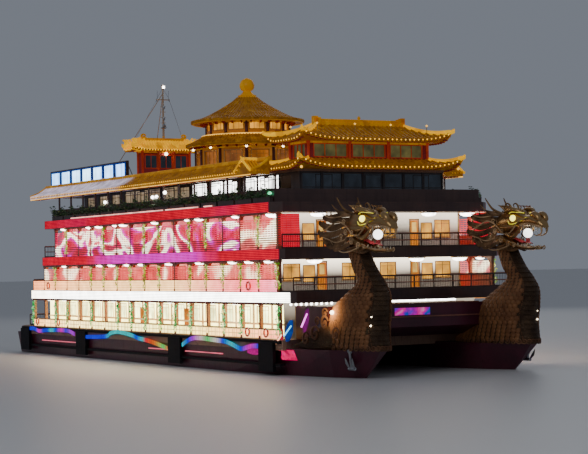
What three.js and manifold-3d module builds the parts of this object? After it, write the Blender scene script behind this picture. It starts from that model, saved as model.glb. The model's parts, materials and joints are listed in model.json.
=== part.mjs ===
// A twin-hulled dragon boat for river cruises, as a 1:2 scale model. X runs forward, Y to port, Z up.
// The origin lies amidships on the waterline. Sizes are those of the full-size boat, in metres, and
// the export scales them to the model's millimetres.
import * as THREE from 'three';
import { mergeVertices } from 'three/addons/utils/BufferGeometryUtils.js';
import Module from 'manifold-3d';

const wasm = await Module();
wasm.setup();

// Driving dimensions, in metres of the full-size boat.
const MM_PER_METRE = 500;
const GAP = 0.0008;
const BEYOND = 60;
const BEAM = 20.4;
const HALF = BEAM / 2;
const STERN_X = -33.4;
const HULL_Y = 6.8;
const BAY = 2.99;
const POSTS = 18;
const FRONT_POST_X = 22.2;
const POST = 0.26;
const POST_Y = HALF - 0.2;
const WALL = 0.16;
const RAIL = 0.08;
const RAIL_HEIGHT = 1.08;
const GALLERY_Y = 9.66;
const MAIN_BOTTOM = 1.95;
const MAIN_TOP = 2.74;
const FORE_X = [22.7, 27.4];
const FORE_TOP = 4.3;
const FORE_HALF = 8.9;
const DECK_1 = { x: [-28.95, 24.6], z: [5.53, 6.37], half: HALF };
const DECK_2 = { x: [-25.8, 23.0], z: [8.84, 9.67], half: HALF };
const DECK_3 = { x: [-25.07, 21.96], z: [12.48, 13.28], half: HALF };
const ROOF = { x: [-29.0, 20.06], z: [15.75, 15.95], half: 8.4, frontHalf: 6.9, stepX: 16.4 - GAP };
const HOUSES = [
  { name: 'house_main', x: [-27.0, 21.0], z: [MAIN_TOP, 5.53], half: 9.0, sill: [3.9, 5.2] },
  { name: 'house_1', x: [-26.0, 19.2], z: [6.37, 8.84], half: 8.8, sill: [7.2, 8.5] },
  { name: 'house_2', x: [-24.0, 19.2], z: [9.67, 12.48], half: 8.8, sill: [10.5, 11.9] },
  { name: 'house_3', x: [-23.0, 20.06], z: [13.28, 15.75], half: 6.8, sill: [14.3, 15.5] },
];
const DOOR = { width: 0.74, height: 2.15, thickness: 0.06, sill: 0.05, clearance: 0.012 };
const DOOR_Y = 4.8;
const STERN_DOOR = { half: 0.75, height: 2.15, sill: 0.05 };
const BOLLARD = { x: -31.0, y: 8.6, spread: 0.25, height: 0.6 };
const SIGN = { x: [-28.6, -9.7], y: [-8.06, -7.88], z: [16.35, 18.45], legs: 5 };
const EAVE = { x: [-29.0, 18.15], z: 15.6, inner: 8.42, rise: 1.15 };
const GABLE = { x: [15.75, 18.15], inner: 9.0, peak: 16.7 };
const PAVILION = { x: 18.1, y: 0, half: [1.43, 5.66], z: [15.95, 18.2], sill: [16.95, 18.0] };
const PAGODA_X = -0.9;
const PAGODA = { lower: 4.75, upper: 3.75, skirt: 5.6, cone: 5.1, z: [15.95, 19.2, 20.15, 21.35, 23.9] };
const AFT = { x: -18.6, half: [0.5, 2.6], z: [15.95, 20.0], roofHalf: [1.2, 3.9], sill: [18.3, 19.6] };
const AFT_RIDGE = 21.3;
const MAST_TOP = 26.65;
const SHAFT_Z = -1.5;
const PROP = { x: -30.9, radius: 0.78, hub: 0.2, blades: 4 };
const RUDDER = { x: -32.2, chord: 1.15, z: [-2.3, -0.72] };

// Finishes: colour, roughness, metalness.
const FINISH = {
  hull: ['#3a1118', 0.45, 0.1],
  white: ['#f4efe4', 0.5, 0],
  rose: ['#e2315c', 0.5, 0],
  timber: ['#8a4a2a', 0.6, 0],
  cream: ['#efe2c8', 0.6, 0],
  tile: ['#d79a1e', 0.4, 0.2],
  crimson: ['#a3242c', 0.5, 0],
  bronze: ['#8c6a3a', 0.4, 0.7],
  pearl: ['#ffffff', 0.2, 0],
  rubber: ['#17171a', 0.8, 0],
  brass: ['#b08a3c', 0.3, 0.9],
  steel: ['#8d9196', 0.4, 0.8],
  dark: ['#2b2a30', 0.6, 0],
};

const boat = new THREE.Group();

// Solids.

function signedVolume(points, index) {
  let volume = 0;
  for (let i = 0; i < index.length; i += 3) {
    const [a, b, c] = [0, 1, 2].map((k) => new THREE.Vector3().fromArray(points, index[i + k] * 3));
    volume += a.dot(b.cross(c));
  }
  return volume;
}

function solid(geometry) {
  const bare = geometry.clone();
  bare.deleteAttribute('normal');
  bare.deleteAttribute('uv');
  const merged = mergeVertices(bare, 1e-5);
  const points = Float32Array.from(merged.attributes.position.array);
  const index = Uint32Array.from(merged.index.array);
  if (signedVolume(points, index) < 0) index.reverse();
  return new wasm.Manifold(new wasm.Mesh({ numProp: 3, vertProperties: points, triVerts: index }));
}

function join(...parts) {
  return parts.flat().reduce((whole, part) => whole.add(part));
}

function cut(body, ...tools) {
  return tools.flat().reduce((rest, tool) => rest.subtract(tool), body);
}

function box(x, y, z) {
  const geometry = new THREE.BoxGeometry(x[1] - x[0], y[1] - y[0], z[1] - z[0]);
  geometry.translate((x[0] + x[1]) / 2, (y[0] + y[1]) / 2, (z[0] + z[1]) / 2);
  return solid(geometry);
}

// A box given by its middle and its sizes along X, Y and Z.
function block(cx, cy, cz, sx, sy, sz) {
  return box([cx - sx / 2, cx + sx / 2], [cy - sy / 2, cy + sy / 2], [cz - sz / 2, cz + sz / 2]);
}

// All that lies under a height, for cutting roofs and feet off level.
function below(z) {
  return box([-BEYOND, BEYOND], [-BEYOND, BEYOND], [z - BEYOND, z]);
}

// Rings of points with the same count are joined in turn. A ring loft closes on itself or is capped.
function loft(rings, closed = false) {
  const count = rings[0].length;
  const points = rings.flat(2);
  const index = [];
  const pairs = closed ? rings.length : rings.length - 1;
  for (let r = 0; r < pairs; r += 1) {
    const a = r * count;
    const b = ((r + 1) % rings.length) * count;
    for (let i = 0; i < count; i += 1) {
      const j = (i + 1) % count;
      index.push(a + i, a + j, b + j, a + i, b + j, b + i);
    }
  }
  if (!closed) {
    for (const [ring, flip] of [[0, true], [rings.length - 1, false]]) {
      const middle = points.length / 3;
      for (const k of [0, 1, 2]) {
        points.push(rings[ring].reduce((sum, point) => sum + point[k], 0) / count);
      }
      for (let i = 0; i < count; i += 1) {
        const pair = [ring * count + i, ring * count + ((i + 1) % count)];
        if (flip) pair.reverse();
        index.push(...pair, middle);
      }
    }
  }
  const geometry = new THREE.BufferGeometry();
  geometry.setAttribute('position', new THREE.Float32BufferAttribute(points, 3));
  geometry.setIndex(index);
  return solid(geometry);
}

// An outline in the XY plane, raised from one height to another.
function slab(outline, z) {
  return loft(z.map((height) => outline.map(([x, y]) => [x, y, height])));
}

// An outline in the XZ plane, from one Y to another.
function sidePanel(outline, y) {
  return loft(y.map((across) => outline.map(([x, z]) => [x, across, z])));
}

// An outline in the YZ plane, from one X to another.
function crossPanel(outline, x) {
  return loft(x.map((along) => outline.map(([y, z]) => [along, y, z])));
}

function lathe(profile, x, y, steps) {
  const geometry = new THREE.LatheGeometry(profile.map(([r, z]) => new THREE.Vector2(r, z)), steps);
  geometry.rotateX(Math.PI / 2);
  geometry.translate(x, y, 0);
  return solid(geometry);
}

// A round bar between two points, its radius tapering from the first to the last.
function bar(from, to, r0, r1 = r0, sides = 8) {
  const a = new THREE.Vector3(...from);
  const b = new THREE.Vector3(...to);
  const geometry = new THREE.CylinderGeometry(r1, r0, a.distanceTo(b), sides);
  geometry.translate(0, a.distanceTo(b) / 2, 0);
  geometry.applyQuaternion(
    new THREE.Quaternion().setFromUnitVectors(new THREE.Vector3(0, 1, 0), b.clone().sub(a).normalize()),
  );
  geometry.translate(a.x, a.y, a.z);
  return solid(geometry);
}

// A tapering limb along a smooth curve through a few points, such as a horn.
function limb(route, r0, r1, steps = 4, sides = 4) {
  const curve = new THREE.CatmullRomCurve3(route.map((point) => new THREE.Vector3(...point)));
  const rings = [];
  for (let i = 0; i <= steps; i += 1) {
    const t = i / steps;
    const centre = curve.getPoint(t);
    const along = curve.getTangent(t);
    const side = new THREE.Vector3(0, 1, 0).cross(along).normalize();
    const other = along.clone().cross(side);
    const radius = r0 + (r1 - r0) * t;
    const ring = [];
    for (let k = 0; k < sides; k += 1) {
      const angle = (k / sides) * 2 * Math.PI;
      const point = centre.clone();
      point.addScaledVector(side, radius * Math.cos(angle));
      point.addScaledVector(other, radius * Math.sin(angle));
      ring.push(point.toArray());
    }
    rings.push(ring);
  }
  return loft(rings);
}

function add(name, body, finish) {
  const { vertProperties, triVerts, numProp } = body.getMesh();
  const points = new Float32Array((vertProperties.length / numProp) * 3);
  for (let i = 0; i < points.length / 3; i += 1) {
    for (const k of [0, 1, 2]) points[i * 3 + k] = vertProperties[i * numProp + k] * MM_PER_METRE;
  }
  const geometry = new THREE.BufferGeometry();
  geometry.setAttribute('position', new THREE.BufferAttribute(points, 3));
  geometry.setIndex(Array.from(triVerts));
  const [color, roughness, metalness] = FINISH[finish];
  const mesh = new THREE.Mesh(geometry, new THREE.MeshStandardMaterial({ color, roughness, metalness }));
  mesh.name = name;
  boat.add(mesh);
}

const SIDES = [['stbd', -1], ['port', 1]];
const postX = (i) => FRONT_POST_X - i * BAY;

// Main deck and hulls.

function mainDeck(grow = 0) {
  const outline = [
    [STERN_X + 0.4 - grow, -HALF + 0.9], [STERN_X + 1.6, -HALF - grow],
    [FORE_X[0] + 0.2 + grow, -HALF - grow], [FORE_X[0] + 0.2 + grow, HALF + grow],
    [STERN_X + 1.6, HALF + grow], [STERN_X + 0.4 - grow, HALF - 0.9],
  ];
  return slab(outline, [MAIN_BOTTOM - grow, MAIN_TOP + grow]);
}

// Columns: X at the keel, the water and the top; half widths at the same heights; keel and top Z.
const HULL_STATIONS = [
  { x: [-33.0, -33.2, STERN_X], half: [0.9, 3.0, 3.3], z: [-0.3, 2.1] },
  { x: [-29.4, -29.4, -29.4], half: [1.0, 3.1, 3.3], z: [-0.5, 2.1] },
  { x: [-24.0, -24.0, -24.0], half: [1.0, 3.1, 3.3], z: [-2.0, 2.1] },
  { x: [-18.0, -18.0, -18.0], half: [1.0, 3.2, 3.3], z: [-2.3, 2.1] },
  { x: [14.0, 14.0, 14.0], half: [1.0, 3.1, 3.3], z: [-2.3, 2.1] },
  { x: [22.0, 22.4, 22.9], half: [0.7, 2.3, 3.1], z: [-2.3, 2.1] },
  { x: [26.0, 26.8, 27.8], half: [0.35, 1.3, 2.3], z: [-2.1, 2.1] },
  { x: [27.4, 29.1, 31.7], half: [0.08, 0.12, 0.3], z: [-1.7, 2.1] },
];

// The hull grows by a small amount where it cuts what is seated on it.
function hull(side, grow = 0) {
  const y = side * HULL_Y;
  return loft(HULL_STATIONS.map(({ x, half, z }) => {
    const [keel, water, top] = half.map((value) => value + grow);
    return [
      [x[0], y - keel, z[0] - grow], [x[1], y - water, 0], [x[2], y - top, z[1] + grow],
      [x[2], y + top, z[1] + grow], [x[1], y + water, 0], [x[0], y + keel, z[0] - grow],
    ];
  }));
}

function rudderTrunk(side) {
  return bar([RUDDER.x, side * HULL_Y, RUDDER.z[1]], [RUDDER.x, side * HULL_Y, 0.3], 0.22, 0.22, 12);
}

function buildHulls() {
  add('main_deck', mainDeck(), 'timber');
  for (const [label, side] of SIDES) {
    add(`hull_${label}`, join(cut(hull(side), mainDeck(GAP)), rudderTrunk(side)), 'hull');
  }
}

// A pair of posts on a foot at each quarter takes the mooring lines.
function buildBollards() {
  const { x, y, spread, height } = BOLLARD;
  const floor = MAIN_TOP + GAP;
  for (const [label, side] of SIDES) {
    const posts = [-spread, spread].map((off) => box(
      [x + off - 0.1, x + off + 0.1], [side * y - 0.1, side * y + 0.1], [floor, MAIN_TOP + height],
    ));
    const foot = box([x - 0.45, x + 0.45], [side * y - 0.2, side * y + 0.2], [floor, floor + 0.12]);
    add(`bollard_${label}`, join(foot, posts), 'dark');
  }
}

// Rub rails run along each side of the deck edge, and upright fender blocks hang on them.
const FENDER_POSTS = [0.52, 5.9, 12.7, 17.6];
const FENDER = { half: 1.15, z: [0.3, 2.5] };

function buildFenders() {
  for (const [label, side] of SIDES) {
    const y = (inner, outer) => [side * inner, side * outer].sort((a, b) => a - b);
    const outer = HALF + 0.28;
    const upper = box([STERN_X + 1.8, FORE_X[0]], y(HALF + GAP, HALF + 0.16), [2.45, 2.68]);
    const lower = box([STERN_X + 1.8, FORE_X[0]], y(HALF - 0.02, HALF + 0.14), [0.75, 0.95]);
    const blocks = FENDER_POSTS.map((i) => box(
      [postX(i) - FENDER.half, postX(i) + FENDER.half], y(HALF + 0.02, outer), FENDER.z,
    ));
    const inboard = box([STERN_X + 2, FORE_X[0] - 0.5], y(9.6, HALF + 0.1), [0.78, 0.92]);
    const seated = cut(join(lower, inboard), hull(side, GAP));
    add(`fender_rail_${label}`, join(upper, seated, blocks), 'rubber');
  }
}

// Propeller shafts, propellers and rudders under each stern.

function buildStern() {
  for (const [label, side] of SIDES) {
    const y = side * HULL_Y;
    const tube = bar([-24.5, y, SHAFT_Z], [PROP.x + 0.3, y, SHAFT_Z], 0.14, 0.14, 12);
    const strut = box([PROP.x + 0.35, PROP.x + 0.85], [y - 0.05, y + 0.05], [SHAFT_Z, 0]);
    add(`shaft_${label}`, cut(join(tube, strut), hull(side, GAP)), 'steel');

    const blades = [];
    for (let i = 0; i < PROP.blades; i += 1) {
      const blade = new THREE.BoxGeometry(0.06, 0.42, PROP.radius - 0.1);
      blade.rotateZ(0.6);
      blade.translate(0, 0, (PROP.radius + 0.1) / 2);
      blade.rotateX((i / PROP.blades) * 2 * Math.PI);
      blade.translate(PROP.x, y, SHAFT_Z);
      blades.push(solid(blade));
    }
    const hub = bar([PROP.x + 0.3 - GAP, y, SHAFT_Z], [PROP.x - 0.28, y, SHAFT_Z], PROP.hub, 0.1, 16);
    add(`propeller_${label}`, join(hub, blades), 'brass');

    const [low, high] = RUDDER.z;
    const blade = slab([
      [RUDDER.x + 0.35, y], [RUDDER.x + 0.2, y + 0.1], [RUDDER.x + 0.35 - RUDDER.chord, y],
      [RUDDER.x + 0.2, y - 0.1],
    ], [low, high - 0.14]);
    const stock = bar([RUDDER.x, y, low + 0.2], [RUDDER.x, y, high - GAP], 0.09, 0.09, 12);
    add(`rudder_${label}`, join(blade, stock), 'steel');
  }
}

// The dragons: body and neck rise from each bow, and the head holds a pearl.

// Columns: height, middle X, half length, half width.
const DRAGON_RINGS = [
  [2.1, 26.9, 5.0, 1.75],
  [3.8, 27.95, 3.4, 2.0],
  [5.1, 28.75, 2.8, 1.85],
  [6.2, 29.75, 1.95, 1.4],
  [7.1, 30.15, 1.05, 0.95],
  [8.0, 29.4, 0.9, 0.85],
  [9.3, 28.6, 0.78, 0.75],
  [9.95, 28.5, 0.7, 0.7],
];
const RING_POINTS = 14;

function dragonBody(side, grow = 0) {
  const rings = DRAGON_RINGS.map(([z, x, a, b], level) => {
    const ring = [];
    for (let i = 0; i < RING_POINTS; i += 1) {
      const angle = (i / RING_POINTS) * 2 * Math.PI;
      ring.push([
        x + (a + grow) * Math.cos(angle),
        side * HULL_Y + (b + grow) * Math.sin(angle),
        z + (level === 0 ? GAP - grow : 0),
      ]);
    }
    return ring;
  });
  return loft(rings);
}

// Columns: X, middle Z, half height, half width.
const SKULL_RINGS = [
  [26.9, 11.05, 0.6, 0.6],
  [28.0, 11.25, 1.05, 1.0],
  [29.2, 11.5, 1.0, 1.05],
  [30.2, 11.48, 0.58, 0.82],
  [31.3, 11.4, 0.46, 0.62],
  [32.2, 11.42, 0.46, 0.6],
  [32.95, 11.22, 0.42, 0.5],
  [33.35, 11.0, 0.2, 0.3],
];
const JAW_RINGS = [
  [27.4, 10.3, 0.45, 0.8],
  [29.5, 9.75, 0.26, 0.62],
  [31.4, 9.5, 0.2, 0.48],
  [32.6, 9.42, 0.15, 0.3],
];
const PEARL = { x: 31.2, z: 10.5, radius: 0.38 };

// The body's tail tapers aft along the outer side of the bow.
// Columns: X, low and high Z, inner and outer Y.
const FLANK = [
  [24.4, 2.15, 2.3, 9.4, 9.85],
  [26.2, 2.1, 3.3, 8.7, 9.7],
  [28.2, 2.1, 4.4, 7.6, 8.75],
];

function muzzle(rows, y) {
  const rings = rows.map(([x, z, h, w]) => {
    const ring = [];
    for (let i = 0; i < 8; i += 1) {
      const angle = (i / 8) * 2 * Math.PI;
      ring.push([x, y + w * Math.cos(angle), z + h * Math.sin(angle)]);
    }
    return ring;
  });
  return loft(rings);
}

// Antlers, crown curls, locks of the mane and the beard, on both sides of the head.
// Columns: root, bend and tip, each as X, offset from the head's middle and Z; then the root's radius.
const LOCKS = [
  [[28.2, 0.45, 12.0], [26.4, 0.85, 12.5], [24.1, 1.0, 13.7], 0.22],
  [[26.9, 0.75, 12.2], [25.2, 1.1, 12.5], [23.5, 1.3, 13.1], 0.15],
  [[28.3, 0.3, 12.2], [27.9, 0.4, 12.9], [27.3, 0.4, 13.2], 0.16],
  [[27.6, 0.6, 11.5], [25.5, 1.3, 12.0], [23.2, 1.6, 12.1], 0.24],
  [[27.6, 0.6, 11.1], [25.4, 1.6, 11.2], [22.8, 2.1, 11.5], 0.26],
  [[27.6, 0.6, 10.8], [25.4, 1.6, 10.5], [23.1, 2.1, 10.6], 0.26],
  [[27.7, 0.6, 10.5], [25.9, 1.4, 9.9], [24.3, 1.9, 9.7], 0.24],
  [[28.2, 0.6, 10.2], [26.8, 1.2, 9.5], [25.5, 1.5, 9.4], 0.22],
  [[29.8, 0.4, 9.75], [28.9, 0.7, 9.35], [27.7, 0.85, 9.3], 0.18],
];

function buildDragons() {
  for (const [label, side] of SIDES) {
    const y = side * HULL_Y;
    const flank = loft(FLANK.map(([x, low, high, inner, outer]) => [
      [x, side * inner, low], [x, side * inner, high], [x, side * outer, high], [x, side * outer, low],
    ]));
    const foreDeck = box([0, FORE_X[1] + GAP], [-FORE_HALF - GAP, FORE_HALF + GAP], [MAIN_TOP, 9]);
    const body = cut(join(dragonBody(side), cut(flank, foreDeck)), mainDeck(GAP), hull(side, GAP));
    add(`dragon_body_${label}`, body, 'bronze');

    const locks = LOCKS.flatMap(([root, bend, tip, radius]) => [-1, 1].map((hand) => limb(
      [root, bend, tip].map(([x, off, z]) => [x, y + hand * off, z]), radius, 0.04,
    )));
    const under = [JAW_RINGS[2][1], PEARL.z - PEARL.radius - GAP];
    const tongue = box([PEARL.x - 0.25, PEARL.x + 0.25], [y - 0.15, y + 0.15], under);
    const skull = join(muzzle(SKULL_RINGS, y), muzzle(JAW_RINGS, y), locks, tongue);
    add(`dragon_head_${label}`, cut(skull, dragonBody(side, GAP)), 'bronze');

    const pearl = new THREE.SphereGeometry(PEARL.radius, 12, 8);
    pearl.rotateX(Math.PI / 2);
    pearl.translate(PEARL.x, y, PEARL.z);
    add(`pearl_${label}`, solid(pearl), 'pearl');
  }
}

// The forecastle spans the bows and carries the tall bulwark between the dragons.

function buildForeDeck() {
  const dragons = SIDES.map(([, side]) => dragonBody(side, 2 * GAP));
  const bow = sidePanel([
    [FORE_X[0], MAIN_TOP + GAP], [FORE_X[0] + 1.8, MAIN_TOP + GAP], [FORE_X[1], 3.55],
    [FORE_X[1], FORE_TOP], [FORE_X[0], FORE_TOP],
  ], [-FORE_HALF, FORE_HALF]);
  const front = box([FORE_X[1] - 0.2, FORE_X[1]], [-FORE_HALF, FORE_HALF], [FORE_TOP - 0.1, 5.3]);
  const sides = SIDES.map(([, side]) => block(
    (FORE_X[0] + FORE_X[1]) / 2, side * (FORE_HALF - 0.1), 4.75, FORE_X[1] - FORE_X[0], 0.2, 1.1,
  ));
  add('fore_deck', cut(join(bow, front, sides), dragons), 'hull');
}

// Decks and deckhouses.

function buildDecks() {
  for (const [name, deck, corner, finish] of [
    ['deck_1', DECK_1, 0.3, 'white'], ['deck_2', DECK_2, 0.3, 'rose'], ['deck_3', DECK_3, 0.75, 'rose'],
  ]) {
    const [x0, x1] = deck.x;
    add(name, slab([
      [x0, -deck.half], [x1 - corner, -deck.half], [x1, -deck.half + corner],
      [x1, deck.half - corner], [x1 - corner, deck.half], [x0, deck.half],
    ], deck.z), finish);
  }
  const { x, z, half, frontHalf, stepX } = ROOF;
  const roof = join(
    box([x[0], stepX], [-half, half], z),
    box([stepX - 0.1, x[1]], [-frontHalf, frontHalf], z),
  );
  add('roof_deck', roof, 'cream');
}

const hasFrontDoors = (name) => name === 'house_1' || name === 'house_2';

function buildHouses() {
  for (const { name, x, z, half, sill } of HOUSES) {
    const height = [z[0] + GAP, z[1] - GAP];
    const outer = box(x, [-half, half], height);
    const inner = box([x[0] + WALL, x[1] - WALL], [-half + WALL, half - WALL], [z[0] - 1, z[1] + 1]);
    const tools = [inner];
    for (let i = 0; i < POSTS - 1; i += 1) {
      const middle = postX(i) - BAY / 2;
      const fits = middle - 1 > x[0] + 0.3 && middle + 1 < x[1] - 0.3;
      if (fits) tools.push(box([middle - 0.95, middle + 0.95], [-half - 1, half + 1], sill));
    }
    const frontWindows = name === 'house_3' ? [-4.6, 0, 4.6] : [-7.2, -1.8, 1.8, 7.2];
    for (const y of frontWindows) {
      tools.push(box([x[0] - 1, x[1] + 1], [y - 0.75, y + 0.75], sill));
    }
    const threshold = z[0] + STERN_DOOR.sill;
    tools.push(box(
      [x[0] - 1, x[0] + 1], [-STERN_DOOR.half, STERN_DOOR.half], [threshold, threshold + STERN_DOOR.height],
    ));
    if (hasFrontDoors(name)) {
      for (const [, side] of SIDES) {
        const edges = [side * DOOR_Y, side * (DOOR_Y - DOOR.width)].sort((a, b) => a - b);
        edges[side < 0 ? 0 : 1] += side * GAP;
        edges[side < 0 ? 1 : 0] -= side * DOOR.clearance;
        const base = z[0] + DOOR.sill;
        tools.push(box([x[1] - 1, x[1] + 1], edges, [base, base + DOOR.height + 2 * DOOR.clearance]));
      }
    }
    add(name, cut(outer, tools), name === 'house_3' ? 'dark' : 'cream');
  }
}

function buildDoors() {
  for (const { name, x, z } of HOUSES.filter((house) => hasFrontDoors(house.name))) {
    for (const [label, side] of SIDES) {
      const edges = [side * DOOR_Y, side * (DOOR_Y - DOOR.width)].sort((a, b) => a - b);
      const base = z[0] + DOOR.sill + DOOR.clearance;
      const leaf = box([x[1] - DOOR.thickness, x[1]], edges, [base, base + DOOR.height]);
      add(`door_${name.slice(-1)}_${label}`, leaf, 'timber');
    }
  }
}

// Posts, lintel and low panel in one plane along each side of the three lit decks. Knees brace some posts.
// Aft of the deck above, the posts end at the low panel.
const COLONNADES = [
  { name: 'colonnade_main', last: 17, z: [MAIN_TOP, DECK_1.z[0]], panel: 0.75, knee: 0, aft: -50 },
  {
    name: 'colonnade_1', last: 17, z: [DECK_1.z[1], DECK_2.z[0]], panel: 0.95, knee: 0.4, aft: DECK_2.x[0],
  },
  { name: 'colonnade_2', last: 15, z: [DECK_2.z[1], DECK_3.z[0]], panel: 0.95, knee: 0, aft: -50 },
];
const LINTEL = 0.16;

function bayOpening(x0, x1, z0, z1, knee) {
  const head = knee > 0
    ? [[x1, z1 - knee], [x1 - knee, z1], [x0 + knee, z1], [x0, z1 - knee]]
    : [[x1, z1], [x0, z1]];
  return sidePanel([[x0, z0], [x1, z0], ...head], [-HALF - 1, HALF + 1]);
}

function buildColonnades() {
  for (const { name, last, z, panel, knee, aft } of COLONNADES) {
    const [low, high] = [z[0] + GAP, z[1] - GAP];
    const bays = [];
    for (let i = 0; i < last; i += 1) {
      const [x0, x1] = [postX(i + 1) + POST / 2, postX(i) - POST / 2];
      const covered = x0 > aft;
      bays.push(bayOpening(x0, x1, low + panel, covered ? high - LINTEL : high + 1, covered ? knee : 0));
    }
    const open = box([-BEYOND, aft], [-HALF - 1, HALF + 1], [low + panel, high + 1]);
    for (const [label, side] of SIDES) {
      const y = [side * POST_Y - POST / 2, side * POST_Y + POST / 2];
      const plate = box([postX(last) - POST / 2, FRONT_POST_X + POST / 2], y, [low, high]);
      add(`${name}_${label}`, cut(plate, bays, open), 'timber');
    }
  }
}

// Railings across the open front balconies and the stern.

function railRun(from, to, z, bays) {
  const along = Math.abs(to[0] - from[0]) > Math.abs(to[1] - from[1]) ? 0 : 1;
  const pad = RAIL / 2;
  const span = (k, margin) => [Math.min(from[k], to[k]) - margin, Math.max(from[k], to[k]) + margin];
  const plate = box(span(0, pad), span(1, pad), [z, z + RAIL_HEIGHT]);
  const holes = [];
  for (let i = 0; i < bays; i += 1) {
    const ends = [i, i + 1].map((n) => from[along] + ((to[along] - from[along]) * n) / bays);
    ends.sort((a, b) => a - b);
    const reach = [[ends[0] + pad, ends[1] - pad], span(1 - along, 1)];
    if (along === 1) reach.reverse();
    holes.push(box(reach[0], reach[1], [z + 0.12, z + RAIL_HEIGHT - 0.07]));
  }
  return cut(plate, holes);
}

function buildRailings() {
  for (const [name, deck] of [['rail_1', DECK_1], ['rail_2', DECK_2]]) {
    const front = deck.x[1] - 0.25;
    const z = deck.z[1] + GAP;
    const run = railRun([front, -POST_Y], [front, POST_Y], z, 11);
    const sides = front - FRONT_POST_X > 1
      ? SIDES.map(([, side]) => railRun([FRONT_POST_X + 0.2, side * POST_Y], [front, side * POST_Y], z, 1))
      : [];
    add(name, join(run, sides), 'dark');
  }
  const sterns = [
    ['stern_rail_main', STERN_X + 0.7, HALF - 1.2, MAIN_TOP],
    ['stern_rail_1', DECK_1.x[0] + 0.1, POST_Y, DECK_1.z[1]],
    ['stern_rail_2', DECK_2.x[0] + 0.1, POST_Y, DECK_2.z[1]],
  ];
  for (const [name, x, half, floor] of sterns) {
    add(name, railRun([x, -half], [x, half], floor + GAP, 11), 'dark');
  }
}

// The third deck's gallery: low bulwarks all round, and posts that carry the side roofs.
const GALLERY = {
  x: [-24.4, 21.06], y: GALLERY_Y, height: 1.05, thickness: 0.12, posts: [2, 15], post: 0.1,
};

function buildGallery() {
  const { x, y, height, thickness, posts, post } = GALLERY;
  const z = [DECK_3.z[1] + GAP, DECK_3.z[1] + height];
  const bays = [box([postX(posts[0]) + post, BEYOND], [-BEYOND, BEYOND], [z[1], BEYOND])];
  for (let i = posts[0]; i < posts[1]; i += 1) {
    bays.push(box([postX(i + 1) + post, postX(i) - post], [-BEYOND, BEYOND], [z[1], BEYOND]));
  }
  bays.push(box([-BEYOND, postX(posts[1]) - post], [-BEYOND, BEYOND], [z[1], BEYOND]));
  for (const [label, side] of SIDES) {
    const across = [side * y, side * (y - thickness)].sort((a, b) => a - b);
    add(`gallery_3_${label}`, cut(box(x, across, [z[0], EAVE.z - GAP]), bays), 'dark');
  }
  const inside = y - thickness - GAP;
  add('rail_3', box([x[1] - thickness, x[1]], [-inside, inside], z), 'dark');
  add('stern_rail_3', box([x[0], x[0] + thickness], [-inside, inside], z), 'dark');
}

// Roofs.

// A rectangular ring with the same number of points on each side, and each point's place on its side.
function rectangle(cx, cy, a, b, steps) {
  const ring = [];
  const corners = [[a, -b], [a, b], [-a, b], [-a, -b]];
  for (let c = 0; c < 4; c += 1) {
    const [p, q] = [corners[c], corners[(c + 1) % 4]];
    for (let i = 0; i < steps; i += 1) {
      const t = i / steps;
      ring.push([cx + p[0] + (q[0] - p[0]) * t, cy + p[1] + (q[1] - p[1]) * t, 2 * t - 1]);
    }
  }
  return ring;
}

// A hipped roof whose eaves sweep up to the corners. The top ring is small where it ends in a ridge.
function sweptRoof({ cx, cy, outer, inner, eave, tip, rise, thickness, open }) {
  const steps = 6;
  const levels = [0, 0.3, 0.65, 1];
  const rings = levels.map((s) => {
    const a = outer[0] + (inner[0] - outer[0]) * s;
    const b = outer[1] + (inner[1] - outer[1]) * s;
    return rectangle(cx, cy, a, b, steps).map(([x, y, t]) => {
      const lift = tip * Math.abs(t) ** 5 * (1 - s) ** 2;
      return [x, y, eave + thickness + lift + rise * s ** 1.35];
    });
  });
  const under = rectangle(cx, cy, outer[0], outer[1], steps).map(
    ([x, y, t]) => [x, y, eave + tip * Math.abs(t) ** 5],
  );
  if (!open) {
    const flat = rectangle(cx, cy, outer[0] * 0.7, outer[1] * 0.8, steps).map(([x, y]) => [x, y, eave]);
    return loft([flat, under, ...rings]);
  }
  const inside = rectangle(cx, cy, inner[0], inner[1], steps).map(([x, y]) => [x, y, eave]);
  return loft([inside, under, ...rings], true);
}

// Hip ridges run from the top corners to the tips and curl up past them.
function hipRidges({ cx, cy, outer, inner, eave, tip, rise, thickness }) {
  const parts = [];
  for (const [i, j] of [[1, 1], [1, -1], [-1, 1], [-1, -1]]) {
    const rings = [-0.07, 0, 0.2, 0.5, 1].map((s) => {
      const x = cx + i * (outer[0] + (inner[0] - outer[0]) * s);
      const y = cy + j * (outer[1] + (inner[1] - outer[1]) * s);
      const lift = tip * Math.max(0, 1 - s) ** 2 + (s < 0 ? 0.18 : 0);
      const z = eave + thickness + lift + rise * Math.max(0, s) ** 1.35;
      const half = s < 0 ? 0.05 : 0.13;
      const length = Math.hypot(outer[0] - inner[0], outer[1] - inner[1]);
      const nx = (-j * (outer[1] - inner[1])) / length;
      const ny = (i * (outer[0] - inner[0])) / length;
      return [
        [x - nx * half, y - ny * half, z - 0.12], [x + nx * half, y + ny * half, z - 0.12],
        [x + nx * half, y + ny * half, z + 0.16], [x - nx * half, y - ny * half, z + 0.16],
      ];
    });
    parts.push(loft(rings));
  }
  return parts;
}

// A level ridge beam across the boat with an upturned ornament at each end.
function ridgeBeam(x, half, z, curl) {
  const thick = [x - 0.17, x + 0.17];
  const ends = [-1, 1].map((hand) => crossPanel([
    [hand * (half - 0.7), z[1] - 0.15], [hand * half, z[0] + 0.1],
    [hand * (half + 0.15), z[1] + curl], [hand * (half - 0.35), z[1] + 0.7 * curl],
  ], thick));
  return join(box(thick, [-half, half], z), ends);
}

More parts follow.
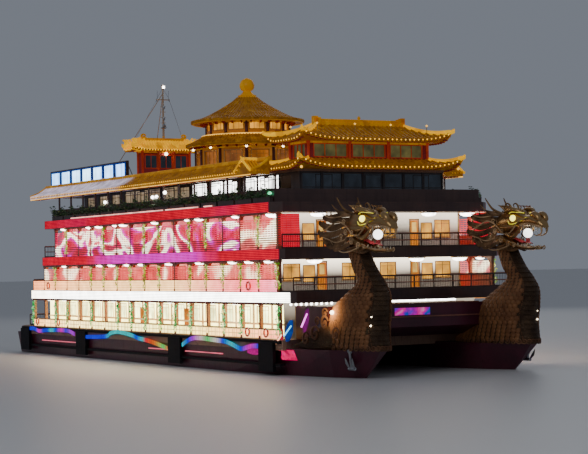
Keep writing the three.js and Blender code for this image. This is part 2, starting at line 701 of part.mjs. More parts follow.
function buildSideRoofs() {
  for (const [label, side] of SIDES) {
    const profile = [
      [HALF, EAVE.z], [HALF, EAVE.z + 0.2], [9.3, EAVE.z + 0.55], [EAVE.inner, EAVE.z + EAVE.rise],
      [EAVE.inner, EAVE.z],
    ].map(([y, z]) => [side * y, z]);
    const [x0, x1] = GABLE.x;
    const gable = sidePanel([
      [x0, EAVE.z], [x1, EAVE.z], [x1, EAVE.z + 0.2], [(x0 + x1) / 2, GABLE.peak], [x0, EAVE.z + 0.2],
    ], [side * HALF, side * GABLE.inner].sort((a, b) => a - b));
    const whole = join(crossPanel(profile, EAVE.x), gable);
    add(`side_roof_${label}`, whole, 'tile');
  }
}

function buildSign() {
  const { x: [x0, x1], y, z, legs } = SIGN;
  const frame = [];
  const floor = ROOF.z[1] + GAP;
  for (let i = 0; i < legs; i += 1) {
    const x = x0 + 0.6 + (i / (legs - 1)) * (x1 - x0 - 1.2);
    frame.push(box([x - 0.06, x + 0.06], [-7.9, -7.78], [floor, z[1] - 0.15]));
    frame.push(box([x - 0.06, x + 0.06], [-7.85, -6.8], [floor, ROOF.z[1] + 0.12]));
  }
  add('signboard', join(box([x0, x1], y, z), frame), 'dark');
}

function ringWalls(x, y, z, thickness, openings) {
  const outer = box(x, y, z);
  const inner = box(
    [x[0] + thickness, x[1] - thickness], [y[0] + thickness, y[1] - thickness], [z[0] - 1, z[1] + 1],
  );
  return cut(outer, inner, openings);
}

function buildFrontPavilion() {
  const { x, half, z, sill } = PAVILION;
  const [a, b] = half;
  const openings = [-3.6, 0, 3.6].map((y) => box([x - 5, x + 5], [y - 1.55, y + 1.55], sill));
  openings.push(box([x - 0.95, x + 0.95], [-BEYOND, BEYOND], sill));
  const walls = ringWalls([x - a, x + a], [-b, b], [z[0] + GAP, z[1] - GAP], 0.16, openings);
  add('pavilion_walls', walls, 'crimson');

  const lower = {
    cx: x, cy: 0, outer: [3.55, 7.73], inner: [a + 2 * GAP, b + 2 * GAP],
    eave: ROOF.z[1] + GAP, tip: 0.72, rise: 0.72, thickness: 0.16,
  };
  const opening = box([x - a - 2 * GAP, x + a + 2 * GAP], [-b - 2 * GAP, b + 2 * GAP], [15, 18]);
  const lowerRoof = cut(join(sweptRoof({ ...lower, open: true }), hipRidges(lower)), opening);
  add('pavilion_lower_roof', cut(lowerRoof, below(ROOF.z[1] + GAP)), 'tile');

  const upper = {
    cx: x, cy: 0, outer: [2.98, 7.04], inner: [0.2, 4.2],
    eave: z[1], tip: 0.62, rise: 1.25, thickness: 0.14,
  };
  const ridge = ridgeBeam(x, 4.31, [19.4, 20.05], 0.35);
  const upperRoof = cut(join(sweptRoof({ ...upper, open: false }), hipRidges(upper), ridge),
    below(z[1]));
  add('pavilion_upper_roof', upperRoof, 'tile');
}

// The round pagoda amidships.

function roundWalls(outer, inner, z, openings, sill, width) {
  const profile = [[inner, z[0]], [outer, z[0]], [outer, z[1]], [inner, z[1]], [inner, z[0]]];
  const shell = lathe(profile, PAGODA_X, 0, 12);
  const tools = [];
  for (let i = 0; i < openings / 2; i += 1) {
    const tool = new THREE.BoxGeometry(4 * outer, width, sill[1] - sill[0]);
    tool.rotateZ(((i + 0.5) / openings) * 2 * Math.PI);
    tool.translate(PAGODA_X, 0, (sill[0] + sill[1]) / 2);
    tools.push(solid(tool));
  }
  return cut(shell, tools);
}

function buildPagoda() {
  const [foot, skirt, ring, cone, top] = PAGODA.z;
  const lower = roundWalls(
    PAGODA.lower, PAGODA.lower - 0.2, [foot + GAP, skirt - GAP], 12, [16.9, 18.7], 1.7,
  );
  add('pagoda_lower', lower, 'timber');
  add('pagoda_skirt_roof', lathe([
    [3.5, skirt], [PAGODA.skirt, skirt], [PAGODA.skirt + 0.02, skirt + 0.18], [5.0, skirt + 0.45],
    [4.5, skirt + 0.7], [4.15, ring], [3.5, ring], [3.5, skirt],
  ], PAGODA_X, 0, 24), 'tile');
  const upper = roundWalls(
    PAGODA.upper, PAGODA.upper - 0.2, [ring + GAP, cone - GAP], 12, [20.6, 21.25], 1.5,
  );
  add('pagoda_upper', upper, 'crimson');
  add('pagoda_cone', lathe([
    [0, cone], [PAGODA.cone, cone], [PAGODA.cone + 0.02, cone + 0.16], [4.3, cone + 0.38],
    [3.5, cone + 0.72], [2.4, cone + 1.32], [1.4, cone + 1.94], [0.95, top - 0.22], [0.72, top],
    [0.36, top + 0.38], [0.55, top + 0.52], [0.68, top + 0.9], [0.5, top + 1.36], [0.2, top + 1.55],
    [0, top + 1.62],
  ], PAGODA_X, 0, 24), 'tile');
}

function buildAftPavilion() {
  const { x, half, z, roofHalf, sill } = AFT;
  const [a, b] = half;
  const openings = [-1.65, 0, 1.65].map((y) => box([x - 2, x + 2], [y - 0.65, y + 0.65], sill));
  openings.push(box([x - 2, x], [-0.5, 0.5], [16.1, 17.95]));
  const walls = ringWalls([x - a, x + a], [-b, b], [z[0] + GAP, z[1] - GAP], 0.14, openings);
  add('aft_pavilion_walls', walls, 'crimson');

  const roof = {
    cx: x, cy: 0, outer: roofHalf, inner: [0.15, 2.2], eave: z[1], tip: 0.35, rise: 0.95, thickness: 0.14,
  };
  const ridge = ridgeBeam(x, 2.3, [20.8, AFT_RIDGE], 0.4);
  const whole = cut(join(sweptRoof({ ...roof, open: false }), hipRidges(roof), ridge), below(z[1]));
  add('aft_pavilion_roof', whole, 'tile');
}

function buildMast() {
  const x = AFT.x;
  const foot = AFT_RIDGE + GAP;
  const parts = [
    bar([x, 0, foot], [x, 0, MAST_TOP - 0.3], 0.13, 0.08, 6),
    bar([x, 0, MAST_TOP - 0.4], [x, 0, MAST_TOP], 0.16, 0.16, 8),
    bar([x, -0.75, 25.2], [x, 0.75, 25.2], 0.05, 0.05, 4),
  ];
  for (let i = 0; i < 5; i += 1) {
    parts.push(box([x - 0.03, x + 0.03], [-0.28, 0.28], [22.3 + i * 0.55, 22.35 + i * 0.55]));
  }
  for (const [, side] of SIDES) {
    const plate = [-28.4, side * 3.0, ROOF.z[1] + 0.06];
    parts.push(bar([x, 0, MAST_TOP - 0.8], plate, 0.035, 0.035, 4));
    parts.push(block(plate[0], plate[1], plate[2] + GAP, 0.3, 0.3, 0.12));
  }
  add('mast', cut(join(parts), below(ROOF.z[1] + GAP)), 'steel');
}

buildHulls();
buildBollards();
buildFenders();
buildStern();
buildForeDeck();
buildDragons();
buildDecks();
buildHouses();
buildDoors();
buildColonnades();
buildRailings();
buildGallery();
buildSideRoofs();
buildSign();
buildFrontPavilion();
buildPagoda();
buildAftPavilion();
buildMast();

export default boat;
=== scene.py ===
"""Dresses the 1:2 model of a twin-hulled dragon boat: paint, lamps, tiles, windows, rails and dragons.

Sizes are those of the full-size boat in metres, as on a yard's drawings, and SCALE brings each mesh to the
model's size. X runs forward, Y to port and Z up from the waterline.
"""

from __future__ import annotations

import json
import logging
import math
import random
from abc import ABC, abstractmethod
from collections.abc import Callable, Iterable, Sequence
from dataclasses import dataclass, field, replace
from enum import Enum

import bmesh
import bpy
from mathutils import Matrix, Vector

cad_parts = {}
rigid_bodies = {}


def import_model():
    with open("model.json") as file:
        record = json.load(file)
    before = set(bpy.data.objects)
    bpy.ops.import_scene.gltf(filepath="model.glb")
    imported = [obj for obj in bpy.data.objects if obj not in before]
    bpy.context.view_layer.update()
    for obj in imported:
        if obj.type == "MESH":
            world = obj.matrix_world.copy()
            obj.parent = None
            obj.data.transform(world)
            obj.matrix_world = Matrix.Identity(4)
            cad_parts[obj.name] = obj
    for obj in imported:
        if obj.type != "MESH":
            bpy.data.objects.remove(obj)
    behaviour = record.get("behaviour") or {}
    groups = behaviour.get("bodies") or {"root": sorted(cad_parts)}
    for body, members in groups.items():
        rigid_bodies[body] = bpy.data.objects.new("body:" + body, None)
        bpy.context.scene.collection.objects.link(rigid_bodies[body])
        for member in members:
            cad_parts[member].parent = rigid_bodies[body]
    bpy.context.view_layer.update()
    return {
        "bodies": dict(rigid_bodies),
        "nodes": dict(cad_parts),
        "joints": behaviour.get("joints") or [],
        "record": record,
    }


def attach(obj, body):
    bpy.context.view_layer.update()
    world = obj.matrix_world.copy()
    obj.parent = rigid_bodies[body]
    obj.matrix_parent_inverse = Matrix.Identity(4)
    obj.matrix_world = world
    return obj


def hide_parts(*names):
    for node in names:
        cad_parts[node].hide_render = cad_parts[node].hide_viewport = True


LOG = logging.getLogger("dragon_boat")
SCALE = 0.5

Point = tuple[float, float, float]
Span = tuple[float, float]
Colour = tuple[float, float, float]
Row = Sequence[float]
Line = Sequence[Row]
Node = bpy.types.Node
Feed = bpy.types.NodeSocket
Tree = bpy.types.NodeTree
Piece = bpy.types.Object

HALF_BEAM = 10.2
HULL_Y = 6.8
BAY = 2.99
FRONT_POST_X = 22.2
POST = 0.26
POST_Y = 10.0
RAIL_HEIGHT = 1.08
ROOF_DECK = 15.96
DOUBLES = 2e-5
LEAF_FACES = ((0, 1, 2), (0, 2, 3), (1, 4, 2), (2, 4, 3), (0, 3, 4, 1))
BEVEL_FROM = 40
SIDES = {"stbd": -1, "port": 1}


def post_x(index: float) -> float:
    """Returns the X of a side post, counted aft from the front one."""
    return FRONT_POST_X - index * BAY


@dataclass(frozen=True)
class Level:
    """One passenger level: the deck that it stands on and the deckhouse on it.

    Args:
        floor: height of the floor.
        ceiling: height of the ceiling.
        house: how far the house reaches aft and forward.
        half: half the width of the house.
        sill: lower and upper edge of the side windows.
        posts: number of side posts.
    """

    floor: float
    ceiling: float
    house: Span
    half: float
    sill: Span
    posts: int


MAIN = Level(2.74, 5.53, (-27.0, 21.0), 9.0, (3.9, 5.2), 18)
FIRST = Level(6.37, 8.84, (-26.0, 19.2), 8.8, (7.2, 8.5), 18)
SECOND = Level(9.67, 12.48, (-24.0, 19.2), 8.8, (10.5, 11.9), 16)
THIRD = Level(13.28, 15.75, (-23.0, 20.06), 6.8, (14.3, 15.5), 16)


class Net:
    """Nodes of one material, with short calls for the few kinds that the finishes use."""

    def __init__(self, name: str) -> None:
        """Starts an empty material with one shader.

        Args:
            name: the material's name.
        """
        self.material = bpy.data.materials.new(name)
        self.material.use_nodes = True
        self.tree = self.material.node_tree
        self.shader = self.tree.nodes["Principled BSDF"]
        self.coordinates = self.tree.nodes.new("ShaderNodeTexCoord").outputs["Object"]

    def node(self, kind: str, inputs: dict[str | int, object] | None = None, **settings: object) -> Node:
        """Adds a node.

        Args:
            kind: the node's type.
            inputs: values or sockets for its inputs, by name or place.
            settings: the node's own properties.

        Returns:
            The new node.
        """
        made = self.tree.nodes.new(kind)
        for key, value in settings.items():
            setattr(made, key, value)
        for key, value in (inputs or {}).items():
            self.set(made.inputs[key], value)
        return made

    def set(self, socket: Feed, value: object) -> None:
        """Links a socket to another, or gives it a value.

        Args:
            socket: the input.
            value: an output to link, or a plain value.
        """
        if isinstance(value, Feed):
            self.tree.links.new(value, socket)
        else:
            socket.default_value = value

    def stretched(self, scale: Point) -> Feed:
        """Returns the object coordinates, scaled on each axis."""
        mapping = self.node("ShaderNodeMapping", {"Vector": self.coordinates, "Scale": scale})
        return mapping.outputs["Vector"]

    def noise(self, scale: float, detail: float = 4.0, vector: Feed | None = None) -> Feed:
        """Returns the factor of a noise texture.

        Args:
            scale: how fine the noise is.
            detail: number of its octaves.
            vector: where it is read, or None for the object coordinates.

        Returns:
            The factor.
        """
        source = self.coordinates if vector is None else vector
        made = self.node("ShaderNodeTexNoise", {"Vector": source, "Scale": scale, "Detail": detail})
        return made.outputs["Fac"]

    def math(self, operation: str, a: object, b: object = 0.0, clamp: bool = False) -> Feed:
        """Returns a sum, product or other result of two values."""
        made = self.node("ShaderNodeMath", {0: a, 1: b}, operation=operation, use_clamp=clamp)
        return made.outputs[0]

    def rescale(self, value: object, low: float, high: float, to_low: float = 0.0, to_high: float = 1.0) -> Feed:
        """Returns a value brought from one range to another and kept inside it.

        Args:
            value: the value.
            low: start of its own range.
            high: end of its own range.
            to_low: start of the new range.
            to_high: end of the new range.

        Returns:
            The value in the new range.
        """
        made = self.node("ShaderNodeMapRange", {0: value, 1: low, 2: high, 3: to_low, 4: to_high})
        return made.outputs[0]

    def ramp(self, factor: Feed, stops: Sequence[tuple[float, Colour]]) -> Feed:
        """Returns the colour of a ramp.

        Args:
            factor: where on the ramp to read.
            stops: place and colour of each stop, in rising order.

        Returns:
            The colour.
        """
        made = self.node("ShaderNodeValToRGB", {"Fac": factor})
        ramp = made.color_ramp
        for index, (place, colour) in enumerate(stops):
            stop = ramp.elements[index] if index < 2 else ramp.elements.new(place)
            stop.position = place
            stop.color = (*colour, 1.0)
        return made.outputs["Color"]

    def mix(self, factor: object, a: object, b: object) -> Feed:
        """Returns the mix of two colours.

        Args:
            factor: share of the second colour.
            a: the first colour.
            b: the second colour.

        Returns:
            The mixed colour.
        """
        made = self.node("ShaderNodeMix", data_type="RGBA")
        self.set(made.inputs[0], factor)
        for socket, colour in ((made.inputs[6], a), (made.inputs[7], b)):
            self.set(socket, colour if isinstance(colour, Feed) else (*colour, 1.0))
        return made.outputs[2]

    def axes(self) -> tuple[Feed, Feed, Feed]:
        """Returns the object coordinates as X, Y and Z."""
        split = self.node("ShaderNodeSeparateXYZ", {"Vector": self.coordinates})
        return split.outputs[0], split.outputs[1], split.outputs[2]

    def seams(self, pitch: Span, width: float) -> Feed:
        """Returns the factor of plate or board seams on upright faces, 1 on a plate and 0 in a seam.

        Args:
            pitch: length and height of a plate, in the model's metres.
            width: width of a seam.

        Returns:
            The factor.
        """
        x, y, z = self.axes()
        flat = self.node("ShaderNodeCombineXYZ", {0: self.math("ADD", x, y), 1: z})
        brick = self.node(
            "ShaderNodeTexBrick",
            {"Vector": flat.outputs[0], "Scale": 1.0, "Mortar Size": width, "Mortar Smooth": 0.3,
             "Brick Width": pitch[0], "Row Height": pitch[1]},
        )
        return self.math("SUBTRACT", 1.0, brick.outputs["Fac"])

    def bump(self, height: Feed, strength: float, distance: float, before: Feed | None = None) -> Feed:
        """Feeds a height to the shader's normal and returns that normal.

        Args:
            height: the height.
            strength: how strongly it shows.
            distance: depth of the relief.
            before: a normal that it is laid over, or None.

        Returns:
            The normal.
        """
        made = self.node("ShaderNodeBump", {"Height": height, "Strength": strength, "Distance": distance})
        if before is not None:
            self.set(made.inputs["Normal"], before)
        self.set(self.shader.inputs["Normal"], made.outputs["Normal"])
        return made.outputs["Normal"]

    def shade(self, **values: object) -> None:
        """Sets the shader's inputs, named with underscores for blanks.

        Args:
            values: a number, colour or output for each input.
        """
        for key, value in values.items():
            name = {"colour": "Base Color", "glow": "Emission Color", "strength": "Emission Strength"}.get(
                key, key.replace("_", " ").title()
            )
            name = name.replace("Ior", "IOR")
            if isinstance(value, tuple):
                value = (*value, 1.0)
            self.set(self.shader.inputs[name], value)


def darker(colour: Colour, share: float) -> Colour:
    """Returns a colour brought down to a share of itself."""
    return tuple(value * share for value in colour)


@dataclass(frozen=True)
class Finish(ABC):
    """A surface finish.

    Args:
        name: the material's name.
        slot: the record's material slot that it belongs to; not used.
    """

    name: str
    slot: str

    def material(self) -> bpy.types.Material:
        """Returns the finish's material, made on first use.

        Returns:
            The material.
        """
        known = bpy.data.materials.get(self.name)
        if known is not None:
            return known
        net = Net(self.name)
        self.wire(net)
        return net.material

    @abstractmethod
    def wire(self, net: Net) -> None:
        """Builds the finish's nodes.

        Args:
            net: the material's nodes.
        """


@dataclass(frozen=True)
class Paint(Finish):
    """Sprayed or brushed paint with uneven colour, rain streaks and plate seams.

    Args:
        colour: main colour.
        second: colour that the main one drifts to.
        roughness: lowest roughness.
        coat: strength of a clear coat.
        metallic: share of metal.
        plates: length and height of the plates, or None without seams.
        streak: strength of the rain streaks.
        fouling: whether the paint changes below the waterline.
    """

    colour: Colour = (0.8, 0.8, 0.8)
    second: Colour = (0.6, 0.6, 0.6)
    roughness: float = 0.35
    coat: float = 0.0
    metallic: float = 0.0
    plates: Span | None = (1.5, 0.6)
    streak: float = 0.35
    fouling: bool = False

    def wire(self, net: Net) -> None:
        """Mixes drift, streaks and wear, and bumps the seams.

        Args:
            net: the material's nodes.
        """
        drift = net.rescale(net.noise(0.9, 5.0), 0.35, 0.7)
        colour = net.mix(drift, self.colour, self.second)
        drip = net.noise(3.0, 3.0, net.stretched((3.0, 3.0, 0.22)))
        dirt = net.math("MULTIPLY", net.rescale(drip, 0.52, 0.78), self.streak)
        grime = darker(self.second, 0.45)
        colour = net.mix(dirt, colour, grime)
        if self.fouling:
            depth = net.rescale(net.axes()[2], -0.05, 0.01)
            colour = net.mix(depth, (0.16, 0.045, 0.02), colour)
        grain = net.noise(38.0, 3.0)
        rough = net.rescale(net.math("ADD", grain, dirt), 0.3, 1.2, self.roughness, self.roughness + 0.3)
        before = net.bump(grain, 0.12, 0.002)
        if self.plates is not None:
            seams = net.seams(self.plates, 0.006)
            colour = net.mix(net.rescale(seams, 0.0, 1.0, 0.55, 0.0), colour, grime)
            net.bump(seams, 0.5, 0.004, before)
        net.shade(colour=colour, roughness=rough, metallic=self.metallic, coat_weight=self.coat, coat_roughness=0.12)


@dataclass(frozen=True)
class Timber(Finish):
    """Varnished or worn timber with grain along one axis.

    Args:
        colour: light grain.
        second: dark grain.
        stretch: scale of the grain on each axis, smallest along the timber.
        roughness: lowest roughness.
        coat: strength of the varnish.
    """

    colour: Colour = (0.4, 0.17, 0.07)
    second: Colour = (0.17, 0.06, 0.025)
    stretch: Point = (1.0, 9.0, 9.0)
    roughness: float = 0.35
    coat: float = 0.3

    def wire(self, net: Net) -> None:
        """Draws streaky grain with darker pores and worn patches.

        Args:
            net: the material's nodes.
        """
        grain = net.noise(4.0, 8.0, net.stretched(self.stretch))
        pores = net.noise(14.0, 2.0, net.stretched(self.stretch))
        wear = net.rescale(net.noise(1.3, 4.0), 0.45, 0.75)
        colour = net.ramp(net.rescale(grain, 0.25, 0.75), ((0.0, self.second), (0.45, self.colour), (1.0, self.colour)))
        colour = net.mix(net.rescale(pores, 0.6, 0.8, 0.0, 0.5), colour, self.second)
        pale = tuple(min(1.0, value * 1.5 + 0.03) for value in self.colour)
        colour = net.mix(net.math("MULTIPLY", wear, 0.4), colour, pale)
        net.bump(pores, 0.25, 0.003)
        rough = net.rescale(wear, 0.0, 1.0, self.roughness, self.roughness + 0.3)
        net.shade(colour=colour, roughness=rough, coat_weight=self.coat, coat_roughness=0.2)


@dataclass(frozen=True)
class Glaze(Finish):
    """Glazed roof tile that the eave lamps keep alight: colour changes from tile to tile and darkens with soot.

    Args:
        colour: main colour.
        second: dark tiles.
        pale: pale tiles.
        glow: brightness.
        cell: number of tiles in a model metre.
        wash: whether the after part lies in the sign's cool light.
    """

    colour: Colour = (0.44, 0.18, 0.006)
    second: Colour = (0.31, 0.115, 0.003)
    pale: Colour = (0.62, 0.3, 0.015)
    glow: float = 0.12
    cell: float = 5.5
    wash: bool = False

    def wire(self, net: Net) -> None:
        """Gives each tile its own shade and the whole roof a glassy coat.

        Args:
            net: the material's nodes.
        """
        cells = net.node("ShaderNodeTexVoronoi", {"Vector": net.coordinates, "Scale": self.cell})
        tone = net.node("ShaderNodeSeparateColor", {"Color": cells.outputs["Color"]}).outputs[0]
        colour = net.ramp(tone, ((0.0, self.second), (0.35, self.colour), (0.8, self.colour), (1.0, self.pale)))
        soot = net.rescale(net.noise(1.4, 5.0), 0.52, 0.8, 0.0, 0.5)
        colour = net.mix(soot, colour, (0.16, 0.055, 0.004))
        net.bump(net.noise(24.0, 3.0), 0.2, 0.003)
        rough = net.rescale(soot, 0.0, 0.5, 0.42, 0.65)
        glow: object = self.glow
        if self.wash:
            # Painted light of the sign: the after part's tiles are dulled, and to starboard they glow cool.
            x, y, _ = net.axes()
            aft = net.rescale(x, -7.9 * SCALE, -6.4 * SCALE, 1.0, 0.0)
            lit = net.math("MULTIPLY", aft, net.rescale(y, -0.5, 0.5, 1.0, 0.0))
            colour = net.mix(net.math("MULTIPLY", aft, 0.55), colour, (0.2, 0.14, 0.11))
            cool = net.mix(lit, colour, (0.56, 0.52, 0.7))
            power = net.rescale(net.noise(2.2, 3.0), 0.3, 0.7, 0.22, 0.95)
            glow = net.math("ADD", net.math("MULTIPLY", lit, power), self.glow)
            net.shade(glow=cool)
        else:
            net.shade(glow=colour)
        net.shade(colour=colour, roughness=rough, coat_weight=0.05, coat_roughness=0.2, specular_ior_level=0.25,
                  strength=glow)


@dataclass(frozen=True)
class Halo:
    """Light that a lamp throws round one place, the same to port and to starboard.

    Args:
        about: Y of the plane that the place is mirrored in on each side, or 0 for the boat's own.
        place: the brightest place, in model metres, with Y counted from that plane.
        reach: distances where the light is full and where it ends.
        fade: how steeply it falls off.
        tint: its colour.
    """

    about: float
    place: Point
    reach: Span
    fade: float
    tint: Colour

    def near(self, net: Net) -> Feed:
        """Returns the share of the light, 1 at its brightest.

        Args:
            net: the material's nodes.

        Returns:
            The share.
        """
        x, y, z = net.axes()
        off = net.math("ABSOLUTE", y)
        if self.about > 0.0:
            off = net.math("ABSOLUTE", net.math("SUBTRACT", off, self.about))
        there = net.node("ShaderNodeCombineXYZ", {0: x, 1: off, 2: z}).outputs[0]
        away = net.node("ShaderNodeVectorMath", {0: there, 1: self.place}, operation="DISTANCE").outputs["Value"]
        return net.math("POWER", net.rescale(away, *self.reach, 1.0, 0.0), self.fade)


FLANK_HALO = Halo(0.0, (13.95, 4.4, 2.43), (0.1, 1.3), 2.6, (1.0, 0.34, 0.08))
EYE_HALO = Halo(HULL_Y * SCALE, (15.4, 0.44, 5.93), (0.1, 0.52), 1.6, (0.7, 0.62, 0.0))


@dataclass(frozen=True)
class Bronze(Finish):
    """Gilded bronze of the dragons: rubbed bright on high places, brown patina in the hollows.

    Args:
        bright: rubbed colour.
        patina: colour of the hollows.
        scales: size of the hammered scales, or 0 without them.
        warmth: brightness all over, from the lamps around.
        metal: share of metal.
        flank: brightness of the lamp light on the flank.
        eyes: brightness of the light round the eyes.
    """

    bright: Colour = (0.52, 0.33, 0.13)
    patina: Colour = (0.13, 0.07, 0.03)
    scales: float = 0.0
    warmth: float = 0.03
    metal: float = 0.75
    flank: float = 0.0
    eyes: float = 0.0

    def wire(self, net: Net) -> None:
        """Mixes rubbed metal with patina, hammers its surface and lights the flank or the place of the eyes.

        Args:
            net: the material's nodes.
        """
        drift = net.noise(2.2, 8.0)
        fine = net.noise(30.0, 4.0)
        wear = net.rescale(net.math("ADD", drift, net.math("MULTIPLY", fine, 0.35)), 0.48, 0.86)
        colour = net.mix(wear, self.patina, self.bright)
        green = net.rescale(net.noise(5.0, 6.0), 0.62, 0.78, 0.0, 0.35)
        colour = net.mix(green, colour, (0.12, 0.13, 0.06))
        before = net.bump(fine, 0.25, 0.004)
        if self.scales > 0.0:
            cells = net.node(
                "ShaderNodeTexVoronoi",
                {"Vector": net.stretched((1.0, 1.0, 1.5)), "Scale": self.scales},
                feature="DISTANCE_TO_EDGE",
            )
            edge = net.rescale(cells.outputs["Distance"], 0.0, 0.16)
            colour = net.mix(net.rescale(edge, 0.0, 1.0, 0.65, 0.0), colour, self.patina)
            net.bump(edge, 0.7, 0.02, before)
        rough = net.rescale(wear, 0.0, 1.0, 0.7, 0.42)
        warmth: object = self.warmth
        glow = colour
        for halo, power in ((FLANK_HALO, self.flank), (EYE_HALO, self.eyes)):
            if power > 0.0:
                hot = halo.near(net)
                glow = net.mix(hot, colour, halo.tint)
                warmth = net.math("ADD", net.math("MULTIPLY", hot, power), self.warmth)
        net.shade(colour=colour, roughness=rough, metallic=self.metal, specular_ior_level=0.3,
                  glow=glow, strength=warmth)


@dataclass(frozen=True)
class Metal(Finish):
    """Bare or plated metal with fine brushing and stains."""

    colour: Colour = (0.5, 0.5, 0.52)
    roughness: float = 0.3

    def wire(self, net: Net) -> None:
        """Draws brushing lines and stains.

        Args:
            net: the material's nodes.
        """
        lines = net.noise(30.0, 3.0, net.stretched((1.0, 1.0, 12.0)))
        stain = net.rescale(net.noise(2.5, 6.0), 0.5, 0.8, 0.0, 0.6)
        colour = net.mix(stain, self.colour, darker(self.colour, 0.4))
        net.bump(lines, 0.12, 0.001)
        rough = net.rescale(stain, 0.0, 0.6, self.roughness, self.roughness + 0.35)
        net.shade(colour=colour, roughness=rough, metallic=1.0)


@dataclass(frozen=True)
class Rubber(Finish):
    """Scuffed rubber or rope."""

    colour: Colour = (0.02, 0.02, 0.022)
    scuff: Colour = (0.1, 0.095, 0.09)

    def wire(self, net: Net) -> None:
        """Draws scuffs and salt on dull rubber.

        Args:
            net: the material's nodes.
        """
        scuffs = net.rescale(net.noise(6.0, 8.0, net.stretched((1.0, 1.0, 0.4))), 0.55, 0.75)
        colour = net.mix(scuffs, self.colour, self.scuff)
        net.bump(net.noise(45.0, 4.0), 0.35, 0.004)
        net.shade(colour=colour, roughness=net.rescale(scuffs, 0.0, 1.0, 0.55, 0.85), specular_ior_level=0.15)


@dataclass(frozen=True)
class Leaf(Finish):
    """Leaves of the planters: uneven green."""

    def wire(self, net: Net) -> None:
        """Mixes two greens with dry tips.

        Args:
            net: the material's nodes.
        """
        tone = net.noise(9.0, 3.0)
        colour = net.ramp(tone, ((0.3, (0.012, 0.04, 0.012)), (0.55, (0.04, 0.11, 0.03)), (0.75, (0.16, 0.17, 0.04))))
        net.shade(colour=colour, roughness=0.55, sheen_weight=0.2)


@dataclass(frozen=True)
class Lamp(Finish):
    """A lit lamp or tube: one colour, a little uneven from bulb to bulb.

    Args:
        colour: colour of the light.
        strength: brightness.
        bulbs: number of bulbs in a model metre.
    """

    colour: Colour = (1.0, 1.0, 1.0)
    strength: float = 3.0
    bulbs: float = 6.0

    def wire(self, net: Net) -> None:
        """Makes the light flicker a little along its length.

        Args:
            net: the material's nodes.
        """
        tone = net.rescale(net.noise(self.bulbs, 2.0), 0.3, 0.7, 0.65, 1.1)
        colour = net.mix(tone, darker(self.colour, 0.55), self.colour)
        net.shade(
            colour=tuple(0.3 + value * 0.5 for value in self.colour), roughness=0.25,
            glow=colour, strength=net.math("MULTIPLY", tone, self.strength),
        )


@dataclass(frozen=True)
class Show(Finish):
    """Colour-changing lights along the boat: the colour follows X, broken into small lamps.

    Args:
        stops: X of the full-size boat and the colour there, in rising order.
        strength: brightness.
        drift: how far noise moves the colours along X, as a share of the whole length.
        cell: length of one lamp in model metres.
    """

    stops: tuple[tuple[float, Colour], ...] = ()
    strength: float = 2.0
    drift: float = 0.0
    cell: float = 0.12

    def wire(self, net: Net) -> None:
        """Reads the colour from X and darkens the joint between two lamps.

        Args:
            net: the material's nodes.
        """
        x = net.axes()[0]
        first, last = self.stops[0][0], self.stops[-1][0]
        place = net.rescale(x, first * SCALE, last * SCALE)
        if self.drift > 0.0:
            wander = net.rescale(net.noise(0.7, 3.0), 0.3, 0.7, -self.drift, self.drift)
            place = net.math("ADD", place, wander, clamp=True)
        stops = [((at - first) / (last - first), colour) for at, colour in self.stops]
        colour = net.ramp(place, stops)
        step = net.math("FRACT", net.math("DIVIDE", x, self.cell))
        joint = net.rescale(net.math("ABSOLUTE", net.math("SUBTRACT", step, 0.5)), 0.4, 0.5, 1.0, 0.55)
        power = net.math("MULTIPLY", joint, net.rescale(net.noise(2.4, 3.0), 0.3, 0.7, 0.75, 1.15))
        net.shade(
            colour=net.mix(0.97, colour, (0.01, 0.01, 0.01)), roughness=0.6, specular_ior_level=0.1,
            glow=colour, strength=net.math("MULTIPLY", power, self.strength),
        )


@dataclass(frozen=True)
class Curtain(Finish):
    """A curtain of lights that shows drifting patches of colour, with no picture in them.

    Args:
        palette: place in the noise and the colour there.
        strength: brightness.
        patch: number of patches in a model metre.
    """

    palette: tuple[tuple[float, Colour], ...] = ()
    strength: float = 2.0
    patch: float = 0.55

    def wire(self, net: Net) -> None:
        """Maps soft noise to the palette.

        Args:
            net: the material's nodes.
        """
        patches = net.node(
            "ShaderNodeTexNoise",
            {"Vector": net.stretched((0.55, 1.0, 0.9)), "Scale": self.patch, "Detail": 2.0, "Distortion": 1.2},
        )
        colour = net.ramp(net.rescale(patches.outputs["Fac"], 0.25, 0.75), self.palette)
        power = net.rescale(net.noise(7.0, 2.0), 0.3, 0.7, 0.7, 1.15)
        net.shade(
            colour=net.mix(0.97, colour, (0.01, 0.01, 0.01)), roughness=0.6, specular_ior_level=0.1,
            glow=colour, strength=net.math("MULTIPLY", power, self.strength),
        )


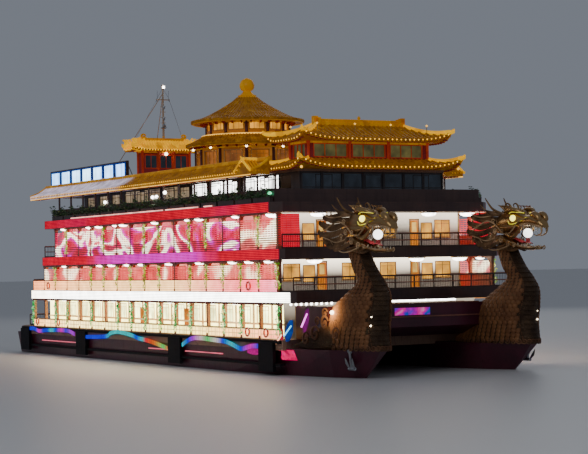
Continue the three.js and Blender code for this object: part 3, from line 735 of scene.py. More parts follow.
@dataclass(frozen=True)
class LitWall(Finish):
    """A painted deckhouse wall with painted lamp light: its sides glow with the gallery lamps. Its ends are darkened as
    painted shade and glow towards the top.

    Args:
        colour: paint.
        side: colour of the light on the side walls, low and high.
        strength: brightness of the sides.
        ends: brightness of the end walls.
        span: height of the wall's foot and top.
    """

    colour: Colour = (0.72, 0.62, 0.46)
    side: tuple[Colour, Colour] = ((1.0, 0.7, 0.35), (1.0, 0.9, 0.65))
    strength: float = 1.0
    ends: float = 0.12
    span: Span = (2.74, 5.53)

    def wire(self, net: Net) -> None:
        """Grades the light from foot to top, with boards and stains in the paint.

        Args:
            net: the material's nodes.
        """
        geometry = net.node("ShaderNodeNewGeometry")
        normal = net.node("ShaderNodeSeparateXYZ", {"Vector": geometry.outputs["Normal"]})
        sideways = net.math("ABSOLUTE", normal.outputs[1])
        facing = net.rescale(sideways, 0.4, 0.6)
        height = net.rescale(net.axes()[2], self.span[0] * SCALE, self.span[1] * SCALE)
        light = net.mix(height, *self.side)
        stain = net.rescale(net.noise(1.8, 6.0), 0.45, 0.75, 0.0, 0.5)
        paint = net.mix(stain, self.colour, darker(self.colour, 0.55))
        seams = net.seams((0.75, 1.4), 0.008)
        paint = net.mix(net.rescale(seams, 0.0, 1.0, 0.6, 0.0), paint, darker(self.colour, 0.3))
        net.bump(seams, 0.4, 0.004)
        # Painted lamp light on the side walls, uneven in patches.
        uneven_light = net.rescale(net.noise(1.1, 4.0), 0.3, 0.7, 0.65, 1.15)
        side_power = net.math("MULTIPLY", uneven_light, self.strength)
        end_power = net.math("MULTIPLY", net.rescale(height, 0.46, 1.0, 0.06, 2.5), self.ends)
        # Painted shade: the end walls' paint is darkened.
        paint = net.mix(net.rescale(facing, 0.0, 1.0, 0.55, 0.0), paint, darker(self.colour, 0.2))
        power = net.math("ADD", net.math("MULTIPLY", facing, net.math("SUBTRACT", side_power, end_power)), end_power)
        glow = net.mix(facing, (1.0, 0.86, 0.66), light)
        net.shade(colour=paint, roughness=0.5, glow=glow, strength=power)


@dataclass(frozen=True)
class Pane(Finish):
    """Window glass with the lit room behind it.

    Args:
        colour: colour of the room's light.
        strength: brightness, or a little for a dark room.
        tint: colour of the glass itself.
    """

    colour: Colour = (1.0, 0.85, 0.55)
    strength: float = 1.2
    tint: Colour = (0.2, 0.2, 0.18)

    def wire(self, net: Net) -> None:
        """Shows a room with furniture and curtains as soft shapes.

        Args:
            net: the material's nodes.
        """
        shapes = net.noise(1.6, 2.0, net.stretched((1.0, 1.0, 0.7)))
        power = net.rescale(shapes, 0.3, 0.7, 0.35 * self.strength, 1.2 * self.strength)
        curtains = net.rescale(net.noise(3.0, 2.0), 0.35, 0.7)
        colour = net.mix(curtains, self.colour, darker(self.colour, 0.55))
        net.bump(net.noise(1.2, 1.0), 0.05, 0.002)
        net.shade(colour=self.tint, roughness=0.12, glow=colour, strength=power, coat_weight=0.15)


WHITE_LIGHT = (1.0, 0.97, 0.92)
RED_LIGHT = (1.0, 0.0, 0.03)
ROSE_LIGHT = (1.0, 0.0, 0.1)
VIOLET_LIGHT = (0.6, 0.02, 0.9)
MAGENTA_LIGHT = (1.0, 0.0, 0.6)
BLUE_LIGHT = (0.0, 0.02, 0.95)
CYAN_LIGHT = (0.0, 0.7, 0.72)
GREEN_LIGHT = (0.05, 0.8, 0.15)
ORANGE_LIGHT = (1.0, 0.2, 0.01)
BAND_RED = (0.62, 0.0, 0.022)
BAND_PINK = (0.82, 0.0, 0.58)


class Finishes:
    """All finishes of the boat, by plain name."""

    hull = Paint("hull_maroon", "hull_paint", (0.085, 0.003, 0.02), (0.045, 0.002, 0.012), 0.34, 0.2, 0.0,
                 (3.0, 0.75), 0.35, True)
    deck = Timber("deck_boards", "deck_paint", (0.3, 0.17, 0.11), (0.12, 0.06, 0.04), (0.6, 9.0, 1.0), 0.55, 0.05)
    rubbing = Paint("rubbing_strake", "deck_paint", (0.3, 0.11, 0.07), (0.16, 0.05, 0.035), 0.45, 0.1, 0.0, None)
    white = Paint("white_enamel", "white_paint", (0.82, 0.8, 0.74), (0.66, 0.62, 0.54), 0.3, 0.3, 0.0, (1.5, 0.41))
    rose = Paint("rose_enamel", "rose_paint", (0.62, 0.045, 0.12), (0.4, 0.02, 0.06), 0.35, 0.2, 0.0, (1.5, 0.41))
    brown = Paint("brown_fascia", "dark_paint", (0.085, 0.04, 0.032), (0.05, 0.022, 0.02), 0.4, 0.2, 0.0, (1.5, 0.41))
    dark = Paint("dark_satin", "dark_paint", (0.035, 0.028, 0.034), (0.06, 0.045, 0.045), 0.4, 0.1, 0.0, None)
    cream = Paint("cream_enamel", "cream_paint", (0.72, 0.62, 0.46), (0.5, 0.4, 0.27), 0.4, 0.1, 0.0, (1.2, 1.2))
    crimson = Paint("crimson_lacquer", "crimson_lacquer", (0.42, 0.025, 0.03), (0.24, 0.015, 0.02), 0.25, 0.6,
                    0.0, None)
    dark_red = Paint("dark_lacquer", "crimson_lacquer", (0.13, 0.015, 0.012), (0.08, 0.01, 0.008), 0.4, 0.3, 0.0, None)
    lit_timber = Glaze("lit_timber", "timber", (0.46, 0.17, 0.02), (0.3, 0.09, 0.012), (0.6, 0.26, 0.05), 0.3, 1.2)
    post = Timber("post_timber", "timber", (0.38, 0.1, 0.045), (0.16, 0.035, 0.02), (9.0, 9.0, 0.8), 0.3, 0.4)
    # The doors' glow is painted lamp light.
    door = Glaze("door_timber", "timber", (0.72, 0.24, 0.02), (0.5, 0.13, 0.01), (0.9, 0.4, 0.05), 0.55, 1.6)
    lit_red = Glaze("lit_lacquer", "crimson_lacquer", (0.5, 0.045, 0.015), (0.36, 0.025, 0.01), (0.65, 0.09, 0.02),
                    0.22, 1.5)
    lit_frame = Glaze("lit_cream_frame", "cream_paint", (0.75, 0.52, 0.22), (0.6, 0.36, 0.12), (0.9, 0.7, 0.36),
                      1.1, 2.0)
    side_tile = Glaze("side_roof_tile", "roof_tile", glow=0.2, wash=True)
    frame = Timber("frame_timber", "timber", (0.5, 0.27, 0.08), (0.24, 0.1, 0.03), (1.2, 7.0, 7.0), 0.35, 0.3)
    tile = Glaze("amber_tile", "roof_tile")
    ridge = Glaze("ridge_tile", "roof_tile", (0.6, 0.27, 0.004), (0.44, 0.17, 0.002), (0.75, 0.38, 0.008), 0.3, 3.0)
    hip = Glaze("hip_tile", "roof_tile", (0.85, 0.42, 0.001), (0.62, 0.27, 0.0), (0.95, 0.52, 0.002), 0.72, 3.0)
    bronze = Bronze("dragon_bronze", "dragon_bronze", (0.2, 0.1, 0.04), (0.06, 0.028, 0.012), 0.0, 0.05, 0.35,
                    eyes=0.32)
    scale = Bronze("dragon_scale_bronze", "dragon_bronze", (0.2, 0.085, 0.032), (0.1, 0.038, 0.015), 0.0, 0.07,
                   0.2, 2.4)
    skin = Bronze("dragon_skin", "dragon_bronze", (0.1, 0.055, 0.026), (0.03, 0.015, 0.008), 9.0, 0.03, 0.3, 1.6)
    gilt = Bronze("dragon_gilt", "dragon_bronze", (0.3, 0.17, 0.07), (0.1, 0.05, 0.02), 0.0, 0.05, 0.4)
    relief = Bronze("dragon_relief", "dragon_bronze", (0.17, 0.075, 0.035), (0.06, 0.026, 0.014), 0.0, 0.06, 0.2, 1.2)
    end_glow = Glaze("end_tile_glow", "roof_tile", (1.0, 0.55, 0.06), (0.85, 0.42, 0.03), (1.0, 0.72, 0.2), 1.3, 5.0)
    rubber = Rubber("fender_rubber", "rubber", (0.006, 0.005, 0.007), (0.026, 0.022, 0.024))
    steel = Metal("galvanised_steel", "steel", (0.42, 0.43, 0.45), 0.35)
    brass = Metal("propeller_bronze", "propeller_bronze", (0.6, 0.4, 0.14), 0.25)
    leaf = Leaf("planter_leaves", "deck_paint")
    wall_main = LitWall("main_wall", "cream_paint", (0.6, 0.46, 0.26), ((1.0, 0.8, 0.2), (0.98, 1.0, 0.4)),
                        7.5, 0.3, (2.74, 5.53))
    wall_first = LitWall("first_wall", "cream_paint", (0.6, 0.5, 0.42), ((1.0, 0.1, 0.05), (1.0, 0.15, 0.11)),
                         2.0, 1.5, (6.37, 8.84))
    wall_second = LitWall("second_wall", "cream_paint", (0.55, 0.48, 0.42), ((1.0, 0.015, 0.03), (1.0, 0.03, 0.09)),
                          1.2, 0.9, (9.67, 12.48))
    warm_pane = Pane("warm_window", "cream_paint", (0.98, 1.0, 0.4), 8.5, (0.5, 0.46, 0.26))
    white_pane = Pane("white_window", "cream_paint", (1.0, 0.99, 0.95), 8.0, (0.5, 0.5, 0.48))
    green_pane = Pane("pavilion_window", "dark_paint", (0.75, 0.62, 0.16), 0.14, (0.03, 0.03, 0.012))
    amber_pane = Pane("pagoda_window", "timber", (1.0, 0.42, 0.025), 1.5, (0.12, 0.05, 0.012))
    lounge_pane = Pane("lounge_window", "timber", (1.0, 0.3, 0.04), 0.42, (0.08, 0.035, 0.012))
    room_pane = Pane("galley_window", "dark_paint", (1.0, 0.72, 0.42), 0.4, (0.12, 0.09, 0.06))
    night_pane = Pane("night_window", "dark_paint", (0.5, 0.7, 1.0), 0.02, (0.008, 0.01, 0.016))
    door_pane = Pane("door_window", "timber", (1.0, 0.62, 0.14), 1.4, (0.6, 0.3, 0.08))
    mast = Timber("mast_enamel", "steel", (0.5, 0.36, 0.24), (0.3, 0.2, 0.13), (9.0, 9.0, 0.8), 0.4, 0.2)
    white_lamp = Lamp("white_lamp", "white_paint", WHITE_LIGHT, 12.0)
    edge_tube = Lamp("edge_tube", "white_paint", (1.0, 0.42, 0.34), 2.2, 2.0)
    amber_lamp = Lamp("amber_lamp", "roof_tile", (1.0, 0.5, 0.03), 1.5)
    warm_lamp = Lamp("warm_lamp", "white_paint", (1.0, 0.85, 0.6), 9.0)
    cyan_tube = Lamp("cyan_tube", "white_paint", (0.08, 0.62, 1.0), 2.6, 2.0)
    magenta_tube = Lamp("magenta_tube", "white_paint", (1.0, 0.16, 0.9), 3.2, 2.0)
    pink_tube = Lamp("pink_tube", "rose_paint", (1.0, 0.12, 0.2), 0.9, 1.0)
    red_tube = Lamp("red_tube", "rose_paint", (1.0, 0.45, 0.25), 3.4, 2.0)
    green_lamp = Lamp("green_lamp", "white_paint", (0.1, 0.9, 0.4), 3.0)
    pearl = Lamp("pearl_glow", "pearl", WHITE_LIGHT, 5.0, 1.0)
    eye = Lamp("eye_glow", "pearl", (1.0, 0.9, 0.12), 4.0, 1.0)
    garland = Curtain("garland_lights", "white_paint", ((0.0, (0.0, 0.1, 0.02)), (0.3, (0.01, 0.34, 0.06)),
                      (0.48, (0.06, 0.62, 0.16)), (0.56, (0.7, 1.0, 0.5)), (0.64, (0.05, 0.5, 0.12)),
                      (0.8, (0.02, 0.34, 0.06)), (1.0, (0.6, 0.6, 0.06))), 1.5, 3.2)
    gold_garland = Curtain("gold_garland_lights", "white_paint", ((0.0, (0.02, 0.1, 0.005)), (0.3, (0.1, 0.3, 0.01)),
                           (0.46, (0.45, 0.5, 0.02)), (0.56, (1.0, 0.85, 0.3)), (0.66, (0.1, 0.45, 0.06)),
                           (1.0, (0.7, 0.4, 0.03))), 1.4, 3.2)
    bow_glow = Curtain("bow_side_glow", "rose_paint", ((0.0, (0.45, 0.0, 0.06)), (0.5, (1.0, 0.0, 0.14)),
                       (1.0, (1.0, 0.02, 0.3))), 1.1, 1.6)
    iron = Paint("iron_paint", "dark_paint", (0.045, 0.03, 0.03), (0.09, 0.045, 0.035), 0.4, 0.2, 0.2, None)
    lifebuoy = Paint("lifebuoy_red", "rose_paint", (0.75, 0.1, 0.05), (0.55, 0.06, 0.03), 0.4, 0.1, 0.0, None)
    ivory = Paint("ivory_teeth", "white_paint", (0.75, 0.68, 0.5), (0.5, 0.42, 0.28), 0.3, 0.3, 0.0, None)
    # Pale gilt of the lips and curls, also used for lines that paint highlights on the dragons' heads.
    pale_gilt = Bronze("pale_gilt", "dragon_bronze", (0.6, 0.4, 0.22), (0.2, 0.12, 0.06), 0.0, 0.08, 0.5)
    mane = Bronze("mane_gilt", "dragon_bronze", (0.24, 0.13, 0.06), (0.05, 0.028, 0.014), 0.0, 0.03, 0.4)
    eye_rim = Lamp("eye_rim_glow", "pearl", (0.8, 0.72, 0.0), 1.0, 1.0)
    panel = Show("main_panel_light", "cream_paint", ((-29.0, (1.0, 0.42, 0.14)), (-20.0, (1.0, 0.7, 0.24)),
                 (-6.0, (1.0, 0.9, 0.3)), (6.0, (1.0, 0.82, 0.22)), (13.0, (1.0, 0.55, 0.15)),
                 (22.0, (1.0, 0.26, 0.14))), 5.0, 0.0, 0.75)
    amber_rail = Timber("amber_rail", "timber", (0.55, 0.3, 0.07), (0.3, 0.14, 0.03), (0.6, 8.0, 8.0), 0.35, 0.3)
    rose_pane = Pane("rose_window", "rose_paint", (1.0, 0.14, 0.09), 2.2, (0.3, 0.06, 0.05))
    red_pane = Pane("red_window", "rose_paint", (1.0, 0.01, 0.07), 1.1, (0.2, 0.01, 0.02))
    hall_pane = Pane("hall_window", "cream_paint", (1.0, 0.45, 0.05), 1.5, (0.3, 0.16, 0.05))
    crimson_panel = Curtain("crimson_glow", "rose_paint", ((0.0, (0.2, 0.0, 0.01)), (0.6, (0.9, 0.0, 0.06)),
                            (1.0, (1.0, 0.02, 0.1))), 0.5, 2.0)
    blue_panel = Curtain("blue_glow", "white_paint", ((0.0, (0.0, 0.01, 0.15)), (0.6, (0.0, 0.1, 0.8)),
                         (1.0, (0.0, 0.3, 1.0))), 0.4, 2.0)
    magenta_panel = Curtain("magenta_glow", "white_paint", ((0.0, (0.3, 0.0, 0.2)), (0.5, (0.9, 0.0, 0.35)),
                            (1.0, (1.0, 0.0, 0.2))), 0.7, 1.6)
    purple_panel = Curtain("purple_glow", "white_paint", ((0.0, (0.12, 0.0, 0.12)), (0.6, (0.5, 0.0, 0.4)),
                           (1.0, (0.9, 0.0, 0.7))), 0.3, 1.6)
    bow_board = Curtain("bow_colours", "white_paint", ((0.0, (0.0, 0.3, 0.1)), (0.3, (0.02, 0.05, 0.7)),
                        (0.5, (0.5, 0.0, 0.6)), (0.7, (0.95, 0.0, 0.4)), (1.0, (1.0, 0.25, 0.6))), 0.7, 1.5)
    board_1 = Show("board_white", "white_paint", ((-29.0, (1.0, 0.93, 0.75)), (-20.0, (1.0, 0.98, 0.92)),
                   (10.0, (1.0, 1.0, 0.97)), (24.6, (1.0, 0.95, 0.86))), 11.0)
    board_2 = Show("board_rose", "rose_paint", ((-26.0, BAND_RED), (-16.0, BAND_RED), (-12.5, (0.8, 0.0, 0.12)),
                   (-9.5, BAND_PINK), (8.0, BAND_PINK), (11.0, (0.8, 0.0, 0.12)), (13.0, BAND_RED), (23.0, BAND_RED)),
                   1.75, 0.03)
    board_3 = Show("board_red", "rose_paint", ((-25.0, RED_LIGHT), (-16.0, ROSE_LIGHT), (-12.0, RED_LIGHT),
                   (10.0, RED_LIGHT), (14.0, ROSE_LIGHT), (17.0, RED_LIGHT), (22.0, RED_LIGHT)), 1.0, 0.03)
    corner_back = Lamp("corner_net_back", "rose_paint", (1.0, 0.0, 0.06), 0.35, 2.0)
    slats_1 = Show("slats_pale", "white_paint", ((-29.0, (1.0, 0.3, 0.1)), (-14.0, (1.0, 0.55, 0.22)),
                   (4.0, (1.0, 0.58, 0.22)), (12.0, (1.0, 0.28, 0.22)), (18.0, (1.0, 0.08, 0.14)),
                   (24.0, (1.0, 0.3, 0.4))), 4.2)
    curtain_1 = Curtain("curtain_rose", "rose_paint", ((0.0, (0.26, 0.01, 0.014)), (0.42, (0.36, 0.03, 0.035)),
                        (0.62, (0.5, 0.1, 0.085)), (0.76, (1.0, 0.8, 0.5)), (1.0, (1.0, 0.9, 0.7))), 4.8, 0.6)
    curtain_2 = Curtain("curtain_patches", "rose_paint", ((0.0, (0.18, 0.0, 0.008)), (0.33, (0.24, 0.0, 0.02)),
                        (0.42, (0.32, 0.0, 0.09)), (0.48, (0.3, 0.0, 0.24)), (0.525, (0.5, 0.06, 0.34)),
                        (0.56, (1.0, 0.86, 0.55)), (0.68, (1.0, 0.93, 0.75)), (0.73, (0.5, 0.1, 0.1)),
                        (0.8, (0.27, 0.0, 0.04)), (1.0, (0.2, 0.0, 0.01))), 5.2, 0.66)
    wave = Show("wave_lights", "white_paint", (
        (-29.2, BLUE_LIGHT), (-27.4, BLUE_LIGHT), (-26.7, MAGENTA_LIGHT), (-25.6, BLUE_LIGHT), (-24.4, BLUE_LIGHT),
        (-23.4, CYAN_LIGHT), (-22.0, BLUE_LIGHT), (-20.8, MAGENTA_LIGHT), (-19.6, BLUE_LIGHT), (-18.0, VIOLET_LIGHT),
        (-15.3, BLUE_LIGHT), (-10.2, BLUE_LIGHT), (-9.0, CYAN_LIGHT), (-4.2, CYAN_LIGHT), (-3.2, BLUE_LIGHT),
        (-1.9, CYAN_LIGHT), (-1.2, RED_LIGHT), (0.6, ORANGE_LIGHT), (2.4, GREEN_LIGHT), (3.4, RED_LIGHT),
        (5.9, CYAN_LIGHT), (7.2, BLUE_LIGHT), (8.2, VIOLET_LIGHT), (9.4, (1.0, 0.6, 0.7)), (10.8, GREEN_LIGHT),
        (12.2, (1.0, 0.9, 0.8)), (13.4, BLUE_LIGHT), (15.0, CYAN_LIGHT), (16.6, BLUE_LIGHT), (18.0, MAGENTA_LIGHT),
        (19.4, BLUE_LIGHT)), 0.85, 0.0, 0.2)
    sign = Show("blank_sign", "white_paint", ((-28.6, (0.2, 0.5, 1.0)), (-19.0, (0.45, 0.75, 1.0)),
                (-9.7, (0.2, 0.45, 1.0))), 4.5, 0.02, 0.6)


def placed(name: str, data: bpy.types.ID) -> Piece:
    """Returns a new object that holds the data, linked to the scene.

    Args:
        name: the object's name.
        data: its mesh or other data.

    Returns:
        The object.
    """
    made = bpy.data.objects.new(name, data)
    bpy.context.scene.collection.objects.link(made)
    return made


@dataclass
class Sketch:
    """Vertices and faces of one piece, in metres of the full-size boat."""

    points: list[Point] = field(default_factory=list)
    faces: list[tuple[int, ...]] = field(default_factory=list)

    def add(self, points: Iterable[Row], faces: Iterable[Sequence[int]]) -> Sketch:
        """Adds vertices and the faces that join them.

        Args:
            points: new vertices.
            faces: corners of each face, counted from the first new vertex.

        Returns:
            The sketch itself.
        """
        start = len(self.points)
        self.points.extend(tuple(point) for point in points)
        self.faces.extend(tuple(start + corner for corner in face) for face in faces)
        return self

    def box(self, x: Span, y: Span, z: Span) -> Sketch:
        """Adds a box between two corners and returns the sketch.

        Args:
            x: its two ends along X.
            y: its two ends along Y.
            z: its two ends along Z.

        Returns:
            The sketch.
        """
        (x0, x1), (y0, y1), (z0, z1) = sorted(x), sorted(y), sorted(z)
        points = [(i, j, k) for i in (x0, x1) for j in (y0, y1) for k in (z0, z1)]
        faces = [(0, 1, 3, 2), (4, 6, 7, 5), (0, 4, 5, 1), (2, 3, 7, 6), (0, 2, 6, 4), (1, 5, 7, 3)]
        return self.add(points, faces)

    def block(self, centre: Point, size: Point) -> Sketch:
        """Adds a box by its middle and its sizes, and returns the sketch."""
        spans = [(middle - full / 2, middle + full / 2) for middle, full in zip(centre, size)]
        return self.box(*spans)

    def loft(self, rings: Sequence[Line], closed: bool = False) -> Sketch:
        """Joins rings of equally many points in turn.

        Args:
            rings: the rings, each a closed loop.
            closed: whether the last ring joins the first, with no caps.

        Returns:
            The sketch itself.
        """
        count = len(rings[0])
        points = [point for ring in rings for point in ring]
        faces: list[tuple[int, ...]] = []
        for row in range(len(rings) if closed else len(rings) - 1):
            a, b = row * count, ((row + 1) % len(rings)) * count
            for i in range(count):
                j = (i + 1) % count
                faces.append((a + i, a + j, b + j, b + i))
        if not closed:
            last = (len(rings) - 1) * count
            faces.append(tuple(range(count - 1, -1, -1)))
            faces.append(tuple(range(last, last + count)))
        return self.add(points, faces)

    def tube(self, path: Line, radius: float | Row, sides: int = 8, flat: float = 1.0) -> Sketch:
        """Adds a round bar along a path.

        Args:
            path: points of its centre line.
            radius: its radius, or one for each point.
            sides: number of sides of its section.
            flat: height of the section as a share of its width.

        Returns:
            The sketch itself.
        """
        line = [Vector(point) for point in path]
        radii = [radius] * len(line) if isinstance(radius, (int, float)) else list(radius)
        rings = []
        side = None
        for index, centre in enumerate(line):
            ahead = line[min(index + 1, len(line) - 1)] - line[max(index - 1, 0)]
            ahead.normalize()
            if side is None:
                guide = Vector((0, 0, 1)) if abs(ahead.z) < 0.9 else Vector((1, 0, 0))
                side = ahead.cross(guide)
            side = (side - ahead * side.dot(ahead)).normalized()
            other = ahead.cross(side)
            rings.append([
                centre + side * (radii[index] * math.cos(angle)) + other * (radii[index] * flat * math.sin(angle))
                for angle in (math.tau * k / sides for k in range(sides))
            ])
        return self.loft(rings)

    def lathe(self, profile: Sequence[Span], x: float, y: float, steps: int, closed: bool = False) -> Sketch:
        """Turns a profile of radius and height about an upright axis, and returns the sketch.

        Args:
            profile: radius and height of each ring.
            x: X of the axis.
            y: Y of the axis.
            steps: number of sides.
            closed: whether the last ring joins the first.

        Returns:
            The sketch.
        """
        rings = []
        for radius, height in profile:
            size = max(radius, 1e-4)
            rings.append([
                (x + size * math.cos(math.tau * k / steps), y + size * math.sin(math.tau * k / steps), height)
                for k in range(steps)
            ])
        return self.loft(rings, closed)

    def ball(self, centre: Point, radius: float, steps: int = 12, squash: float = 1.0) -> Sketch:
        """Adds a ball and returns the sketch.

        Args:
            centre: its middle.
            radius: its radius.
            steps: number of rings.
            squash: share of the radius that its height has.

        Returns:
            The sketch.
        """
        profile = [
            (radius * math.sin(math.pi * k / steps), centre[2] - squash * radius * math.cos(math.pi * k / steps))
            for k in range(steps + 1)
        ]
        return self.lathe(profile, centre[0], centre[1], 2 * steps)

    def blade(self, path: Line, widths: Row, thickness: float, across: Row) -> Sketch:
        """Adds a flat tapering leaf along a path, ridged along its middle.

        Args:
            path: points of its middle line.
            widths: half widths, one for each point.
            thickness: half thickness at the ridge.
            across: direction of its width.

        Returns:
            The sketch itself.
        """
        line = [Vector(point) for point in path]
        rings = []
        for index, centre in enumerate(line):
            ahead = (line[min(index + 1, len(line) - 1)] - line[max(index - 1, 0)]).normalized()
            side = Vector(across)
            side = (side - ahead * side.dot(ahead)).normalized()
            rise = ahead.cross(side) * thickness * (0.35 + widths[index] / max(widths))
            wide = side * widths[index]
            rings.append([centre + wide, centre + rise, centre - wide, centre - rise])
        return self.loft(rings)

    def hoop(self, centre: Point, radius: float, tube: float, steps: int = 28, axis: str = "y") -> Sketch:
        """Adds a ring of round bar.

        Args:
            centre: its middle.
            radius: radius of its centre line.
            tube: radius of the bar.
            steps: number of sections.
            axis: axis that it turns about.

        Returns:
            The sketch itself.
        """
        angles = [math.tau * k / steps for k in range(steps)]
        return self.loft([self._section(centre, axis, radius, tube, angle) for angle in angles], True)

    def hoop_band(self, centre: Point, radius: float, tube: float, angle: float) -> Sketch:
        """Adds a short sleeve on a hoop about Y, at an angle from X, and returns the sketch."""
        angles = [angle + step for step in (-0.16, -0.08, 0.0, 0.08, 0.16)]
        return self.loft([self._section(centre, "y", radius, tube, turn) for turn in angles])

    @staticmethod
    def _section(centre: Point, axis: str, radius: float, tube: float, angle: float) -> list[Point]:
        """Returns a hoop's round section at an angle about its axis.

        Args:
            centre: the hoop's middle.
            axis: the axis that the hoop turns about.
            radius: the hoop's radius.
            tube: the section's radius.
            angle: place round the hoop, in radians.

        Returns:
            The points of the section.
        """
        ring = []
        for turn in (math.tau * n / 8 for n in range(8)):
            reach, along = radius + tube * math.cos(turn), tube * math.sin(turn)
            a, b = reach * math.cos(angle), reach * math.sin(angle)
            offset = {"x": (along, a, b), "y": (a, along, b), "z": (a, b, along)}[axis]
            ring.append(tuple(middle + part for middle, part in zip(centre, offset)))
        return ring

    def merge(self, other: Sketch, place: Point, side: int) -> Sketch:
        """Adds a sketch made about Z, turned to face along Y.

        Args:
            other: the sketch.
            place: where its middle goes.
            side: 1 where it faces port, -1 where it faces starboard.

        Returns:
            The sketch itself.
        """
        x, y, z = place
        return self.add([(x + a, y + side * c, z + b) for a, b, c in other.points], other.faces)

    def mirrored(self) -> Sketch:
        """Adds the same shapes on the other side of the boat and returns the sketch.

        Returns:
            The sketch.
        """
        points = [(x, -y, z) for x, y, z in self.points]
        faces = [tuple(reversed(face)) for face in self.faces]
        return self.add(points, faces)

    def mesh(self, name: str) -> Piece:
        """Makes the sketch a Blender object at the model's scale, with its doubles merged and its faces outwards.

        Args:
            name: the object's name.

        Returns:
            The new object, linked to the scene.
        """
        data = bpy.data.meshes.new(name)
        data.from_pydata([tuple(value * SCALE for value in point) for point in self.points], [], self.faces)
        work = bmesh.new()
        work.from_mesh(data)
        bmesh.ops.remove_doubles(work, verts=work.verts, dist=DOUBLES)
        bmesh.ops.recalc_face_normals(work, faces=work.faces)
        work.to_mesh(data)
        work.free()
        return placed(name, data)

    def piece(
        self, name: str, finish: Finish, body: str = "boat", smooth: float = 0.0, bevel: float = 0.0
    ) -> Piece:
        """Makes the sketch a finished piece that rides on a body.

        Args:
            name: the piece's name.
            finish: its finish.
            body: the body that it rides on.
            smooth: largest angle in degrees between faces that are shaded as one.
            bevel: width of rounded edges, in model metres.

        Returns:
            The new object.
        """
        return settle(self.mesh(name), finish, body, smooth, bevel)


def coat(data: bpy.types.Mesh, finish: Finish) -> None:
    """Gives a mesh one finish."""
    data.materials.clear()
    data.materials.append(finish.material())


def settle(made: Piece, finish: Finish, body: str = "boat", smooth: float = 0.0, bevel: float = 0.0) -> Piece:
    """Gives an object its finish and edges, and lets it ride on a body.

    Args:
        made: the object.
        finish: its finish.
        body: the body that it rides on.
        smooth: largest angle in degrees between faces that are shaded as one.
        bevel: width of rounded edges, in model metres.

    Returns:
        The same object.
    """
    coat(made.data, finish)
    if smooth > 0.0:
        made.data.shade_smooth()
        made.data.set_sharp_from_angle(angle=math.radians(smooth))
    if bevel > 0.0:
        edge = made.modifiers.new("edges", "BEVEL")
        edge.width = bevel
        edge.segments = 2
        edge.limit_method = "ANGLE"
        edge.angle_limit = math.radians(BEVEL_FROM)
    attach(made, body)
    LOG.info("%s: %d faces", made.name, len(made.data.polygons))
    return made


def dress(finish: Finish, *nodes: str) -> None:
    """Gives CAD nodes a finish."""
    for name in nodes:
        coat(FRAME["nodes"][name].data, finish)


class Socket(Enum):
    """Kinds of input that the node trees take."""

    NUMBER = "NodeSocketFloat"
    COUNT = "NodeSocketInt"
    VECTOR = "NodeSocketVector"
    MATERIAL = "NodeSocketMaterial"
    OBJECT = "NodeSocketObject"


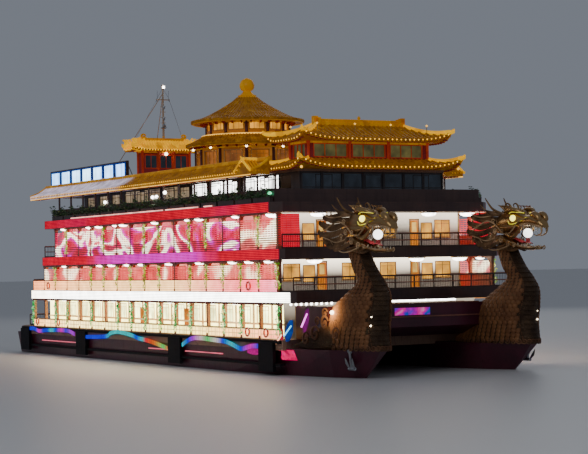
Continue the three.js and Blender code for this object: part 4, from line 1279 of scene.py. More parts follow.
class Trees:
    """Node trees that repeat a shape along a line, run bars along edges and set shapes on points."""

    def __init__(self) -> None:
        """Builds the three trees."""
        self.repeat = self._repeat()
        self.bars = self._bars()
        self.scatter = self._scatter()

    @staticmethod
    def _start(name: str, inputs: dict[str, Socket]) -> tuple[Tree, Node, Node]:
        """Makes a tree with its input and output nodes.

        Args:
            name: the tree's name.
            inputs: name and kind of each input after the geometry.

        Returns:
            The tree, its input node and its output node.
        """
        tree = bpy.data.node_groups.new(name, "GeometryNodeTree")
        tree.interface.new_socket("Geometry", in_out="INPUT", socket_type="NodeSocketGeometry")
        for label, kind in inputs.items():
            tree.interface.new_socket(label, in_out="INPUT", socket_type=kind.value)
        tree.interface.new_socket("Geometry", in_out="OUTPUT", socket_type="NodeSocketGeometry")
        return tree, tree.nodes.new("NodeGroupInput"), tree.nodes.new("NodeGroupOutput")

    @staticmethod
    def _join(tree: Tree, *links: tuple[Feed, Feed]) -> None:
        """Links each output to its input."""
        for source, target in links:
            tree.links.new(source, target)

    def _end(self, tree: Tree, source: Node, result: Node, geometry: Feed) -> Tree:
        """Realizes the instances, sets the material, joins the output and returns the tree.

        Args:
            tree: the node group.
            source: its input node.
            result: its output node.
            geometry: what it made.

        Returns:
            The node group.
        """
        solid = tree.nodes.new("GeometryNodeRealizeInstances")
        paint = tree.nodes.new("GeometryNodeSetMaterial")
        self._join(
            tree, (geometry, solid.inputs[0]), (solid.outputs[0], paint.inputs["Geometry"]),
            (source.outputs["Finish"], paint.inputs["Material"]), (paint.outputs[0], result.inputs[0]),
        )
        return tree

    def _repeat(self) -> Tree:
        """Returns a tree that repeats the geometry in even steps.

        Returns:
            The node group.
        """
        tree, source, result = self._start(
            "repeat_along_line", {"Count": Socket.COUNT, "Step": Socket.VECTOR, "Finish": Socket.MATERIAL}
        )
        line = tree.nodes.new("GeometryNodeMeshLine")
        line.mode = "OFFSET"
        spread = tree.nodes.new("GeometryNodeInstanceOnPoints")
        self._join(
            tree, (source.outputs["Count"], line.inputs["Count"]), (source.outputs["Step"], line.inputs["Offset"]),
            (line.outputs[0], spread.inputs["Points"]), (source.outputs["Geometry"], spread.inputs["Instance"]),
        )
        return self._end(tree, source, result, spread.outputs[0])

    def _bars(self) -> Tree:
        """Returns a tree that turns loose edges into round bars.

        Returns:
            The node group.
        """
        tree, source, result = self._start(
            "bars_along_edges", {"Radius": Socket.NUMBER, "Sides": Socket.COUNT, "Finish": Socket.MATERIAL}
        )
        curve = tree.nodes.new("GeometryNodeMeshToCurve")
        ring = tree.nodes.new("GeometryNodeCurvePrimitiveCircle")
        sweep = tree.nodes.new("GeometryNodeCurveToMesh")
        sweep.inputs["Fill Caps"].default_value = True
        self._join(
            tree, (source.outputs["Geometry"], curve.inputs[0]), (source.outputs["Radius"], ring.inputs["Radius"]),
            (source.outputs["Sides"], ring.inputs["Resolution"]), (curve.outputs[0], sweep.inputs["Curve"]),
            (ring.outputs[0], sweep.inputs["Profile Curve"]),
        )
        return self._end(tree, source, result, sweep.outputs[0])

    def _scatter(self) -> Tree:
        """Returns a tree that sets a shape on each point, turned by the attributes facing and heading.

        Returns:
            The node group.
        """
        tree, source, result = self._start(
            "shape_on_points", {"Shape": Socket.OBJECT, "Finish": Socket.MATERIAL}
        )
        shape = tree.nodes.new("GeometryNodeObjectInfo")
        spread = tree.nodes.new("GeometryNodeInstanceOnPoints")
        size = self._attribute(tree, "size", "FLOAT")
        turn = None
        for axis, pivot, label in (("Z", "AUTO", "facing"), ("X", "Z", "heading")):
            align = tree.nodes.new("FunctionNodeAlignRotationToVector")
            align.axis = axis
            align.pivot_axis = pivot
            tree.links.new(self._attribute(tree, label, "FLOAT_VECTOR"), align.inputs["Vector"])
            if turn is not None:
                tree.links.new(turn, align.inputs["Rotation"])
            turn = align.outputs[0]
        self._join(
            tree, (source.outputs["Shape"], shape.inputs["Object"]),
            (source.outputs["Geometry"], spread.inputs["Points"]),
            (shape.outputs["Geometry"], spread.inputs["Instance"]),
            (turn, spread.inputs["Rotation"]), (size, spread.inputs["Scale"]),
        )
        return self._end(tree, source, result, spread.outputs[0])

    @staticmethod
    def _attribute(tree: Tree, name: str, kind: str) -> Feed:
        """Returns the output of a named attribute.

        Args:
            tree: the node group.
            name: the attribute's name.
            kind: its data type.

        Returns:
            The output.
        """
        made = tree.nodes.new("GeometryNodeInputNamedAttribute")
        made.data_type = kind
        made.inputs["Name"].default_value = name
        return made.outputs["Attribute"]

    @staticmethod
    def run(made: Piece, tree: Tree, values: dict[str, object]) -> Piece:
        """Runs a tree on an object and keeps the result as a plain mesh.

        Args:
            made: the object that holds the tree's geometry.
            tree: the tree.
            values: the tree's inputs by name.

        Returns:
            The same object with its new mesh.
        """
        step = made.modifiers.new(tree.name, "NODES")
        step.node_group = tree
        for item in tree.interface.items_tree:
            if item.in_out == "INPUT" and item.name in values:
                step[item.identifier] = values[item.name]
        view = bpy.context.evaluated_depsgraph_get()
        built = bpy.data.meshes.new_from_object(made.evaluated_get(view))
        made.modifiers.remove(step)
        old = made.data
        made.data = built
        built.name = made.name
        bpy.data.meshes.remove(old)
        return made


def repeat(sketch: Sketch, name: str, finish: Finish, count: int, step: Point, smooth: float = 0.0) -> Piece:
    """Repeats a sketch in even steps as one piece.

    Args:
        sketch: the shape.
        name: the piece's name.
        finish: its finish.
        count: number of copies.
        step: way from one copy to the next, in full-size metres.
        smooth: largest angle in degrees between faces that are shaded as one.

    Returns:
        The piece.
    """
    made = sketch.mesh(name)
    values = {"Count": count, "Step": tuple(value * SCALE for value in step), "Finish": finish.material()}
    Trees.run(made, TREES.repeat, values)
    return settle(made, finish, smooth=smooth)


def bars(lines: Sequence[Line], name: str, finish: Finish, radius: float, sides: int = 6) -> Piece:
    """Runs round bars along lines as one piece.

    Args:
        lines: the lines, each a row of points.
        name: the piece's name.
        finish: its finish.
        radius: radius of the bars.
        sides: number of sides of a bar.

    Returns:
        The piece.
    """
    points: list[tuple[float, ...]] = []
    edges: list[tuple[int, int]] = []
    for line in lines:
        start = len(points)
        points.extend(tuple(value * SCALE for value in point) for point in line)
        edges.extend((start + k, start + k + 1) for k in range(len(line) - 1))
    data = bpy.data.meshes.new(name)
    data.from_pydata(points, edges, [])
    made = placed(name, data)
    Trees.run(made, TREES.bars, {"Radius": radius * SCALE, "Sides": sides, "Finish": finish.material()})
    return settle(made, finish, smooth=50.0)


@dataclass
class Spots:
    """Points that each take a copy of one shape, with the way that it faces and heads."""

    places: list[Point] = field(default_factory=list)
    facings: list[Point] = field(default_factory=list)
    headings: list[Point] = field(default_factory=list)
    sizes: list[float] = field(default_factory=list)

    def add(self, place: Row, facing: Row, heading: Row, size: float = 1.0) -> None:
        """Adds a point.

        Args:
            place: where it lies.
            facing: where the shape's Z points.
            heading: where the shape's X points as far as it can.
            size: scale of the shape.
        """
        self.places.append(tuple(value * SCALE for value in place))
        self.facings.append(tuple(facing))
        self.headings.append(tuple(heading))
        self.sizes.append(size)

    def piece(self, shape: Sketch, name: str, finish: Finish, smooth: float = 40.0) -> Piece:
        """Sets the shape on each point as one piece.

        Args:
            shape: the shape, about the origin.
            name: the piece's name.
            finish: its finish.
            smooth: largest angle in degrees between faces that are shaded as one.

        Returns:
            The piece.
        """
        pattern = shape.mesh(name + "_pattern")
        data = bpy.data.meshes.new(name)
        data.from_pydata(self.places, [], [])
        for label, values in (("facing", self.facings), ("heading", self.headings)):
            layer = data.attributes.new(label, "FLOAT_VECTOR", "POINT")
            layer.data.foreach_set("vector", [value for row in values for value in row])
        data.attributes.new("size", "FLOAT", "POINT").data.foreach_set("value", self.sizes)
        made = placed(name, data)
        Trees.run(made, TREES.scatter, {"Shape": pattern, "Finish": finish.material()})
        bpy.data.objects.remove(pattern)
        return settle(made, finish, smooth=smooth)


@dataclass
class Studio:
    """Floor at the waterline, soft lamps and the camera at the photograph's viewing angle.

    Args:
        eye: place of the camera, in model metres.
        yaw: direction of the view about Z, in degrees from X.
        pitch: its rise above the horizon.
        roll: its lean.
        lens: focal length in millimetres for a 36 mm sensor.
    """

    eye: Point = (67.4773, -36.7209, 4.16585)
    yaw: float = 150.108
    pitch: float = 1.313
    roll: float = -1.114
    lens: float = 104.12
    floor_half: float = 600.0
    far: float = 900.0

    def build(self) -> None:
        """Builds the floor, the lamps and the camera."""
        self._floor()
        self._lamps()
        self._camera()

    def _floor(self) -> None:
        """Lays the pale floor at the waterline."""
        data = bpy.data.meshes.new("studio_floor")
        reach = self.floor_half
        corners = [(-reach, -reach, 0.0), (reach, -reach, 0.0), (reach, reach, 0.0), (-reach, reach, 0.0)]
        data.from_pydata(corners, [], [(0, 1, 2, 3)])
        floor = placed("studio_floor", data)
        net = Net("studio_floor")
        net.shade(colour=(0.62, 0.62, 0.62), roughness=0.45)
        data.materials.append(net.material)

    @staticmethod
    def _lamps() -> None:
        """Sets the soft sky and two large soft lamps."""
        world = bpy.data.worlds.new("studio")
        bpy.context.scene.world = world
        world.use_nodes = True
        world.node_tree.nodes["Background"].inputs["Color"].default_value = (0.6, 0.66, 0.78, 1.0)
        world.node_tree.nodes["Background"].inputs["Strength"].default_value = 0.3
        for name, place, size, power in (
            ("key", (45.0, -50.0, 40.0), 30.0, 6500.0),
            ("fill", (-50.0, 40.0, 35.0), 40.0, 4000.0),
        ):
            lamp = bpy.data.lights.new(name, "AREA")
            lamp.size = size
            lamp.energy = power
            holder = placed(name, lamp)
            holder.location = place
            holder.rotation_euler = (-Vector(place)).to_track_quat("-Z", "Y").to_euler()

    def _camera(self) -> None:
        """Sets the camera."""
        yaw, pitch, roll = (math.radians(value) for value in (self.yaw, self.pitch, self.roll))
        ahead = Vector((math.cos(pitch) * math.cos(yaw), math.cos(pitch) * math.sin(yaw), math.sin(pitch)))
        level = ahead.cross(Vector((0, 0, 1))).normalized()
        above = level.cross(ahead)
        right = math.cos(roll) * level + math.sin(roll) * above
        top = -math.sin(roll) * level + math.cos(roll) * above
        data = bpy.data.cameras.new("camera")
        data.lens = self.lens
        data.sensor_width = 36.0
        data.clip_end = self.far
        camera = placed("camera", data)
        turn = Matrix((right, top, -ahead)).transposed().to_4x4()
        camera.matrix_world = Matrix.Translation(Vector(self.eye)) @ turn
        bpy.context.scene.camera = camera


FRAME: dict[str, object] = {}
TREES: Trees


@dataclass
class Decks:
    """Deck edges with their light boards, ceilings and floor boards.

    Args:
        pitch: height from one row of lights to the next.
        tube: radius of a row.
        proud: thickness of the board behind the rows.
        back: brightness of the board as a share of the rows'.
    """

    pitch: float = 0.135
    tube: float = 0.04
    proud: float = 0.02
    back: float = 0.45

    def build(self) -> None:
        """Dresses the deck slabs and builds the light boards on their sides."""
        dress(Finishes.deck, "main_deck", "roof_deck")
        dress(Finishes.brown, "deck_1", "deck_2", "deck_3")
        boards = (
            ("1", (-28.9, 24.25), (5.55, 6.35), Finishes.board_1, Finishes.white),
            ("2", (-25.75, 22.65), (8.86, 9.65), Finishes.board_2, Finishes.rose),
            ("3", (-25.0, 21.15), (12.5, 13.26), Finishes.board_3, Finishes.rose),
        )
        for label, x, z, light, paint in boards:
            self._board(label, x, z, light, paint)
        self._edge_tube()

    def _board(self, label: str, x: Span, z: Span, light: Show, paint: Finish) -> None:
        """Builds one band: a backing board with rows of lights.

        Args:
            label: the deck's number.
            x: how far the band reaches aft and forward.
            z: its height.
            light: finish of the rows.
            paint: finish of the trims.
        """
        face = HALF_BEAM + self.proud
        back = replace(light, name=f"{light.name}_back", strength=light.strength * self.back)
        Sketch().box(x, (HALF_BEAM + 0.001, face), z).mirrored().piece(f"light_board_{label}", back)
        rows = round((z[1] - z[0]) / self.pitch)
        height = z[0] + (z[1] - z[0] - (rows - 1) * self.pitch) / 2
        row = Sketch().tube([(x[0], face, height), (x[1], face, height)], self.tube, 6).mirrored()
        repeat(row, f"light_rows_{label}", light, rows, (0.0, 0.0, self.pitch), 60.0)
        trim = Sketch()
        for edge in z:
            trim.block(((x[0] + x[1]) / 2, HALF_BEAM + 0.03, edge), (x[1] - x[0], 0.06, 0.045))
        for end in x:
            trim.block((end, HALF_BEAM + 0.03, (z[0] + z[1]) / 2), (0.06, 0.06, z[1] - z[0]))
        trim.mirrored().piece(f"board_trim_{label}", paint)

    def _edge_tube(self) -> None:
        """Lays the white tubes on the top edge of the third deck."""
        runs = ((-18.5, -13.2), (-13.0, -7.6), (-7.4, -2.2), (-2.0, 2.1), (2.7, 8.9), (10.0, 11.4))
        lines = [[(a, side * 10.13, 13.36), (b, side * 10.13, 13.36)] for a, b in runs for side in (-1, 1)]
        bars(lines, "edge_tubes", Finishes.edge_tube, 0.05, 8)


def level_way(angle: float) -> Point:
    """Returns the level direction at an angle from X."""
    return math.cos(angle), math.sin(angle), 0.0


def smoothed(rows: Line, parts: int) -> list[tuple[float, ...]]:
    """Returns rows of numbers with more rows set smoothly between them.

    Args:
        rows: the given rows, which stay.
        parts: number of steps from one given row to the next.

    Returns:
        The longer list of rows.
    """
    made: list[tuple[float, ...]] = []
    for index in range(len(rows) - 1):
        before, here = rows[max(index - 1, 0)], rows[index]
        there, after = rows[index + 1], rows[min(index + 2, len(rows) - 1)]
        for step in range(parts):
            t = step / parts
            made.append(tuple(
                0.5 * (2 * b + (c - a) * t + (2 * a - 5 * b + 4 * c - d) * t * t + (3 * b - a - 3 * c + d) * t ** 3)
                for a, b, c, d in zip(before, here, there, after)
            ))
    made.append(tuple(rows[-1]))
    return made


def bay(index: int) -> Span:
    """Returns how far the gap between two side posts reaches, aft and forward."""
    return post_x(index + 1) + POST / 2, post_x(index) - POST / 2


@dataclass
class Colonnades:
    """Posts, low panels, light nets and garlands along the sides of the three lit levels.

    Args:
        pitch: height from one row of a light net to the next.
        tube: radius of a row.
        face: distance of the posts' outer face from the middle of the boat.
        leaf: height from one ring of garland leaves to the next.
    """

    pitch: float = 0.17
    tube: float = 0.045
    face: float = POST_Y + POST / 2
    leaf: float = 0.05

    def build(self) -> None:
        """Dresses the posts and builds what hangs on them."""
        names = [f"colonnade_{level}_{side}" for level in ("main", "1", "2") for side in SIDES]
        dress(Finishes.post, *names)
        self._panels()
        self._slats()
        self._net("1", (7.46, 8.42), 0, 16, Finishes.curtain_1)
        self._net("2_fore", (9.74, 11.95), 0, 2, Finishes.curtain_1)
        self._net("2", (9.74, 11.95), 2, 13, Finishes.curtain_2)
        self._corner_nets()
        self._mouldings()
        self._garlands("main", MAIN, {1, 4, 11, 13, 16}, Finishes.garland)
        self._garlands("1", FIRST, {6, 13, 14, 16, 17}, Finishes.gold_garland)
        self._garlands("2", SECOND, {0, 2, 3, 6, 9, 10, 12, 13, 15}, Finishes.gold_garland)
        self._lamps()
        self._lifebuoys()

    def _panels(self) -> None:
        """Sets a framed, softly lit panel between each two posts of the main deck."""
        (x0, x1), y = bay(0), self.face
        Sketch().box((post_x(17), post_x(0)), (y + 0.002, y + 0.012), (2.8, 3.46)).mirrored().piece(
            "main_panels", Finishes.panel)
        frame = Sketch()
        for z in (2.8, 3.12, 3.46):
            frame.block(((x0 + x1) / 2, y + 0.015, z), (x1 - x0, 0.05, 0.06))
        for k in range(5):
            frame.block((x0 + 0.03 + k * (x1 - x0 - 0.06) / 4, y + 0.015, 3.13), (0.06, 0.05, 0.66))
        repeat(frame.mirrored(), "main_panel_frames", Finishes.lit_frame, 17, (-BAY, 0, 0))
        cap = Sketch().block(((post_x(17) + post_x(0)) / 2, POST_Y, 3.53), (post_x(0) - post_x(17), 0.36, 0.07))
        cap.mirrored().piece("main_panel_caps", Finishes.rubbing, bevel=0.008)

    def _slats(self) -> None:
        """Sets pale slats and a dark cap on the first deck's low bulwark."""
        (x0, x1), y = bay(0), self.face
        slats = Sketch()
        for k in range(6):
            slats.block(((x0 + x1) / 2, y + 0.02, 6.46 + k * 0.155), (x1 - x0, 0.05, 0.115))
        repeat(slats.mirrored(), "bulwark_slats", Finishes.slats_1, 17, (-BAY, 0, 0))
        cap = Sketch().block(((post_x(17) + post_x(0)) / 2, POST_Y, 7.35), (post_x(0) - post_x(17), 0.38, 0.07))
        cap.mirrored().piece("bulwark_caps", Finishes.rubbing, bevel=0.008)

    def _net(self, label: str, z: Span, first: int, bays: int, finish: Finish) -> None:
        """Hangs a net of light rows between the posts.

        Args:
            label: the deck's number.
            z: height of the lowest and the highest row.
            first: foremost bay, counted from the bow.
            bays: number of bays.
            finish: the lights' finish.
        """
        (x0, x1), y = bay(first), self.face - 0.02
        net = Sketch()
        rows = round((z[1] - z[0]) / self.pitch) + 1
        for k in range(rows):
            height = z[0] + k * (z[1] - z[0]) / (rows - 1)
            net.tube([(x0, y, height), (x1, y, height)], self.tube, 6)
        for k in range(1, 6):
            x = x0 + k * (x1 - x0) / 6
            net.box((x - 0.012, x + 0.012), (y - 0.012, y + 0.012), z)
        repeat(net.mirrored(), f"light_net_{label}", finish, bays, (-BAY, 0, 0), 60.0)

    def _corner_nets(self) -> None:
        """Hangs a net of red rows round each front corner of the second deck."""
        net, x = Sketch(), FRONT_POST_X + 0.1
        low, high, near, far = 9.74, 12.3, self.face - 0.05, 8.2
        sheet = Sketch().box((x - 0.08, x - 0.05), (far, near), (low, high))
        sheet.mirrored().piece("light_net_2_corner_backs", Finishes.corner_back)
        rows = round((high - low) / self.pitch) + 1
        for k in range(rows):
            z = low + k * (high - low) / (rows - 1)
            net.tube([(x, near, z), (x, far, z)], self.tube, 6)
        for k in range(6):
            y = far + k * (near - far) / 5
            net.box((x - 0.03, x - 0.005), (y - 0.015, y + 0.015), (low, high))
        net.mirrored().piece("light_net_2_corners", Finishes.board_3, smooth=60)

    def _mouldings(self) -> None:
        """Puts a base and a capital on every post."""
        for label, level in (("main", MAIN), ("1", FIRST), ("2", SECOND)):
            mould = Sketch()
            for z, out, high in (
                (level.floor + 0.1, 0.045, 0.2), (level.floor + 0.22, 0.025, 0.05),
                (level.ceiling - 0.26, 0.03, 0.05), (level.ceiling - 0.1, 0.05, 0.18),
            ):
                mould.block((FRONT_POST_X, POST_Y, z), (POST + 2 * out, POST + 2 * out, high))
            count = 16 if label == "2" else 18 if label == "main" else 17
            repeat(mould.mirrored(), f"post_mouldings_{label}", Finishes.post, count, (-BAY, 0, 0))

    def _garlands(self, label: str, level: Level, bare: set[int], light: Finish) -> None:
        """Winds lit leaves round the posts.

        Args:
            label: the level's name.
            level: the level.
            bare: posts without leaves, counted from the bow.
            light: the leaves' finish.
        """
        chance = random.Random(17 + len(bare))
        spots = Spots()
        for index in sorted(set(range(level.posts)) - bare):
            for side in SIDES.values():
                rings = int((level.ceiling - level.floor - 0.5) / self.leaf)
                for ring in range(rings):
                    thick = 0.75 + 0.35 * math.sin(ring * 0.33 + index)
                    for _ in range(2):
                        turn = chance.uniform(-1.5, 1.5)
                        reach = 0.23 * thick * chance.uniform(0.6, 1.25)
                        sway, out = math.sin(turn), math.cos(turn)
                        spots.add(
                            (post_x(index) + 1.25 * reach * sway, side * (self.face + 0.7 * reach * out),
                             level.floor + 0.3 + (ring + chance.random()) * self.leaf),
                            (sway + chance.uniform(-0.5, 0.5), side * out, chance.uniform(-0.6, 0.6)),
                            (chance.uniform(-1, 1), chance.uniform(-0.3, 0.3), chance.uniform(-1, 0.3)),
                            chance.uniform(1.0, 1.9),
                        )
        rim = [(-0.03, 0, 0), (0.03, -0.035, 0.012), (0.035, 0, -0.004), (0.03, 0.035, 0.012), (0.12, 0, 0.02)]
        leaf = Sketch().add(rim, LEAF_FACES)
        spots.piece(leaf, f"garlands_{label}", light, 0.0)

    @staticmethod
    def _lamps() -> None:
        """Hangs bowl lamps under the ceilings of the side and front galleries."""
        second = (-20.5, -14.2, -12.0, -8.0, -6.5, 0.3, 6.9, 8.8, 15.4, 21.0)
        first = (-20.3, -11.8, -9.2, -5.6, -2.6, 3.0, 8.8, 14.6, 17.4, 20.6)
        front = 20.8
        places = [(x, side * (9.75 if x > front else 10.0), 12.42) for x in second for side in (-1, 1)]
        places += [(x, side * 10.0, 8.8) for x in first for side in (-1, 1)]
        places += [(20.9, y, SECOND.ceiling) for y in (-5.7, 0.4, 4.75, 8.55)]
        places += [(21.6, y, FIRST.ceiling) for y in (-6.5, -2.0, 3.0, 7.2)]
        places += [(x, side * 9.5, MAIN.ceiling) for x in range(-26, 22, 4) for side in (-1, 1)]
        spots = Spots()
        for place in places:
            spots.add(place, (0, 0, 1), (1, 0, 0), 1.7 if place[0] > front else 1.1)
        bowl = Sketch().lathe([(0.0, -0.2), (0.16, -0.19), (0.3, -0.14), (0.36, -0.06), (0.36, -0.03)], 0, 0, 20)
        spots.piece(bowl, "ceiling_lamps", Finishes.white_lamp, 50.0)
        rim = Sketch().lathe(
            [(0.3, -0.03), (0.4, -0.05), (0.42, -0.02), (0.42, -0.002), (0.3, -0.002)], 0, 0, 20, True)
        spots.piece(rim, "lamp_rims", Finishes.brass, 50.0)

    def _lifebuoys(self) -> None:
        """Hangs lifebuoys on the bulwarks."""
        places = [(x, 3.24) for x in (-27.4, -21.8, 17.4, 20.4)] + [(17.7, 6.84), (-24.3, 6.84)]
        rings, bands = Sketch(), Sketch()
        for x, z in places:
            rings.hoop((x, self.face + 0.13, z), 0.31, 0.075)
            for k in range(4):
                angle = math.radians(45 + 90 * k)
                bands.hoop_band((x, self.face + 0.13, z), 0.31, 0.082, angle)
        rings.mirrored().piece("lifebuoys", Finishes.lifebuoy, smooth=60)
        bands.mirrored().piece("lifebuoy_bands", Finishes.white, smooth=60)


@dataclass
class Houses:
    """The deckhouses: walls, window frames and panes, pilasters and doors.

    Args:
        bar: width of a frame bar.
        proud: how far frames stand out from the wall.
    """

    bar: float = 0.07
    proud: float = 0.045

    def build(self) -> None:
        """Dresses the walls and fills their windows."""
        dress(Finishes.wall_main, "house_main")
        dress(Finishes.wall_first, "house_1")
        dress(Finishes.wall_second, "house_2")
        dress(Finishes.dark, "house_3")
        dress(Finishes.door, "door_1_stbd", "door_1_port", "door_2_stbd", "door_2_port")
        self._side_windows("main", MAIN, 1, 15, Finishes.warm_pane, Finishes.lit_frame)
        self._side_windows("first", FIRST, 1, 15, Finishes.rose_pane, Finishes.frame)
        self._side_windows("second", SECOND, 1, 14, Finishes.red_pane, Finishes.frame)
        self._side_windows("third_fore", THIRD, 2, 5, Finishes.white_pane, Finishes.dark)
        self._side_windows("third_aft", THIRD, 7, 8, Finishes.room_pane, Finishes.dark)
        self._galley()
        self._end_windows("main", MAIN, (-7.2, -1.8, 1.8, 7.2), Finishes.warm_pane, Finishes.frame)
        self._end_windows("first", FIRST, (-7.2, -1.8, 1.8, 7.2), Finishes.hall_pane, Finishes.frame)
        self._end_windows("second", SECOND, (-7.2, -1.8, 1.8, 7.2), Finishes.hall_pane, Finishes.frame)
        self._end_windows("third", THIRD, (-4.6, 0.0, 4.6), Finishes.night_pane, Finishes.dark)
        self._transoms()
        self._doors()
        self._front()

    def _window(self, middle: float, half: float, y: float, z: Span, bars_across: int) -> tuple[Sketch, Sketch]:
        """Returns the frame and the pane of one side window.

        Args:
            middle: X of its middle.
            half: half its width.
            y: distance of the wall's outer face from the middle of the boat.
            z: its lower and upper edge.
            bars_across: number of upright bars.

        Returns:
            The frame and the pane.
        """
        frame = Sketch()
        out = (y - 0.1, y + self.proud)
        for edge in z:
            frame.box((middle - half - 0.03, middle + half + 0.03), out, (edge - self.bar / 2, edge + self.bar / 2))
        for end in (middle - half, middle + half):
            frame.box((end - self.bar / 2, end + self.bar / 2), out, z)
        thin = (y - 0.085, y - 0.035)
        for k in range(1, bars_across + 1):
            x = middle - half + 2 * half * k / (bars_across + 1)
            frame.box((x - 0.022, x + 0.022), thin, z)
        top = z[1] - 0.3
        frame.box((middle - half, middle + half), thin, (top - 0.022, top + 0.022))
        frame.box((middle - half - 0.1, middle + half + 0.1), (y, y + 0.09), (z[0] - 0.1, z[0] - 0.035))
        pane = Sketch().box((middle - half, middle + half), (y - 0.07, y - 0.05), z)
        return frame, pane

    def _side_windows(self, label: str, level: Level, first: int, count: int, glass: Finish, wood: Finish) -> None:
        """Fills a row of side windows on both sides.

        Args:
            label: name of the row.
            level: the level.
            first: bay of the foremost window.
            count: number of windows.
            glass: finish of the panes.
            wood: finish of the frames.
        """
        frame, pane = self._window(post_x(first) - BAY / 2, 0.95, level.half, level.sill, 2)
        step = (-BAY, 0.0, 0.0)
        repeat(frame.mirrored(), f"{label}_window_frames", wood, count, step)
        repeat(pane.mirrored(), f"{label}_window_panes", glass, count, step)
        if label != "third_aft":
            x, y = post_x(first), level.half
            post = Sketch().block((x, y + 0.02, (level.floor + level.ceiling) / 2),
                                  (0.3, 0.05, level.ceiling - level.floor - 0.1))
            for z in (level.floor + 0.12, level.ceiling - 0.12):
                post.block((x, y + 0.03, z), (0.42, 0.07, 0.16))
            repeat(post.mirrored(), f"{label}_pilasters", wood, count + 1, step)

    def _end_windows(self, label: str, level: Level, places: Row, glass: Finish, wood: Finish) -> None:
        """Fills the windows of the front and after walls.

        Args:
            label: name of the level.
            level: the level.
            places: Y of each window's middle.
            glass: finish of the panes.
            wood: finish of the frames.
        """
        frames, panes = Sketch(), Sketch()
        for x, out in ((level.house[0], -1), (level.house[1], 1)):
            for y in places:
                if out < 0 and y == 0.0:
                    continue
                depth = (x - out * 0.1, x + out * self.proud)
                thin = (x - out * 0.085, x - out * 0.035)
                for edge in level.sill:
                    frames.box(depth, (y - 0.78, y + 0.78), (edge - self.bar / 2, edge + self.bar / 2))
                for k in range(3):
                    middle = y - 0.75 + 0.75 * k
                    frames.box(thin if k == 1 else depth, (middle - 0.03, middle + 0.03), level.sill)
                frames.box(thin, (y - 0.75, y + 0.75), (level.sill[1] - 0.32, level.sill[1] - 0.28))
                frames.box((x, x + out * 0.09), (y - 0.85, y + 0.85), (level.sill[0] - 0.1, level.sill[0] - 0.035))
                panes.box((x - out * 0.07, x - out * 0.05), (y - 0.75, y + 0.75), level.sill)
        frames.piece(f"{label}_end_frames", wood)
        panes.piece(f"{label}_end_panes", glass)

    @staticmethod
    def _galley() -> None:
        """Sets the third deck's wide lit windows on its sides, dim ones aft and dark glazing in front."""
        lit, dim, night, frames = Sketch(), Sketch(), Sketch(), Sketch()
        y, x_front = THIRD.half, THIRD.house[1]
        for a, b, panes in ((1.2, 4.3, lit), (5.0, 8.8, lit), (11.0, 14.4, lit), (15.1, 16.8, lit),
                            (-8.6, -5.2, dim), (-4.4, -1.4, dim), (-12.8, -9.6, dim)):
            panes.box((a, b), (y + 0.005, y + 0.02), (14.25, 15.62))
            count = max(1, round((b - a) / 1.1))
            for k in range(count + 1):
                x = a + (b - a) * k / count
                frames.box((x - 0.03, x + 0.03), (y, y + 0.05), (14.2, 15.66))
            for z in (14.22, 15.3, 15.64):
                frames.box((a, b), (y, y + 0.05), (z - 0.03, z + 0.03))
        for k in range(7):
            middle = -5.76 + 1.92 * k
            night.box((x_front + 0.005, x_front + 0.02), (middle - 0.82, middle + 0.82), (13.75, 15.6))
            for edge in (middle - 0.9, middle + 0.9):
                frames.box((x_front, x_front + 0.1), (edge - 0.05, edge + 0.05), (13.4, 15.7))
        for z in (13.72, 14.5, 15.62):
            frames.box((x_front, x_front + 0.06), (-6.7, 6.7), (z - 0.04, z + 0.04))
        lit.mirrored().piece("galley_windows", Finishes.white_pane)
        dim.mirrored().piece("galley_dim_windows", Finishes.room_pane)
        night.piece("galley_front_windows", Finishes.night_pane)
        frames.mirrored().piece("galley_window_bars", Finishes.dark)

    @staticmethod
    def _transoms() -> None:
        """Runs a pale amber rail, a foot rail and a cornice along the main deck's walls, with a painted glow of lamp
        light, and sets the side doors.
        """
        (x0, x1), y = MAIN.house, MAIN.half
        rail = Sketch().block(((x0 + x1) / 2, y + 0.04, 3.83), (x1 - x0, 0.09, 0.16))
        rail.block(((x0 + x1) / 2, y + 0.03, 2.86), (x1 - x0, 0.07, 0.22))
        rail.block(((x0 + x1) / 2, y + 0.03, 5.4), (x1 - x0, 0.07, 0.14))
        rail.mirrored().piece("main_wall_rails", Finishes.lit_frame, bevel=0.006)
        doors = Sketch()
        for x in (-4.71, 4.26):
            doors.block((x, y + 0.05, 3.85), (0.86, 0.06, 2.1))
            for z in (3.3, 4.35):
                doors.block((x, y + 0.09, z), (0.6, 0.04, 0.8))
        doors.mirrored().piece("main_side_doors", Finishes.door, bevel=0.006)

    @staticmethod
    def _doors() -> None:
        """Puts panels, glass and a handle on each hinged door, so that they swing with it."""
        for number, level in (("1", FIRST), ("2", SECOND)):
            for name, side in SIDES.items():
                body = f"door_{number}_{name}"
                x, middle, foot = level.house[1], side * 4.43, level.floor + 0.062
                wood, glass, handle = Sketch(), Sketch(), Sketch()
                for low, high in ((0.12, 0.72), (0.84, 1.06), (1.18, 2.02)):
                    for edge in (low, high):
                        wood.block((x + 0.012, middle, foot + edge), (0.03, 0.56, 0.05))
                    for hand in (-1, 1):
                        wood.block((x + 0.012, middle + hand * 0.26, foot + (low + high) / 2), (0.03, 0.05, high - low))
                wood.block((x + 0.01, middle, foot + 0.42), (0.02, 0.4, 0.44))
                glass.block((x + 0.004, middle, foot + 1.6), (0.012, 0.5, 0.82))
                knob = middle - side * 0.3
                handle.tube([(x, knob, foot + 1.1), (x + 0.06, knob, foot + 1.1)], 0.02, 8)
                handle.tube([(x + 0.06, knob, foot + 0.98), (x + 0.06, knob, foot + 1.22)], 0.018, 8)
                wood.piece(f"{body}_panels", Finishes.door, body, bevel=0.004)
                glass.piece(f"{body}_glass", Finishes.door_pane, body)
                handle.piece(f"{body}_handle", Finishes.brass, body, smooth=40)

